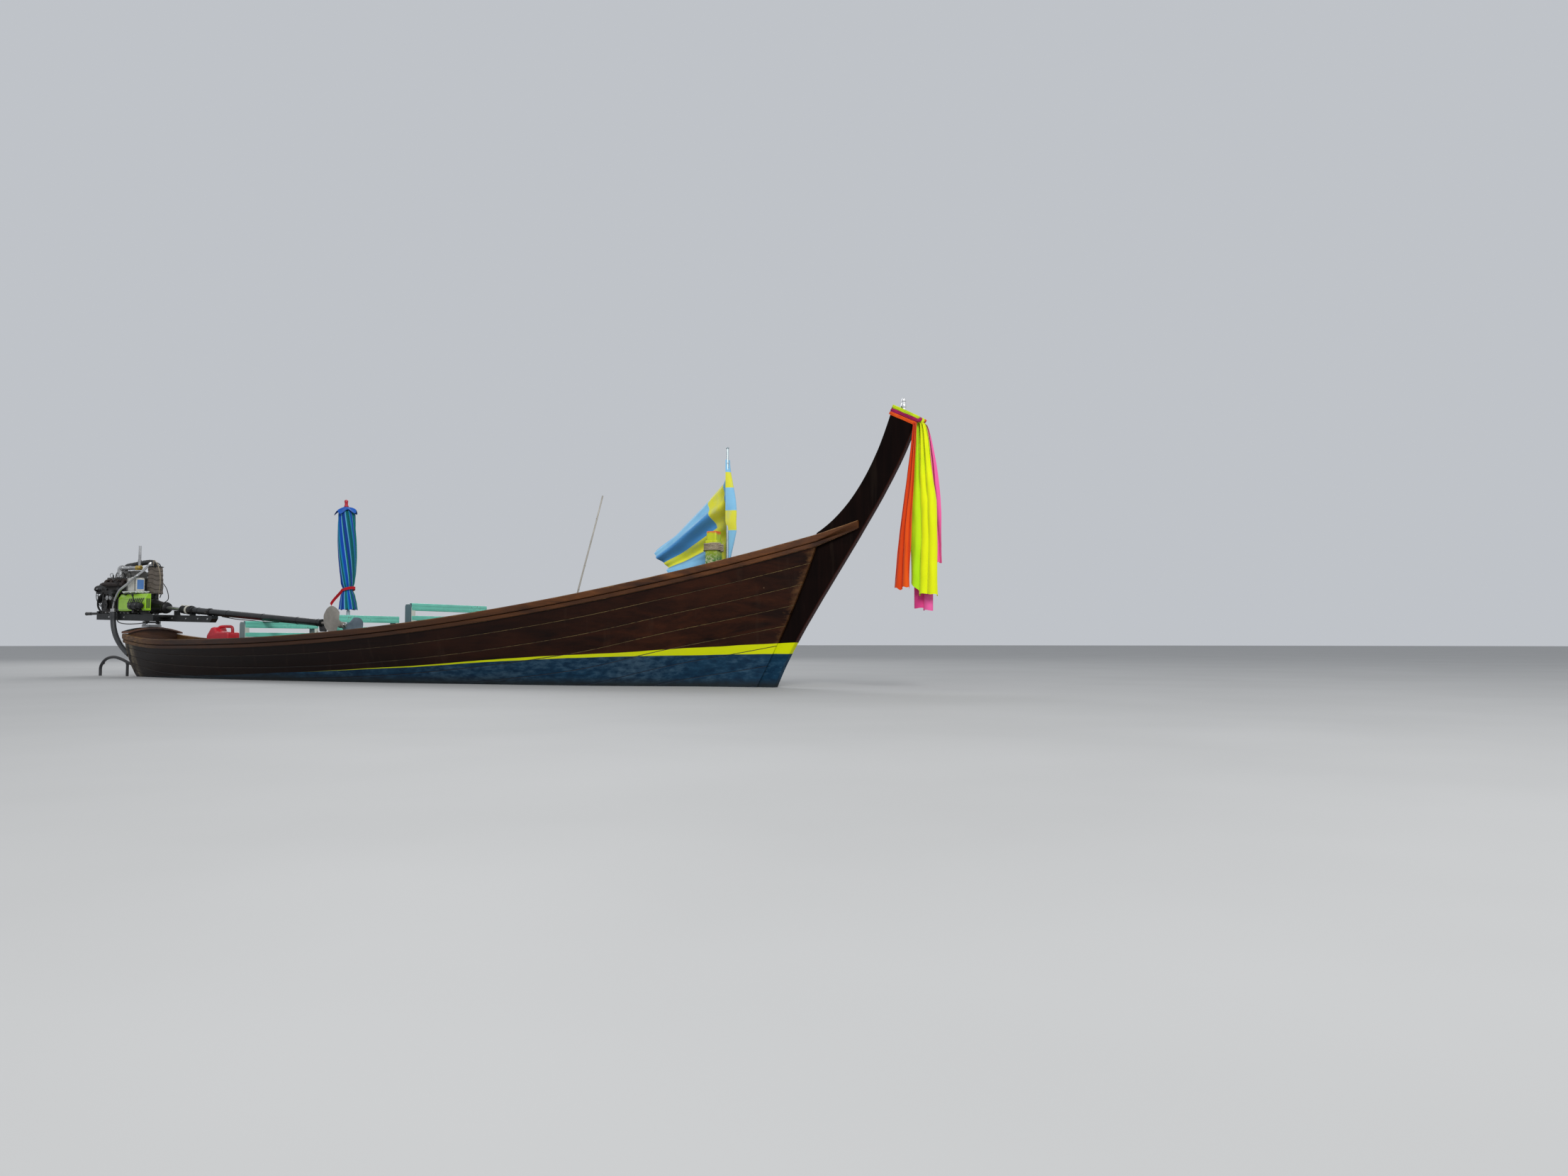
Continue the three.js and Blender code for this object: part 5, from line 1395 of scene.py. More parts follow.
def head_band():
    """Three cloths wound round the prow, each puckered, with their ends tied in front."""
    cloths = [cloth(f"band_cloth_{k + 1}", a, b, 0.12) for k, (a, b) in enumerate(BAND_COLOURS)]
    shape = Shape()
    around, rows = 120, 8
    for k in range(3):
        low, high = -0.042 + 0.028 * k, -0.042 + 0.028 * (k + 1) + 0.003
        points, faces, flow = [], [], []
        for i, (angle, c, s) in enumerate(circle(around)):
            grow = 1 / (abs(c) ** 7 + abs(s) ** 7) ** (1 / 7)
            for j in range(rows + 1):
                t = j / rows
                swell = 0.003 * math.sin(math.pi * t) + 0.0018 * math.sin(angle * 5 + 14 * t + k)
                swell += 0.0028 * rough(angle * 2, t * 3, k * 5.0, 1.5)
                a = (0.1405 + swell) * grow * c
                b = (0.0485 + swell) * grow * s
                up = lerp(low, high, t) + 0.004 * math.sin(angle + 2 * k)
                points.append(head_place(a, b, up))
                flow.append((i * 0.0062, t * 0.03))
        for i in range(around):
            for j in range(rows):
                a, b = i * (rows + 1) + j, ((i + 1) % around) * (rows + 1) + j
                faces.append((a, b, b + 1, a + 1))
        shape.add((points, faces, 0.0, flow), slot=k)
    return shape.piece("wound_bands", "hull", cloths, ["head_band"], "band_cloth", angle=70), cloths


def knot(cloths):
    """A fat half hitch: two loops and a turn over them."""
    shape = Shape()
    middle = Vector((5.206, -0.017, 2.409))
    loops = [
        [(-0.012, 0.03, -0.012), (0.012, 0.05, 0.006), (0.02, 0.066, 0.012), (0.006, 0.074, 0.0),
         (-0.01, 0.055, -0.014), (-0.004, 0.02, -0.01)],
        [(-0.01, -0.03, 0.004), (0.014, -0.05, 0.01), (0.02, -0.066, -0.002), (0.004, -0.074, -0.012),
         (-0.01, -0.055, -0.008), (-0.006, -0.02, 0.0)],
        [(-0.016, -0.01, -0.022), (0.012, -0.014, -0.018), (0.022, 0.0, 0.0), (0.012, 0.014, 0.018),
         (-0.012, 0.012, 0.022)],
    ]
    for k, loop in enumerate(loops):
        line = [middle + Vector(p) for p in loop]
        body = pipe(line, lambda t: 0.0105 + 0.003 * math.sin(math.pi * t), 14, 6)
        points = []
        for n, p in enumerate(body[0]):
            ripple = 0.0014 * math.sin((n % 14) * 1.8 + (n // 14) * 0.3)
            points.append(p + (p - middle).normalized() * ripple)
        flow = [((n % 14) * 0.005, (n // 14) * 0.005) for n in range(len(points))]
        shape.add((points, body[1], 0.0, flow), slot=k)
    return shape.piece("band_knot", "hull", cloths, slot="band_cloth", angle=70)


def scarf(name, node, slot, colours, top, low, y, hem, folds, seed, quick):
    """A gathered scarf hanging from the knot. top and low are its middle and width in x, y its nearest
    and furthest reach, hem(s) the height of its lower edge, and quick how soon it spreads below the knot."""
    columns, rows = 96, 96
    points, flow = [], []
    top_z = 2.385
    centre, deep = (y[0] + y[1]) / 2, 0.5 * (y[1] - y[0])
    for j in range(rows + 1):
        t = j / rows
        spread = min(1, quick[0] * t) ** quick[1]
        middle = lerp(top[0], low[0], spread) + 0.006 * math.sin(5 * t + seed)
        half = 0.48 * lerp(top[1], low[1], spread)
        for i in range(columns + 1):
            s = i / columns
            phase = folds * s + 0.1 * math.sin(4 * t + seed) + 0.12 * t
            phase += 0.35 * rough(s * 2, t * 2.2, seed, 1)
            wave = math.sin(2 * math.pi * phase)
            tight = (1 - spread) * math.sin(2 * math.pi * (folds * 2.6 * s) + seed)
            crease = rough(s * 5 + seed, t * 9, seed, 1) + 0.8 * rough(s * 9 + 2.5 * t, t * 4, seed + 3, 1.6)
            at = lerp(top_z, hem(s) + 0.012 * math.sin(9 * s + seed) + 0.006 * math.sin(31 * s), t)
            x = middle + half * (2 * s - 1) + 0.16 * half * math.cos(2 * math.pi * phase) * spread
            sway = deep * (0.75 * wave + 0.45 * tight + 0.22 * crease) * lerp(0.7, 1, spread)
            points.append(Vector((x, centre + sway, at)))
            flow.append((s * low[1] * 1.6, t * (top_z - hem(s))))
    shape = Shape().add((points, grid_faces(rows, columns), 0.0, flow))

    # The aft edge of each scarf is painted in its darker colour, as painted shade
    def paint(look):
        return look.blend(colours[1], colours[0], look.flow()[0], 0.1, 0.24)

    material = cloth(f"{name}_cloth", *colours, 0.12, paint, per_metre=420)
    return shape.piece(name, "hull", material, [node], slot, angle=80)


def finial():
    x = 5.042
    foot = 2.555 + (2.44 - 2.555) / (5.165 - 4.945) * (x - 4.945)
    profile = [(0.034, -0.03), (0.0345, 0.004), (0.034, 0.012), (0.029, 0.017), (0.0235, 0.022),
               (0.022, 0.03), (0.0245, 0.04), (0.0265, 0.052), (0.026, 0.066), (0.0225, 0.078),
               (0.0185, 0.085), (0.018, 0.09), (0.0205, 0.096), (0.021, 0.106), (0.0185, 0.118),
               (0.0135, 0.128), (0.007, 0.135), (0.003, 0.137)]
    silver = metal("finial_silver", (0.78, 0.79, 0.8), (0.9, 0.9, 0.9), (0.6, 0.58, 0.55), 0.85, 0.24, 0.3)
    shape = Shape().add(turned(profile, 32, (x, 0, foot), (x, 0, 3), 0.3))
    shape.piece("turned_finial", "hull", silver, ["finial"], "finial_metal", angle=50)


band_obj, band_cloths = head_band()
knot_obj = knot(band_cloths)
scarves = [
    scarf("orange_scarf", "scarf_orange", "orange_cloth", ((0.86, 0.11, 0.004), (0.66, 0.05, 0.003)),
          (5.168, 0.04), (5.045, 0.17), (-0.112, -0.066), lambda s: 0.905, 2.6, 1.0, (1, 1)),
    scarf("yellow_scarf", "scarf_yellow", "yellow_cloth", ((0.8, 0.86, 0.002), (0.4, 0.74, 0.006)),
          (5.206, 0.075), (5.228, 0.265), (-0.078, -0.004), lambda s: lerp(1.0, 0.85, smooth(s * 2.6)), 3.2,
          2.2, (2.2, 0.6)),
    scarf("pink_scarf", "scarf_pink", "pink_cloth", ((0.85, 0.12, 0.36), (0.66, 0.04, 0.2)), (5.21, 0.06),
          (5.255, 0.3), (0.004, 0.062), lambda s: lerp(0.72, 1.13, smooth((s - 0.6) / 0.07)), 3.6, 0.4,
          (1.15, 0.6)),
]
finial()


# The black pipe that loops out of the transom and dips below the waterline
def stern_pipe():
    y = -0.24
    arc = [(-4.79, 0.142), (-4.83, 0.142), (-4.972, 0.16), (-5.13, 0.211), (-5.283, 0.237), (-5.424, 0.208),
           (-5.515, 0.124), (-5.524, 0.03), (-5.524, -0.06)]
    shape = Shape().add(pipe([(x, y, z) for x, z in arc], 0.018, 16, 8))
    shape.add(can((-5.018, y, -0.06), (-5.018, y, 0.17), 0.0165, 0.002, 18))
    shape.add(can((-5.018, y, 0.15), (-5.018, y, 0.176), 0.0215, 0.003, 18), tone=0.5)
    for x, z, dx, dz in ((-4.86, 0.1445, -1, 0.05), (-5.47, 0.17, -0.75, -0.7)):
        p = Vector((x, y, z))
        shape.add(can(p, p + Vector((dx, 0, dz)).normalized() * 0.018, 0.0215, 0.002, 18))
    black = plastic("pipe_black", (0.018, 0.018, 0.02), (0.04, 0.04, 0.042), 0.4)
    shape.piece("stern_pipe_bend", "hull", black, ["stern_pipe"], "black_plastic")


stern_pipe()

# Metals and paints of the engine
black_steel = metal("black_steel_paint", (0.009, 0.0095, 0.01), (0.08, 0.068, 0.058), (0.035, 0.03, 0.026),
                    0.35, 0.4, 0.35)
tube_steel = metal("tube_paint", (0.008, 0.0085, 0.0095), (0.08, 0.07, 0.062), (0.03, 0.03, 0.03), 0.3, 0.28,
                   0.3, brushed=0)
engine_dark = metal("engine_iron", (0.009, 0.0085, 0.0085), (0.06, 0.048, 0.04), (0.03, 0.025, 0.02), 0.45,
                    0.45, 0.35)
rust = metal("rusty_iron", (0.022, 0.013, 0.01), (0.07, 0.036, 0.02), (0.04, 0.028, 0.02), 0.35, 0.6, 0.4)
bright = metal("bright_steel_face", (0.42, 0.42, 0.42), (0.66, 0.65, 0.62), (0.26, 0.23, 0.19), 0.9, 0.28,
               0.45)
alloy = metal("cast_alloy", (0.1, 0.097, 0.09), (0.26, 0.25, 0.23), (0.07, 0.06, 0.05), 0.8, 0.42, 0.4)
alloy_dark = metal("cast_alloy_dark", (0.013, 0.0125, 0.012), (0.07, 0.062, 0.055), (0.03, 0.026, 0.022), 0.6,
                   0.42, 0.35)
brass = metal("brass_fitting", (0.5, 0.36, 0.09), (0.7, 0.55, 0.2), (0.3, 0.22, 0.1), 0.9, 0.32, 0.5)
cream = painted_wood("cream_paint", (0.55, 0.53, 0.44), (0.16, 0.1, 0.06), 0, 0.25)
white_bar = painted_wood("white_bar_paint", (0.72, 0.73, 0.71), (0.2, 0.15, 0.1), 0, 0.1)
black_plastic = plastic("black_plastic_part", (0.016, 0.016, 0.017), (0.035, 0.035, 0.035), 0.42)
wire_black = plastic("wire_black", (0.012, 0.012, 0.012), (0.03, 0.03, 0.03), 0.4)

pale_steel = metal("pale_steel", (0.42, 0.43, 0.44), (0.62, 0.62, 0.6), (0.3, 0.28, 0.25), 0.6, 0.4, 0.45)
dress("swivel_base", pale_steel)
dress("swivel_yoke", pale_steel)
dress("engine_frame", black_steel)

FRAME_SLOPE = -0.024  # the engine and its frame fall towards the bow
FRAME_LEVEL_AT = -4.92


def lean_z(x, z):
    return z + FRAME_SLOPE * (x - FRAME_LEVEL_AT)


LEAN = Matrix(((1, 0, 0, 0), (0, 1, 0, 0), (FRAME_SLOPE, 0, 1, -FRAME_SLOPE * FRAME_LEVEL_AT), (0, 0, 0, 1)))
SHAFT_X, SHAFT_Z, SHAFT_SLOPE = -4.363, 0.834, -0.0704


def shaft(x, y=0.0, off=0.0):
    """A point on the drive shaft's axis, or beside and above it."""
    return Vector((x, y, SHAFT_Z + SHAFT_SLOPE * (x - SHAFT_X) + off))


def swivel_details():
    shape = Shape()
    for x in (-4.965, -4.875):
        for y in (-0.072, 0.072):
            shape.add(bolt((x, y, 0.633), (x, y, 1), 0.008, 0.0055))
    for y in (-0.105, 0.105):
        shape.add(bolt((-4.92, y - math.copysign(0.006, y), 0.672), (-4.92, 2 * y, 0.672), 0.011, 0.009))
    shape.piece("swivel_bolts", "swivel", bright, slot="bright_steel", turned=True)


def frame_details():
    shape = Shape()
    for x in (-5.82, -4.585):
        for y in (-0.17, 0.17):
            z = lean_z(x, 0.77 if x > -5 else 0.8)
            shape.add(bolt((x, y, z), (x, y, z + 1), 0.01, 0.008))
    for x in (-5.55, -5.2):
        for y in (-0.1905, 0.1905):
            z = lean_z(x, 0.73)
            shape.add(bolt((x, y, z), (x, 2 * y, z), 0.01, 0.008))
    for x in (-4.4, -4.1, -3.85, -3.65):
        z = lean_z(x, 0.73)
        shape.add(bolt((x, -0.0405, z), (x, -1, z), 0.008, 0.006))
    shape.fit("frame_bolts", bright, "bright_steel")
    # Welded gussets between the rails and the centre beam
    gusset = Shape()
    for y in (-1, 1):
        outline = [(-4.553, y * 0.041), (-4.553, y * 0.13), (-4.43, y * 0.041)]
        gusset.add(prism(outline, lean_z(-4.5, 0.742), lean_z(-4.5, 0.75), "Z", 0.002, 0.008))
    gusset.fit("frame_gussets", black_steel, "black_steel")


swivel_details()
frame_details()

# The engine block: ribbed casting, head, valve cover, sump and the brackets on it
ENGINE_AFT, ENGINE_FORE = -5.757, -5.089


def engine_block():
    aft, fore = ENGINE_AFT, ENGINE_FORE
    shape = Shape()
    # The casting, wider at its deck and foot
    section = [(-0.186, 0.7715), (0.186, 0.7715), (0.19, 0.80), (0.178, 0.83), (0.178, 1.02), (0.19, 1.06),
               (0.19, 1.15), (-0.19, 1.15), (-0.19, 1.06), (-0.178, 1.02), (-0.178, 0.83), (-0.19, 0.80)]
    shape.add(prism(section, aft, fore, "X", 0.005, 0.014), tone=0.2, move=LEAN)
    for x in even(aft + 0.05, fore - 0.05, 9):
        for side in (-1, 1):
            shape.add(block(x - 0.006, x + 0.006, *sorted((side * 0.176, side * 0.189)), 0.835, 1.02, 0.002,
                            0.005), move=LEAN)
    for x in even(aft + 0.11, fore - 0.11, 4):
        for side in (-1, 1):
            shape.add(can((x, side * 0.176, 0.93), (x, side * 0.184, 0.93), 0.03, 0.002, 24), tone=0.7,
                      move=LEAN)
    shape.add(block(aft + 0.06, fore - 0.06, -0.118, 0.118, 0.716, 0.781, 0.01, 0.02, 3), move=LEAN)
    for x in even(aft + 0.1, fore - 0.1, 6):
        shape.add(block(x - 0.004, x + 0.004, -0.112, 0.112, 0.709, 0.722, 0.0015, 0.003), move=LEAN)
    # The head, with a row of small ribs on its port side
    shape.add(block(aft + 0.02, fore - 0.02, -0.135, 0.125, 1.145, 1.235, 0.008, 0.018, 3), tone=0.5,
              move=LEAN)
    for x in even(aft + 0.05, fore - 0.05, 12):
        shape.add(block(x - 0.004, x + 0.004, 0.122, 0.131, 1.16, 1.225, 0.0015, 0.003), move=LEAN)
    shape.fit("engine_core", engine_dark, "engine_metal", ["engine_block"])

    cover = Shape()
    section = [(-0.048, 1.23), (0.06, 1.23), (0.06, 1.285), (0.042, 1.318), (0.02, 1.325), (-0.012, 1.325),
               (-0.034, 1.316), (-0.048, 1.285)]
    cover.add(prism(section, aft + 0.06, fore - 0.06, "X", 0.004, 0.012), move=LEAN)
    for x in even(aft + 0.1, fore - 0.1, 7):
        cover.add(block(x - 0.003, x + 0.003, -0.03, 0.038, 1.3225, 1.3285, 0.0012, 0.002), move=LEAN)
    cover.add(block(aft + 0.052, fore - 0.052, -0.056, 0.068, 1.2345, 1.2425, 0.002, 0.006), move=LEAN)
    cover.fit("valve_cover", alloy, "engine_metal")

    bits = Shape()
    for x in even(aft + 0.07, fore - 0.07, 7):
        for y in (-0.1, 0.1):
            z = lean_z(x, 1.235)
            bits.add(bolt((x, y, z), (x, y, z + 1), 0.0085, 0.009))
    for x in even(aft + 0.03, fore - 0.03, 8):
        for side in (-1, 1):
            z = lean_z(x, 0.786)
            bits.add(bolt((x, side * 0.1865, z), (x, side, z), 0.007, 0.006))
    bits.fit("engine_bolts", bright, "bright_steel")

    shelf = Shape()
    x0, x1, y0, y1 = -5.112, -4.771, -0.275, -0.12
    for k in range(4):
        a = lerp(y0, y1 - 0.03, k / 3)
        shelf.add(block(x0, x1, a, a + 0.03, 1.0465, 1.058, 0.003, 0.006), tone=0.2 * k)
    for x in (x0 + 0.02, (x0 + x1) / 2, x1 - 0.045):
        shelf.add(block(x, x + 0.025, y0, y1, 1.034, 1.0465, 0.003, 0.006))
    shelf.fit("tank_shelf", white_bar, "white_plastic")
    bracket = Shape()
    for x in (x0 + 0.03, x0 + 0.01):
        bracket.add(prism([(-0.189, 0.96), (-0.27, 1.034), (-0.13, 1.034), (-0.13, 1.0)], x, x + 0.006, "X",
                          0.001, 0.003))
    bracket.fit("shelf_bracket", black_steel, "black_steel")


def manifolds():
    """Exhaust log and runners to starboard, intake runners to port, and the injector lines."""
    shape = Shape()
    for x in even(ENGINE_AFT + 0.11, ENGINE_FORE - 0.16, 4):
        z = lean_z(x, 1.19)
        line = [(x, -0.13, z), (x, -0.17, z + 0.004), (x + 0.01, -0.2, z - 0.012),
                (x + 0.02, -0.212, z - 0.04)]
        shape.add(pipe(line, 0.019, 12, 5), tone=0.3)
        shape.add(block(x - 0.03, x + 0.03, -0.142, -0.133, z - 0.028, z + 0.028, 0.003, 0.008))
    a, b = ENGINE_AFT + 0.08, ENGINE_FORE - 0.1
    log = [(a, -0.212, lean_z(a, 1.142)), ((a + b) / 2, -0.216, lean_z(a, 1.137)),
           (b, -0.212, lean_z(b, 1.142))]
    shape.add(pipe(log, 0.027, 16, 8))
    shape.fit("exhaust_manifold", rust, "engine_metal")
    ports = Shape()
    for x in even(ENGINE_AFT + 0.11, ENGINE_FORE - 0.14, 4):
        z = lean_z(x, 1.19)
        ports.add(pipe([(x, 0.12, z), (x, 0.17, z + 0.012), (x, 0.21, z + 0.05), (x, 0.222, z + 0.09)],
                       0.0185, 12, 5))
    ports.add(pipe([(a, 0.224, lean_z(a, 1.292)), (b, 0.224, lean_z(b, 1.292))], 0.03, 16, 6))
    ports.fit("intake_manifold", alloy, "engine_metal")
    lines = Shape()
    pump = Vector((-5.3, -0.19, 1.08))
    for k in range(4):
        x = lerp(ENGINE_AFT + 0.13, ENGINE_FORE - 0.12, k / 3)
        z = lean_z(x, 1.235)
        lines.add(can((x, -0.115, z - 0.004), (x, -0.115, z + 0.034), 0.0085, 0.001, 12), tone=0.5)
        line = [(x, -0.115, z + 0.03), (x + 0.004, -0.13, z + 0.055), (x + 0.02, -0.165, z + 0.03 + 0.01 * k),
                (lerp(x, pump.x, 0.7), -0.228 - 0.004 * k, 1.2 - 0.012 * k),
                (pump.x + 0.012 * k, -0.222, 1.12), (pump.x + 0.012 * k, -0.2, 1.075)]
        lines.add(pipe(line, 0.0034, 8, 7))
    lines.fit("injector_lines", black_steel, "black_steel")


def side_units():
    """Alternator, pump, filter and starter, bolted to the block."""
    dark = Shape()
    dark.add(turned([(0.045, 0), (0.056, 0.006), (0.06, 0.02), (0.06, 0.1), (0.055, 0.112), (0.035, 0.122)],
                    28, (-5.71, 0.245, 1.07), (-5.5, 0.245, 1.065), 0.3))
    dark.add(can((-5.735, 0.245, 1.0705), (-5.712, 0.245, 1.07), 0.034, 0.003, 24))
    dark.add(block(-5.7, -5.62, 0.185, 0.225, 1.05, 1.09, 0.005, 0.01))
    dark.add(turned([(0.03, 0), (0.04, 0.006), (0.042, 0.02), (0.042, 0.085), (0.036, 0.1)], 24,
                    (-5.36, -0.189, 1.04), (-5.36, -0.26, 1.04), 0.2))
    dark.add(turned([(0.036, 0), (0.04, 0.004), (0.04, 0.16), (0.03, 0.17)], 24, (-5.24, 0.222, 0.86),
                    (-5.05, 0.222, 0.855)))
    dark.add(turned([(0.02, 0), (0.023, 0.003), (0.023, 0.12), (0.018, 0.126)], 20, (-5.22, 0.226, 0.92),
                    (-5.05, 0.226, 0.915)))
    dark.add(block(-5.35, -5.26, -0.222, -0.186, 1.035, 1.11, 0.006, 0.012))
    dark.fit("engine_units", black_steel, "black_steel")
    filt = Shape().add(turned([(0.034, 0), (0.038, 0.004), (0.038, 0.085), (0.03, 0.095), (0.012, 0.098)], 28,
                              (-5.5, 0.188, 0.9), (-5.5, 0.3, 0.88), 0.3))
    filter_paint = plastic("filter_paint", (0.5, 0.5, 0.46), (0.3, 0.28, 0.24), 0.35)
    filt.fit("oil_filter", filter_paint, "white_plastic")


FAN_SECTION = ((-1, 0), (-0.5, 0), (0, 0), (0.5, 0), (1, 0), (1, 0.002), (0.5, 0.003), (0, 0.003),
               (-0.5, 0.003), (-1, 0.002))


def cooling_fan():
    """Pulleys and a six-bladed fan in a half guard at the aft end."""
    z = 1.022
    face = ENGINE_AFT - 0.0005
    shape = Shape()
    shape.add(can((face, 0, z), (face - 0.105, 0, z), 0.034, 0.003, 28))
    shape.add(turned([(0.093, 0), (0.095, 0.004), (0.095, 0.01), (0.08, 0.016), (0.08, 0.022), (0.095, 0.028),
                      (0.095, 0.033)],
                     36, (face - 0.012, 0, z), (face - 1, 0, z), 0.5))
    for k in range(6):
        angle = 2 * math.pi * k / 6 + 0.3
        out = Vector((0, math.cos(angle), math.sin(angle)))
        side = Vector((0, -math.sin(angle), math.cos(angle)))
        rings = []
        for i in range(9):
            t = i / 8
            r = lerp(0.03, 0.176, t)
            wide = lerp(0.03, 0.062, smooth(t * 1.3)) * (1 - 0.25 * max(0, t - 0.85) / 0.15)
            twist = lerp(0.75, 0.45, t)
            chord = side * math.cos(twist) + Vector((-1, 0, 0)) * math.sin(twist)
            thick = Vector((-1, 0, 0)) * math.cos(twist) - side * math.sin(twist)
            p = Vector((face - 0.112, 0, z)) + out * r
            rings.append([p + chord * wide * c + thick * (0.006 * (1 - c * c) + h) for c, h in FAN_SECTION])
        shape.add(loft(rings), tone=0.2)
    shape.add(turned([(0.04, 0), (0.046, 0.003), (0.046, 0.026), (0.03, 0.034)], 28, (face - 0.1, 0, z),
                     (face - 1, 0, z), 0.5))
    shape.fit("fan_and_pulleys", black_plastic, "black_plastic", ["cooling_fan"])
    guard = Shape()
    for r, x in ((0.183, -0.094), (0.183, -0.136)):
        ring = []
        for i in range(49):
            a = 2 * math.pi * i / 48
            ring.append((face + x, r * math.cos(a), z + r * math.sin(a)))
        guard.add(pipe(ring, 0.0045, 8, 1))
    for _, c, s in circle(16):
        guard.add(pipe([(face - 0.094, 0.183 * c, z + 0.183 * s), (face - 0.136, 0.183 * c, z + 0.183 * s)],
                       0.003, 6, 1))
        guard.add(pipe([(face - 0.137, 0.183 * c, z + 0.183 * s), (face - 0.1385, 0.12 * c, z + 0.12 * s),
                        (face - 0.139, 0.05 * c, z + 0.05 * s)], 0.0025, 6, 3))
    guard.fit("fan_guard", black_steel, "black_steel")
    belt = Shape()
    line = []
    for cy, cz, r, a0, a1 in ((0, z, 0.087, 60, 250), (0.0, 0.86, 0.06, 200, 330),
                              (0.245, 1.07, 0.038, -50, 100)):
        for i in range(9):
            a = math.radians(lerp(a0, a1, i / 8))
            line.append((face - 0.03, cy + r * math.cos(a), cz + r * math.sin(a)))
    line.append(line[0])
    belt.add(pipe(line, 0.006, 8, 1))
    belt.add(can((face, 0, 0.86), (face - 0.04, 0, 0.86), 0.054, 0.003, 28))
    belt.fit("fan_belt", wire_black, "black_rubber")


def lime_look():
    look = Look("lime_cover")
    fine = look.noise(140, (1, 1, 1), 3, 0.6)
    patch = look.noise(6, (1, 1, 1), 4, 0.6, 0.4)
    body = look.blend((0.34, 0.68, 0.006), (0.24, 0.5, 0.006), patch, 0.35, 0.7)
    edge = look.range(look.edges(0.5, (fine, 0.4)), 0.62, 0.8, 0, 0.6)
    body = look.mix(edge, body, (0.5, 0.75, 0.1))
    grime = look.range(look.weigh((patch, 0.6), (fine, 0.4)), 0.55, 0.68, 0, 0.45)
    body = look.mix(grime, body, (0.05, 0.07, 0.012))
    return look.done(body, look.range(patch, 0.3, 0.7, 0.22, 0.4), (fine, 0.1, 0.0006), (patch, 0.15, 0.002),
                     coat=0.3)


def side_cover():
    x0, x1, out, z0, z1 = -5.215, -4.604, -0.262, 0.812, 1.022
    inner = -0.1905
    shape = Shape()
    section = [(inner, z0), (out + 0.012, z0), (out, z0 + 0.014), (out, z1 - 0.05), (out + 0.034, z1),
               (inner, z1)]
    shape.add(prism(section, x0, x1, "X", 0.005, 0.012, 3))
    # A raised rib along the face's foot and another under the chamfer
    for low in (z0 + 0.022, z1 - 0.066):
        shape.add(block(x0 + 0.02, x1 - 0.02, out - 0.003, out + 0.002, low, low + 0.01, 0.0015, 0.003))
    shape.fit("lime_side_cover", lime_look(), "lime_plastic", ["side_cover"])
    louvres = Shape()
    for a in even(x0 + 0.2, x1 - 0.11, 8):
        outline = [(a, z0 + 0.085), (a + 0.024, z0 + 0.085), (a + 0.088, z1 - 0.054), (a + 0.064, z1 - 0.054)]
        louvres.add(prism(outline, out - 0.0035, out - 0.0002, "Y", 0.001, 0.003))
    # The fore end carries slots too
    for y in even(out + 0.012, inner - 0.02, 4):
        louvres.add(block(x1 + 0.0002, x1 + 0.003, y, y + 0.008, z0 + 0.03, z1 - 0.06, 0.001, 0.002))
    louvres.fit("cover_louvres", black_plastic, "black_plastic")
    screws = Shape()
    for x in (x0 + 0.012, x1 - 0.012):
        for z in (z0 + 0.02, z1 - 0.062):
            screws.add(bolt((x, out + 0.0005, z), (x, -1, z), 0.005, 0.004))
    screws.fit("cover_screws", bright, "bright_steel")


def header_tank():
    x0, y0, y1, z1 = -5.112, -0.275, -0.12, 1.058
    a, b = x0 + 0.055, x0 + 0.275
    middle = (y0 + y1) / 2
    neck = (a + b) / 2 - 0.048
    white = plastic("tank_white", (0.62, 0.62, 0.57), (0.42, 0.4, 0.33), 0.32)
    shape = Shape()
    shape.add(block(a, b, middle - 0.055, middle + 0.055, z1 + 0.0005, z1 + 0.165, 0.014, 0.018, 4))
    shape.add(block(a + 0.006, b - 0.006, middle - 0.0565, middle + 0.0565, z1 + 0.075, z1 + 0.083, 0.002,
                    0.003))
    shape.add(turned([(0.024, 0), (0.026, 0.004), (0.026, 0.012), (0.022, 0.02), (0.022, 0.03)], 24,
                     (neck, middle, z1 + 0.162), (neck, middle, 3), 0.2))
    shape.fit("tank_body", white, "white_plastic", ["header_tank"])
    extra = Shape().add(turned([(0.025, 0), (0.027, 0.002), (0.027, 0.014), (0.022, 0.0175)], 20,
                               (neck, middle, z1 + 0.183), (neck, middle, 3), 0.5))
    for _, c, s in circle(14):
        p = Vector((neck + 0.0265 * c, middle + 0.0265 * s, z1 + 0.185))
        extra.add(can(p, p + Vector((0, 0, 0.012)), 0.0022, 0.0006, 6))
    extra.fit("tank_cap", black_plastic, "black_plastic")
    label = Shape().add(block(b - 0.001, b + 0.0014, middle - 0.042, middle + 0.04, z1 + 0.024, z1 + 0.142,
                              0.001, 0.003))
    label.fit("blank_label", plastic("label_blue", (0.04, 0.14, 0.42), (0.1, 0.24, 0.5), 0.4),
              "white_plastic")
    strap = Shape()
    for x in (a + 0.02, b - 0.03):
        strap.add(block(x, x + 0.014, middle - 0.0575, middle - 0.0552, z1 + 0.002, z1 + 0.155, 0.001, 0.003))
        strap.add(block(x, x + 0.014, middle - 0.0575, middle + 0.0575, z1 + 0.1652, z1 + 0.1675, 0.001,
                        0.003))
    strap.fit("tank_straps", black_steel, "black_steel")


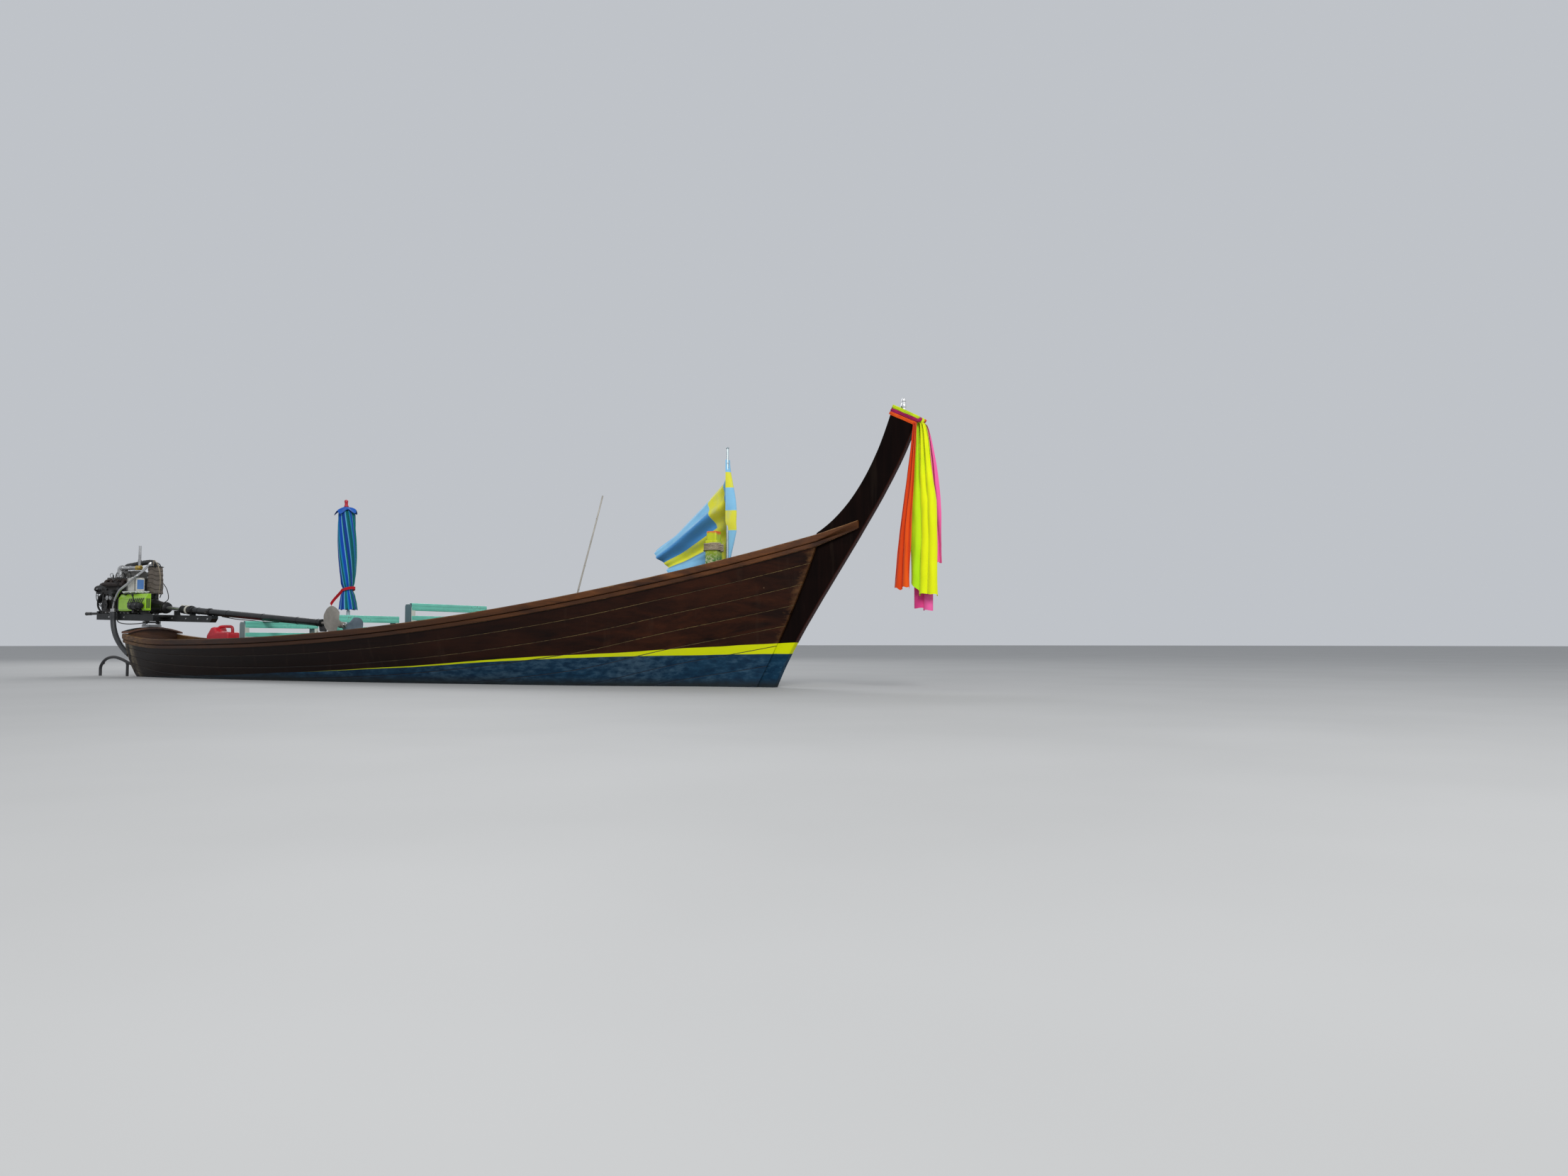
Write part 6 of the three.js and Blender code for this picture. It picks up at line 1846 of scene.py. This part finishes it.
def exhaust():
    y = -0.092
    ex, ez, er = -5.496, 1.374, 0.041
    leg_end = -5.121
    foot = lean_z(ex - er, 1.235) + 0.0005
    shape = Shape()
    bend = [(ex, y, foot), (ex, y, foot + 0.035), (ex, y, ez - 0.035), (ex + 0.008, y, ez - 0.012),
            (ex + 0.03, y, ez), (ex + 0.06, y, ez - 0.001)]
    shape.add(pipe(bend, lambda t: 0.04 if t < 0.6 else lerp(0.04, 0.03, (t - 0.6) / 0.4), 24, 8))
    shape.add(turned([(0.046, 0), (0.048, 0.003), (0.048, 0.012), (0.044, 0.014)], 28, (ex, y, foot),
                     (ex, y, 3), 0.5))
    shape.add(pipe([(ex + 0.05, y, ez - 0.002), (leg_end, y, ez - 0.012)], 0.0235, 20, 6))
    for x in (ex + 0.07, ex + 0.2, leg_end - 0.02):
        z = ez - 0.012 * (x - ex) / (leg_end - ex)
        shape.add(can((x, y, z), (x + 0.014, y, z), 0.0275, 0.002, 24))
    shape.add(pipe([(leg_end + 0.06, y, ez - 0.012), (leg_end + 0.06, y, 1.5), (leg_end + 0.062, y, 1.64)],
                   0.0165, 18, 6))
    shape.add(can((leg_end + 0.06, y, 1.44), (leg_end + 0.06, y, 1.47), 0.02, 0.002, 18))
    shape.fit("exhaust_pipe", bright, "bright_steel", ["exhaust"])
    joint = Shape()
    joint.add(turned([(0.028, 0), (0.033, 0.004), (0.033, 0.03), (0.029, 0.036), (0.029, 0.05),
                      (0.032, 0.054), (0.032, 0.086), (0.028, 0.09)], 6, (leg_end - 0.002, y, ez - 0.012),
                     (leg_end + 1, y, ez - 0.012), 0.5))
    joint.add(can((leg_end + 0.088, y, ez - 0.0125), (leg_end + 0.098, y, ez - 0.0126), 0.02, 0.002, 20))
    joint.fit("exhaust_fitting", brass, "bright_steel")


CANISTER = (-4.915, 0.034)


def intake():
    """A pipe over the head to a canister wrapped in cloth tape, with a hook at its side."""
    cx, cy = CANISTER
    low, high, radius = 1.03, 1.372, 0.095
    pipe_shape = Shape()
    line = [(-5.592, 0.02, lean_z(-5.592, 1.325) + 0.0012), (-5.59, 0.02, 1.362), (-5.572, 0.02, 1.392),
            (-5.52, 0.022, 1.408), (-5.4, 0.024, 1.417), (-5.25, 0.027, 1.43), (-5.12, 0.03, 1.439),
            (-5.02, 0.032, 1.439), (-4.95, cy, 1.42), (-4.917, cy, 1.385), (cx, cy, 1.34)]
    pipe_shape.add(pipe(line, 0.0295, 18, 6))
    smoothed = smooth_line(line, 6)
    for k in range(26):
        n = int((0.16 + 0.62 * (k / 25)) * (len(smoothed) - 1))
        p, q = smoothed[n], smoothed[n + 1]
        pipe_shape.add(can(p, p + (q - p).normalized() * 0.006, 0.0315, 0.0015, 18))
    pipe_shape.fit("intake_pipe", black_plastic, "black_plastic")

    rings, marks = [], []
    around, rows = 64, 96
    for j in range(rows + 1):
        z = lerp(low, high, j / rows)
        ring = []
        for i, (_, c, s) in enumerate(circle(around)):
            uneven = 0.5 * rough(c, s, z * 5, 1.3)
            lap = ((z - low) / 0.058 + i / around + uneven) % 1.0
            r = radius * (0.87 + 0.06 * (1 - lap) ** 0.6) + 0.0035 * rough(c, s, z * 14, 2.5)
            r += 0.013 * rough(c, s, z * 5, 1.1)
            end = min(1.0, (z - low) / 0.02 + 0.86, (high - z) / 0.02 + 0.8)
            ring.append((cx + r * end * c, cy + r * end * s, z))
            marks.append(1.0 if lap < 0.12 else 0.0)
        rings.append(ring)
    wrap = Shape().add(loft(rings, wear=marks))
    look = Look("wrapping_tape")
    fine = look.noise(170, (1, 1, 1), 4, 0.7)
    patch = look.noise(11, (1, 1, 0.6), 5, 0.65, 0.5)
    body = look.blend((0.075, 0.06, 0.047), (0.17, 0.14, 0.115), patch, 0.3, 0.7)
    body = look.mix(look.times(look.attribute("wear"), 0.6), body, (0.014, 0.012, 0.01))
    body = look.blend(body, (0.22, 0.19, 0.16), fine, 0.5, 0.75, 0, 0.4)
    tape = look.done(body, look.range(fine, 0.3, 0.7, 0.65, 0.85), (fine, 0.35, 0.001), (patch, 0.3, 0.004))
    wrap.fit("wrapped_canister", tape, "dark_plastic", ["intake"], angle=40)

    lid = Shape()
    lid.add(turned([(0.07, 0), (0.088, 0.002), (0.09, 0.008), (0.084, 0.014), (0.045, 0.018), (0.034, 0.03),
                    (0.034, 0.036)], 32,
                   (cx, cy, high - 0.004), (cx, cy, 3), 0.4))
    foot_z = shaft(cx).z + 0.107
    lid.add(can((cx, cy, foot_z), (cx, cy, low + 0.004), 0.018, 0.002, 18))
    lid.add(pipe([(cx + 0.07, cy - 0.05, 1.36), (cx + 0.085, cy - 0.06, 1.4), (cx + 0.1, cy - 0.045, 1.42),
                  (cx + 0.112, cy - 0.02, 1.405), (cx + 0.11, cy - 0.005, 1.38)], 0.006, 10, 6))
    lid.fit("canister_fittings", black_steel, "black_steel")


def bell_housing():
    """Flywheel housing and gearbox, ribbed, down to the shaft's flange."""
    aft, fore = ENGINE_FORE + 0.0005, -4.6005
    shape = Shape()

    def on_axis(points, sides=32, wear=0.3):
        return turned([(r, x) for x, r in points], sides, shaft(aft), shaft(aft + 1), wear)

    length = (shaft(fore) - shaft(aft)).length
    shape.add(on_axis([(0.006, 0.138), (0.01, 0.14), (0.024, 0.14), (0.03, 0.124), (0.06, 0.12), (0.2, 0.102),
                       (0.215, 0.098), (0.23, 0.098), (0.24, 0.088), (0.36, 0.075), (length - 0.03, 0.064),
                       (length - 0.024, 0.073), (length - 0.004, 0.073), (length - 0.001, 0.07)]))
    axis = (shaft(fore) - shaft(aft)).normalized()
    for _, c, s in circle(12):
        out = Vector((0, c, s))
        out = (out - axis * out.dot(axis)).normalized()
        side = axis.cross(out)
        p, q = shaft(aft) + axis * 0.03, shaft(aft) + axis * 0.195
        r0, r1 = 0.126, 0.104
        corners = [p + out * 0.1 - side * 0.003, p + out * 0.1 + side * 0.003, p + out * r0 + side * 0.003,
                   p + out * r0 - side * 0.003, q + out * 0.09 - side * 0.003, q + out * 0.09 + side * 0.003,
                   q + out * r1 + side * 0.003, q + out * r1 - side * 0.003]
        shape.add(worn_solid(corners, BOX_FACES, 0.001, 0.003, 1))
    shape.fit("bell_housing", alloy_dark, "engine_metal", ["gearbox"])
    bolts = Shape()
    for k, (_, c, s) in enumerate(circle(12, 0.5)):
        out = Vector((0, c, s))
        p = shaft(aft) + axis * 0.0235 + out * 0.13
        bolts.add(bolt(p, p + axis, 0.0065, 0.006))
        if k % 2:
            p = shaft(aft) + axis * 0.2305 + out * 0.091
            bolts.add(bolt(p, p + axis, 0.006, 0.005))
    for _, c, s in circle(8, 0.5):
        p = shaft(fore) - axis * 0.023 + Vector((0, c, s)) * 0.066
        bolts.add(bolt(p, p - axis, 0.0055, 0.006))
    bolts.fit("housing_bolts", bright, "bright_steel")


def cooling_tube():
    path = [(-4.915, -0.03, 1.373), (-4.915, -0.03, 1.394), (-4.906, -0.044, 1.417), (-4.852, -0.098, 1.384),
            (-4.809, -0.2, 1.297), (-4.796, -0.282, 1.234), (-4.949, -0.292, 1.151), (-5.137, -0.29, 1.07),
            (-5.24, -0.284, 0.97), (-5.312, -0.26, 0.912), (-5.374, -0.235, 0.868), (-5.38, -0.232, 0.836)]
    shape = Shape().add(pipe(path, 0.0148, 18, 7))
    x, y, z = -5.38, -0.232, 0.806
    shape.add(turned([(0.033, 0), (0.036, 0.003), (0.036, 0.014), (0.033, 0.017), (0.033, 0.024),
                      (0.036, 0.027), (0.036, 0.038), (0.03, 0.042)], 28, (x, y, z + 0.0005), (x, y, 3), 0.4))
    for dz in (0.0085, 0.0325):
        shape.add(block(x + 0.034, x + 0.05, y - 0.008, y + 0.008, z + dz - 0.006, z + dz + 0.006, 0.002,
                        0.003))
        shape.add(can((x + 0.044, y - 0.014, z + dz), (x + 0.044, y + 0.014, z + dz), 0.0035, 0.001, 10))
    shape.fit("cooling_pipe", bright, "bright_steel", ["cooling_tube"])


def tiller():
    z = 0.8
    shape = Shape()
    a, b = -5.8565, -6.166
    shape.add(turned([(0.033, 0), (0.034, 0.002), (0.031, 0.14), (0.031, 0.28), (0.03, 0.308)], 28, (a, 0, z),
                     (b, 0, z), 0.2))
    shape.add(turned([(0.04, 0), (0.042, 0.003), (0.042, 0.016), (0.036, 0.02)], 28, (a, 0, z), (b, 0, z),
                     0.5))
    for x in (-5.95, -6.1, -6.155):
        shape.add(can((x, 0, z), (x - 0.018, 0, z), 0.0335, 0.003, 28))
    shape.add(can((-6.161, 0, z), (-6.36, 0, z), 0.0165, 0.002, 20))
    shape.fit("tiller_bar", black_steel, "black_steel", ["tiller"])
    grip = Shape()
    profile = [(0.0165, 0)]
    for k in range(12):
        x = 0.004 + k * 0.0098
        profile += [(0.0205, x), (0.0205, x + 0.0062), (0.0185, x + 0.0072), (0.0185, x + 0.0088)]
    profile += [(0.0225, 0.122), (0.0225, 0.128), (0.016, 0.131)]
    grip.add(turned(profile, 24, (-6.352, 0, z), (-7, 0, z), 0.2))
    grip.fit("tiller_grip", wire_black, "black_rubber")


def shaft_tube():
    """A slim driven stretch, a flanged bearing, the long tube with its stays, and the skeg."""
    aft, fore, start = -4.151, -1.546, -4.6
    shape = Shape()

    def on_shaft(profile, x, wear):
        return turned(profile, 32, shaft(x), shaft(fore), wear)

    shape.add(on_shaft([(0.039, 0), (0.039, 0.9), (0.039, 1.8), (0.039, 2.6)], aft, 0.0))
    for x in (-3.9, -3.3, -2.62, -1.98, -1.62):
        shape.add(on_shaft([(0.039, 0), (0.0425, 0.004), (0.0425, 0.01), (0.039, 0.014)], x, 0.6))
    shape.add(turned([(0.0395, 0), (0.043, 0.004), (0.043, 0.03), (0.03, 0.034)], 32, shaft(fore - 0.0335),
                     shaft(fore + 0.3), 0.6))
    low = 0.541
    shape.add(prism([(-1.599, shaft(-1.599).z - 0.005), (-1.585, low + 0.012), (-1.575, low), (-1.476, low),
                     (-1.47, low + 0.008), (-1.47, shaft(-1.47).z - 0.026), (-1.556, shaft(-1.556).z - 0.03)],
                    -0.006, 0.006, "Y", 0.002, 0.006))
    shape.fit("shaft_long_tube", tube_steel, "black_steel", ["shaft_tube"])

    shine = Shape()
    shine.add(turned([(0.0215, 0), (0.022, 0.003), (0.022, 0.46)], 28, shaft(start + 0.02), shaft(aft + 0.1)))
    shine.fit("drive_shaft", bright, "bright_steel")

    housing = Shape()
    housing.add(on_shaft([(0.064, 0), (0.066, 0.003), (0.066, 0.022), (0.05, 0.03), (0.03, 0.036)],
                         start + 0.0003, 0.5))
    housing.add(on_shaft([(0.03, 0), (0.044, 0.006), (0.048, 0.014), (0.048, 0.16), (0.045, 0.176),
                          (0.04, 0.18)], aft - 0.11, 0.4))
    housing.add(on_shaft([(0.05, 0), (0.056, 0.003), (0.056, 0.02), (0.048, 0.024)], aft + 0.08, 0.5))
    housing.add(on_shaft([(0.04, 0), (0.052, 0.003), (0.052, 0.012), (0.04, 0.016)], aft - 0.05, 0.5))
    housing.fit("bearing_housing", black_steel, "black_steel")
    light = Shape()
    light.add(on_shaft([(0.044, 0), (0.0545, 0.002), (0.0545, 0.028), (0.044, 0.03)], -4.133, 0.5))
    for k in range(3):
        x = -4.235 + 0.055 * k
        p = shaft(x, -0.012, 0.047)
        light.add(bolt(p, p + Vector((0, -0.2, 1)), 0.009, 0.008))
    light.fit("bearing_flange", cream, "bright_steel")
    clamps = Shape()
    for x in (-3.666, -4.02):
        clamps.add(on_shaft([(0.0395, 0), (0.046, 0.002), (0.046, 0.038), (0.0395, 0.04)], x - 0.02, 0.5))
        for side in (-1, 1):
            p = shaft(x, side * 0.05, -0.002)
            clamps.add(block(x - 0.016, x + 0.016, *sorted((side * 0.038, side * 0.064)), p.z - 0.014,
                             p.z - 0.002, 0.002, 0.005))
            clamps.add(block(x - 0.016, x + 0.016, *sorted((side * 0.038, side * 0.064)), p.z + 0.003,
                             p.z + 0.014, 0.002, 0.005))
            q = Vector((x, side * 0.056, p.z + 0.014))
            clamps.add(bolt(q, q + Vector((0, 0, 1)), 0.006, 0.006))
    clamps.fit("tube_clamps", black_steel, "black_steel")
    stay = Shape()
    a, b = shaft(-3.42, 0, -0.04), shaft(-2.32, 0, -0.04)
    middle = (a + b) / 2 + Vector((0, 0, -0.012))
    stay.add(pipe([a, a.lerp(middle, 0.5) + Vector((0, 0, -0.007)), middle,
                   middle.lerp(b, 0.5) + Vector((0, 0, -0.007)), b], 0.005, 10, 8))
    stay.fit("tube_stay", black_steel, "black_steel")


def propeller():
    """Two broad twisted blades on a tapered hub, with a nut."""
    axis = (shaft(1) - shaft(0)).normalized()
    hub = -1.204
    shape = Shape()
    shape.add(turned([(0.0148, 0), (0.0148, 0.31)], 20, shaft(-1.5455), shaft(0)))
    shape.add(turned([(0.026, 0), (0.034, 0.004), (0.036, 0.012), (0.035, 0.04), (0.03, 0.076),
                      (0.024, 0.081)], 32,
                     shaft(hub - 0.042), shaft(0), 0.4))
    for turn in (0, 180):
        radial = Matrix.Rotation(math.radians(turn - 24), 4, axis) @ Vector((0, -1, 0))
        side = axis.cross(radial)
        rings, marks = [], []
        for i in range(25):
            t = i / 24
            r = lerp(0.024, 0.2565, t)
            u = (r - 0.141) / 0.1165 if r > 0.141 else (r - 0.141) / 0.135
            wide = 0.156 * math.sqrt(max(0.0, 1 - min(1, abs(u)) ** 2.1)) if r > 0.06 else 0
            wide = max(wide, lerp(0.03, 0.05, smooth((r - 0.02) / 0.05)) if r < 0.075 else 0.006)
            pitch = math.radians(lerp(22, 16, t))
            chord = axis * math.sin(pitch) + side * math.cos(pitch)
            face = chord.cross(radial)
            thick = 0.0045 * (1 - 0.55 * t)
            p = shaft(hub) + radial * r
            ring = []
            for c in (-1, -0.8, -0.4, 0, 0.4, 0.8, 1):
                ring.append(p + chord * wide * c + face * (thick * (1 - c**4) + 0.006 * (1 - c * c) * 0.5))
                marks.append(1.0 if abs(c) > 0.9 or t > 0.94 else 0.0)
            for c in (0.8, 0.4, 0, -0.4, -0.8):
                ring.append(p + chord * wide * c + face * (-thick * (1 - c**4) + 0.006 * (1 - c * c) * 0.5))
                marks.append(0.0)
            rings.append(ring)
        shape.add(loft(rings, wear=marks), tone=0.0, slot=0 if turn == 0 else 1)
    # Both blades are one metal in lit and shaded copies: the second is bluish grey, painted shade with a
    # painted reflection of the sky
    one = metal("blade_painted_sunlit", (0.23, 0.21, 0.185), (0.38, 0.35, 0.31), (0.22, 0.2, 0.17), 0.3, 0.55, 0.4)
    two = metal("blade_painted_shade", (0.2, 0.24, 0.3), (0.4, 0.42, 0.45), (0.2, 0.22, 0.24), 0.3, 0.5, 0.4)
    shape.piece("propeller_blades", "propeller", [one, two], ["propeller"], "propeller_metal", turned=True,
                angle=40)
    nut = Shape()
    nut.add(turned([(0.016, 0), (0.019, 0.003), (0.0175, 0.024), (0.015, 0.027)], 6, shaft(hub + 0.0395),
                   shaft(0), 0.6))
    nut.add(can(shaft(hub + 0.036), shaft(hub + 0.0405), 0.021, 0.001, 20))
    nut.piece("propeller_nut", "propeller", bright, slot="propeller_metal", turned=True)


def wires():
    """The cables that hang about the engine."""
    pale = Shape()
    pale.add(pipe([(-4.86, -0.03, 1.38), (-4.82, -0.05, 1.45), (-4.74, -0.06, 1.42), (-4.68, -0.05, 1.3),
                   (-4.7, -0.03, 1.15), (-4.78, 0.0, 1.02), (-4.82, 0.02, 0.972)], 0.0028, 8, 8))
    pale.fit("pale_cable", plastic("pale_cable_skin", (0.5, 0.42, 0.28), (0.36, 0.28, 0.18), 0.45),
             "dark_plastic")
    dark = Shape()
    dark.add(pipe([(-5.05, 0.226, 0.93), (-5.0, 0.25, 0.98), (-5.02, 0.24, 1.1), (-5.08, 0.2, 1.2),
                   (-5.2, 0.16, 1.245)], 0.005, 8, 8))
    dark.add(pipe([(-5.58, 0.245, 1.12), (-5.5, 0.27, 1.17), (-5.3, 0.27, 1.2), (-5.12, 0.24, 1.17),
                   (-5.02, 0.18, 1.08), (-4.98, 0.13, 0.99)], 0.006, 8, 8))
    dark.add(pipe([(-5.36, -0.27, 1.03), (-5.3, -0.29, 0.99), (-5.26, -0.28, 0.9), (-5.3, -0.24, 0.82),
                   (-5.33, -0.2, 0.79)],
                  0.006, 8, 8))
    # A thin cable that sags under the frame
    dark.add(pipe([(-5.36, -0.2, 0.742), (-5.3, -0.212, 0.68), (-5.15, -0.22, 0.655), (-4.95, -0.215, 0.65),
                   (-4.72, -0.2, 0.665), (-4.55, -0.13, 0.735)], 0.006, 8, 8))
    dark.fit("dark_cables", wire_black, "black_rubber")


def aft_units():
    """The dark clutter over the fan: an air box, its clips, hoses and a throttle bracket."""
    box = Shape()
    outline = [(-5.762, 1.19), (-5.85, 1.185), (-5.92, 1.13), (-5.955, 1.075), (-5.95, 1.05), (-5.9, 1.045),
               (-5.762, 1.1)]
    box.add(prism(outline, -0.16, 0.08, "Y", 0.008, 0.014, 3))
    for y in (-0.12, -0.04, 0.04):
        box.add(block(-5.93, -5.78, y - 0.006, y + 0.006, 1.13, 1.14, 0.002, 0.004))
        box.add(pipe([(-5.775, y, 1.19), (-5.86, y, 1.187), (-5.928, y, 1.132), (-5.962, y, 1.076)], 0.006, 8,
                     5))
    box.fit("air_box", black_plastic, "black_plastic")
    parts = Shape()
    parts.add(pipe([(-5.88, -0.17, 1.08), (-5.85, -0.22, 1.1), (-5.75, -0.25, 1.13), (-5.62, -0.255, 1.13),
                    (-5.5, -0.25, 1.09)],
                   0.014, 12, 7))
    parts.add(pipe([(-5.8, 0.05, 1.17), (-5.76, 0.09, 1.24), (-5.68, 0.1, 1.28), (-5.55, 0.09, 1.29),
                    (-5.44, 0.05, 1.34)],
                   0.011, 12, 7))
    parts.add(pipe([(-5.72, -0.2, 0.8), (-5.73, -0.24, 0.88), (-5.7, -0.25, 0.98), (-5.62, -0.24, 1.05)],
                   0.012, 12, 7))
    parts.add(prism([(-5.7, 0.84), (-5.58, 0.84), (-5.56, 0.9), (-5.6, 0.99), (-5.66, 1.0), (-5.7, 0.93)],
                    -0.215, -0.205, "Y", 0.002, 0.005))
    for x, z in ((-5.66, 0.87), (-5.6, 0.9), (-5.64, 0.97)):
        parts.add(bolt((x, -0.2145, z), (x, -1, z), 0.008, 0.007))
    parts.fit("throttle_bracket", black_steel, "black_steel")
    # Two bright rollers and a gear unit that stands before the cover's fore end
    rollers = Shape()
    for x in (-5.475, -5.395):
        rollers.add(can((x, -0.205, 0.985), (x, -0.27, 0.985), 0.028, 0.004, 24))
        rollers.add(can((x, -0.27, 0.985), (x, -0.278, 0.985), 0.012, 0.002, 16))
    rollers.fit("belt_rollers", bright, "bright_steel")
    gear = Shape()
    y, z = -0.305, 0.87
    gear.add(turned([(0.03, 0), (0.042, 0.004), (0.046, 0.012), (0.046, 0.05), (0.05, 0.054), (0.05, 0.066),
                     (0.042, 0.07), (0.04, 0.14), (0.047, 0.146), (0.047, 0.165), (0.036, 0.172),
                     (0.03, 0.215), (0.036, 0.22), (0.036, 0.238), (0.02, 0.244)], 28, (-4.86, y, z),
                    (-4, y, z), 0.4))
    for _, c, s in circle(6):
        p = Vector((-4.7935, y + 0.0435 * c, z + 0.0435 * s))
        gear.add(bolt(p, p + Vector((1, 0, 0)), 0.005, 0.006))
    gear.add(block(-4.84, -4.79, -0.3, -0.24, z - 0.085, z - 0.03, 0.006, 0.01))
    gear.add(block(-4.72, -4.68, -0.3, -0.14, z - 0.06, z - 0.02, 0.006, 0.01))
    gear.add(pipe([(-4.76, y, z + 0.03), (-4.765, y - 0.012, z + 0.08), (-4.79, y - 0.012, z + 0.125)], 0.007,
                  10, 6))
    gear.add(turned([(0.006, 0), (0.013, 0.006), (0.014, 0.016), (0.006, 0.024)], 16,
                    (-4.79, y - 0.012, z + 0.12), (-4.8, y - 0.012, z + 0.2)))
    gear.fit("gear_unit", black_steel, "black_steel")


engine_block()
manifolds()
side_units()
cooling_fan()
side_cover()
header_tank()
exhaust()
intake()
bell_housing()
cooling_tube()
tiller()
shaft_tube()
propeller()
wires()
aft_units()


# Floor and light
def waterline():
    """The hull's outline at the floor, in the middle of its planks, from the stern to the bow."""
    line = []
    for i in range(STATIONS + 1):
        high, low = 0.0, 1.0
        if hull_point(i, low, PLANK / 2).z > 0:
            break
        for _ in range(24):
            middle = (high + low) / 2
            if hull_point(i, middle, PLANK / 2).z > 0:
                high = middle
            else:
                low = middle
        p = hull_point(i, low, PLANK / 2)
        line.append((p.x, p.y))
    line[0] = (line[0][0] + 0.015, line[0][1])
    return line


FLOOR_REACHES = (3, 20, 120)
SKY, SKY_POWER = (0.9, 0.94, 1.0, 1), 0.58
LIGHTS = (("key", (13, -12, 11), (2.2, 0, 0.9), 6, 1900), ("rim", (-9, 9, 9), (-3, 0, 0.8), 8, 700))


def stage():
    """The floor, open inside the hull, with the sky and two soft lights."""
    side = waterline()
    inner = [Vector((x, -y, 0)) for x, y in side] + [Vector((x, y, 0)) for x, y in side[::-1]]
    points, faces = list(inner), []
    count = len(inner)
    for reach in FLOOR_REACHES:
        points += [p + (p + Vector((0, math.copysign(0.4, p.y), 0))).normalized() * reach for p in inner]
    for first in range(0, len(FLOOR_REACHES) * count, count):
        for i in range(count):
            j = (i + 1) % count
            faces.append((first + i, first + count + i, first + count + j, first + j))
    mesh = bpy.data.meshes.new("floor")
    mesh.from_pydata(points, [], faces)
    floor = bpy.data.objects.new("floor", mesh)
    bpy.context.scene.collection.objects.link(floor)
    look = Look("floor_paint")
    patch = look.noise(0.6, (1, 1, 1), 3, 0.5)
    body = look.blend((0.4, 0.4, 0.395), (0.43, 0.43, 0.425), patch, 0.3, 0.7)
    floor.data.materials.append(look.done(body, 0.75))
    world = bpy.data.worlds.new("studio")
    world.use_nodes = True
    back = world.node_tree.nodes["Background"]
    back.inputs[0].default_value = SKY
    back.inputs[1].default_value = SKY_POWER
    bpy.context.scene.world = world
    bpy.context.scene.view_settings.view_transform = "Standard"
    for name, place, aim_at, size, power in LIGHTS:
        data = bpy.data.lights.new(name, "AREA")
        data.size = size
        data.energy = power
        lamp = bpy.data.objects.new(name, data)
        lamp.location = place
        lamp.rotation_euler = (Vector(aim_at) - Vector(place)).to_track_quat("-Z", "Y").to_euler()
        bpy.context.scene.collection.objects.link(lamp)


stage()
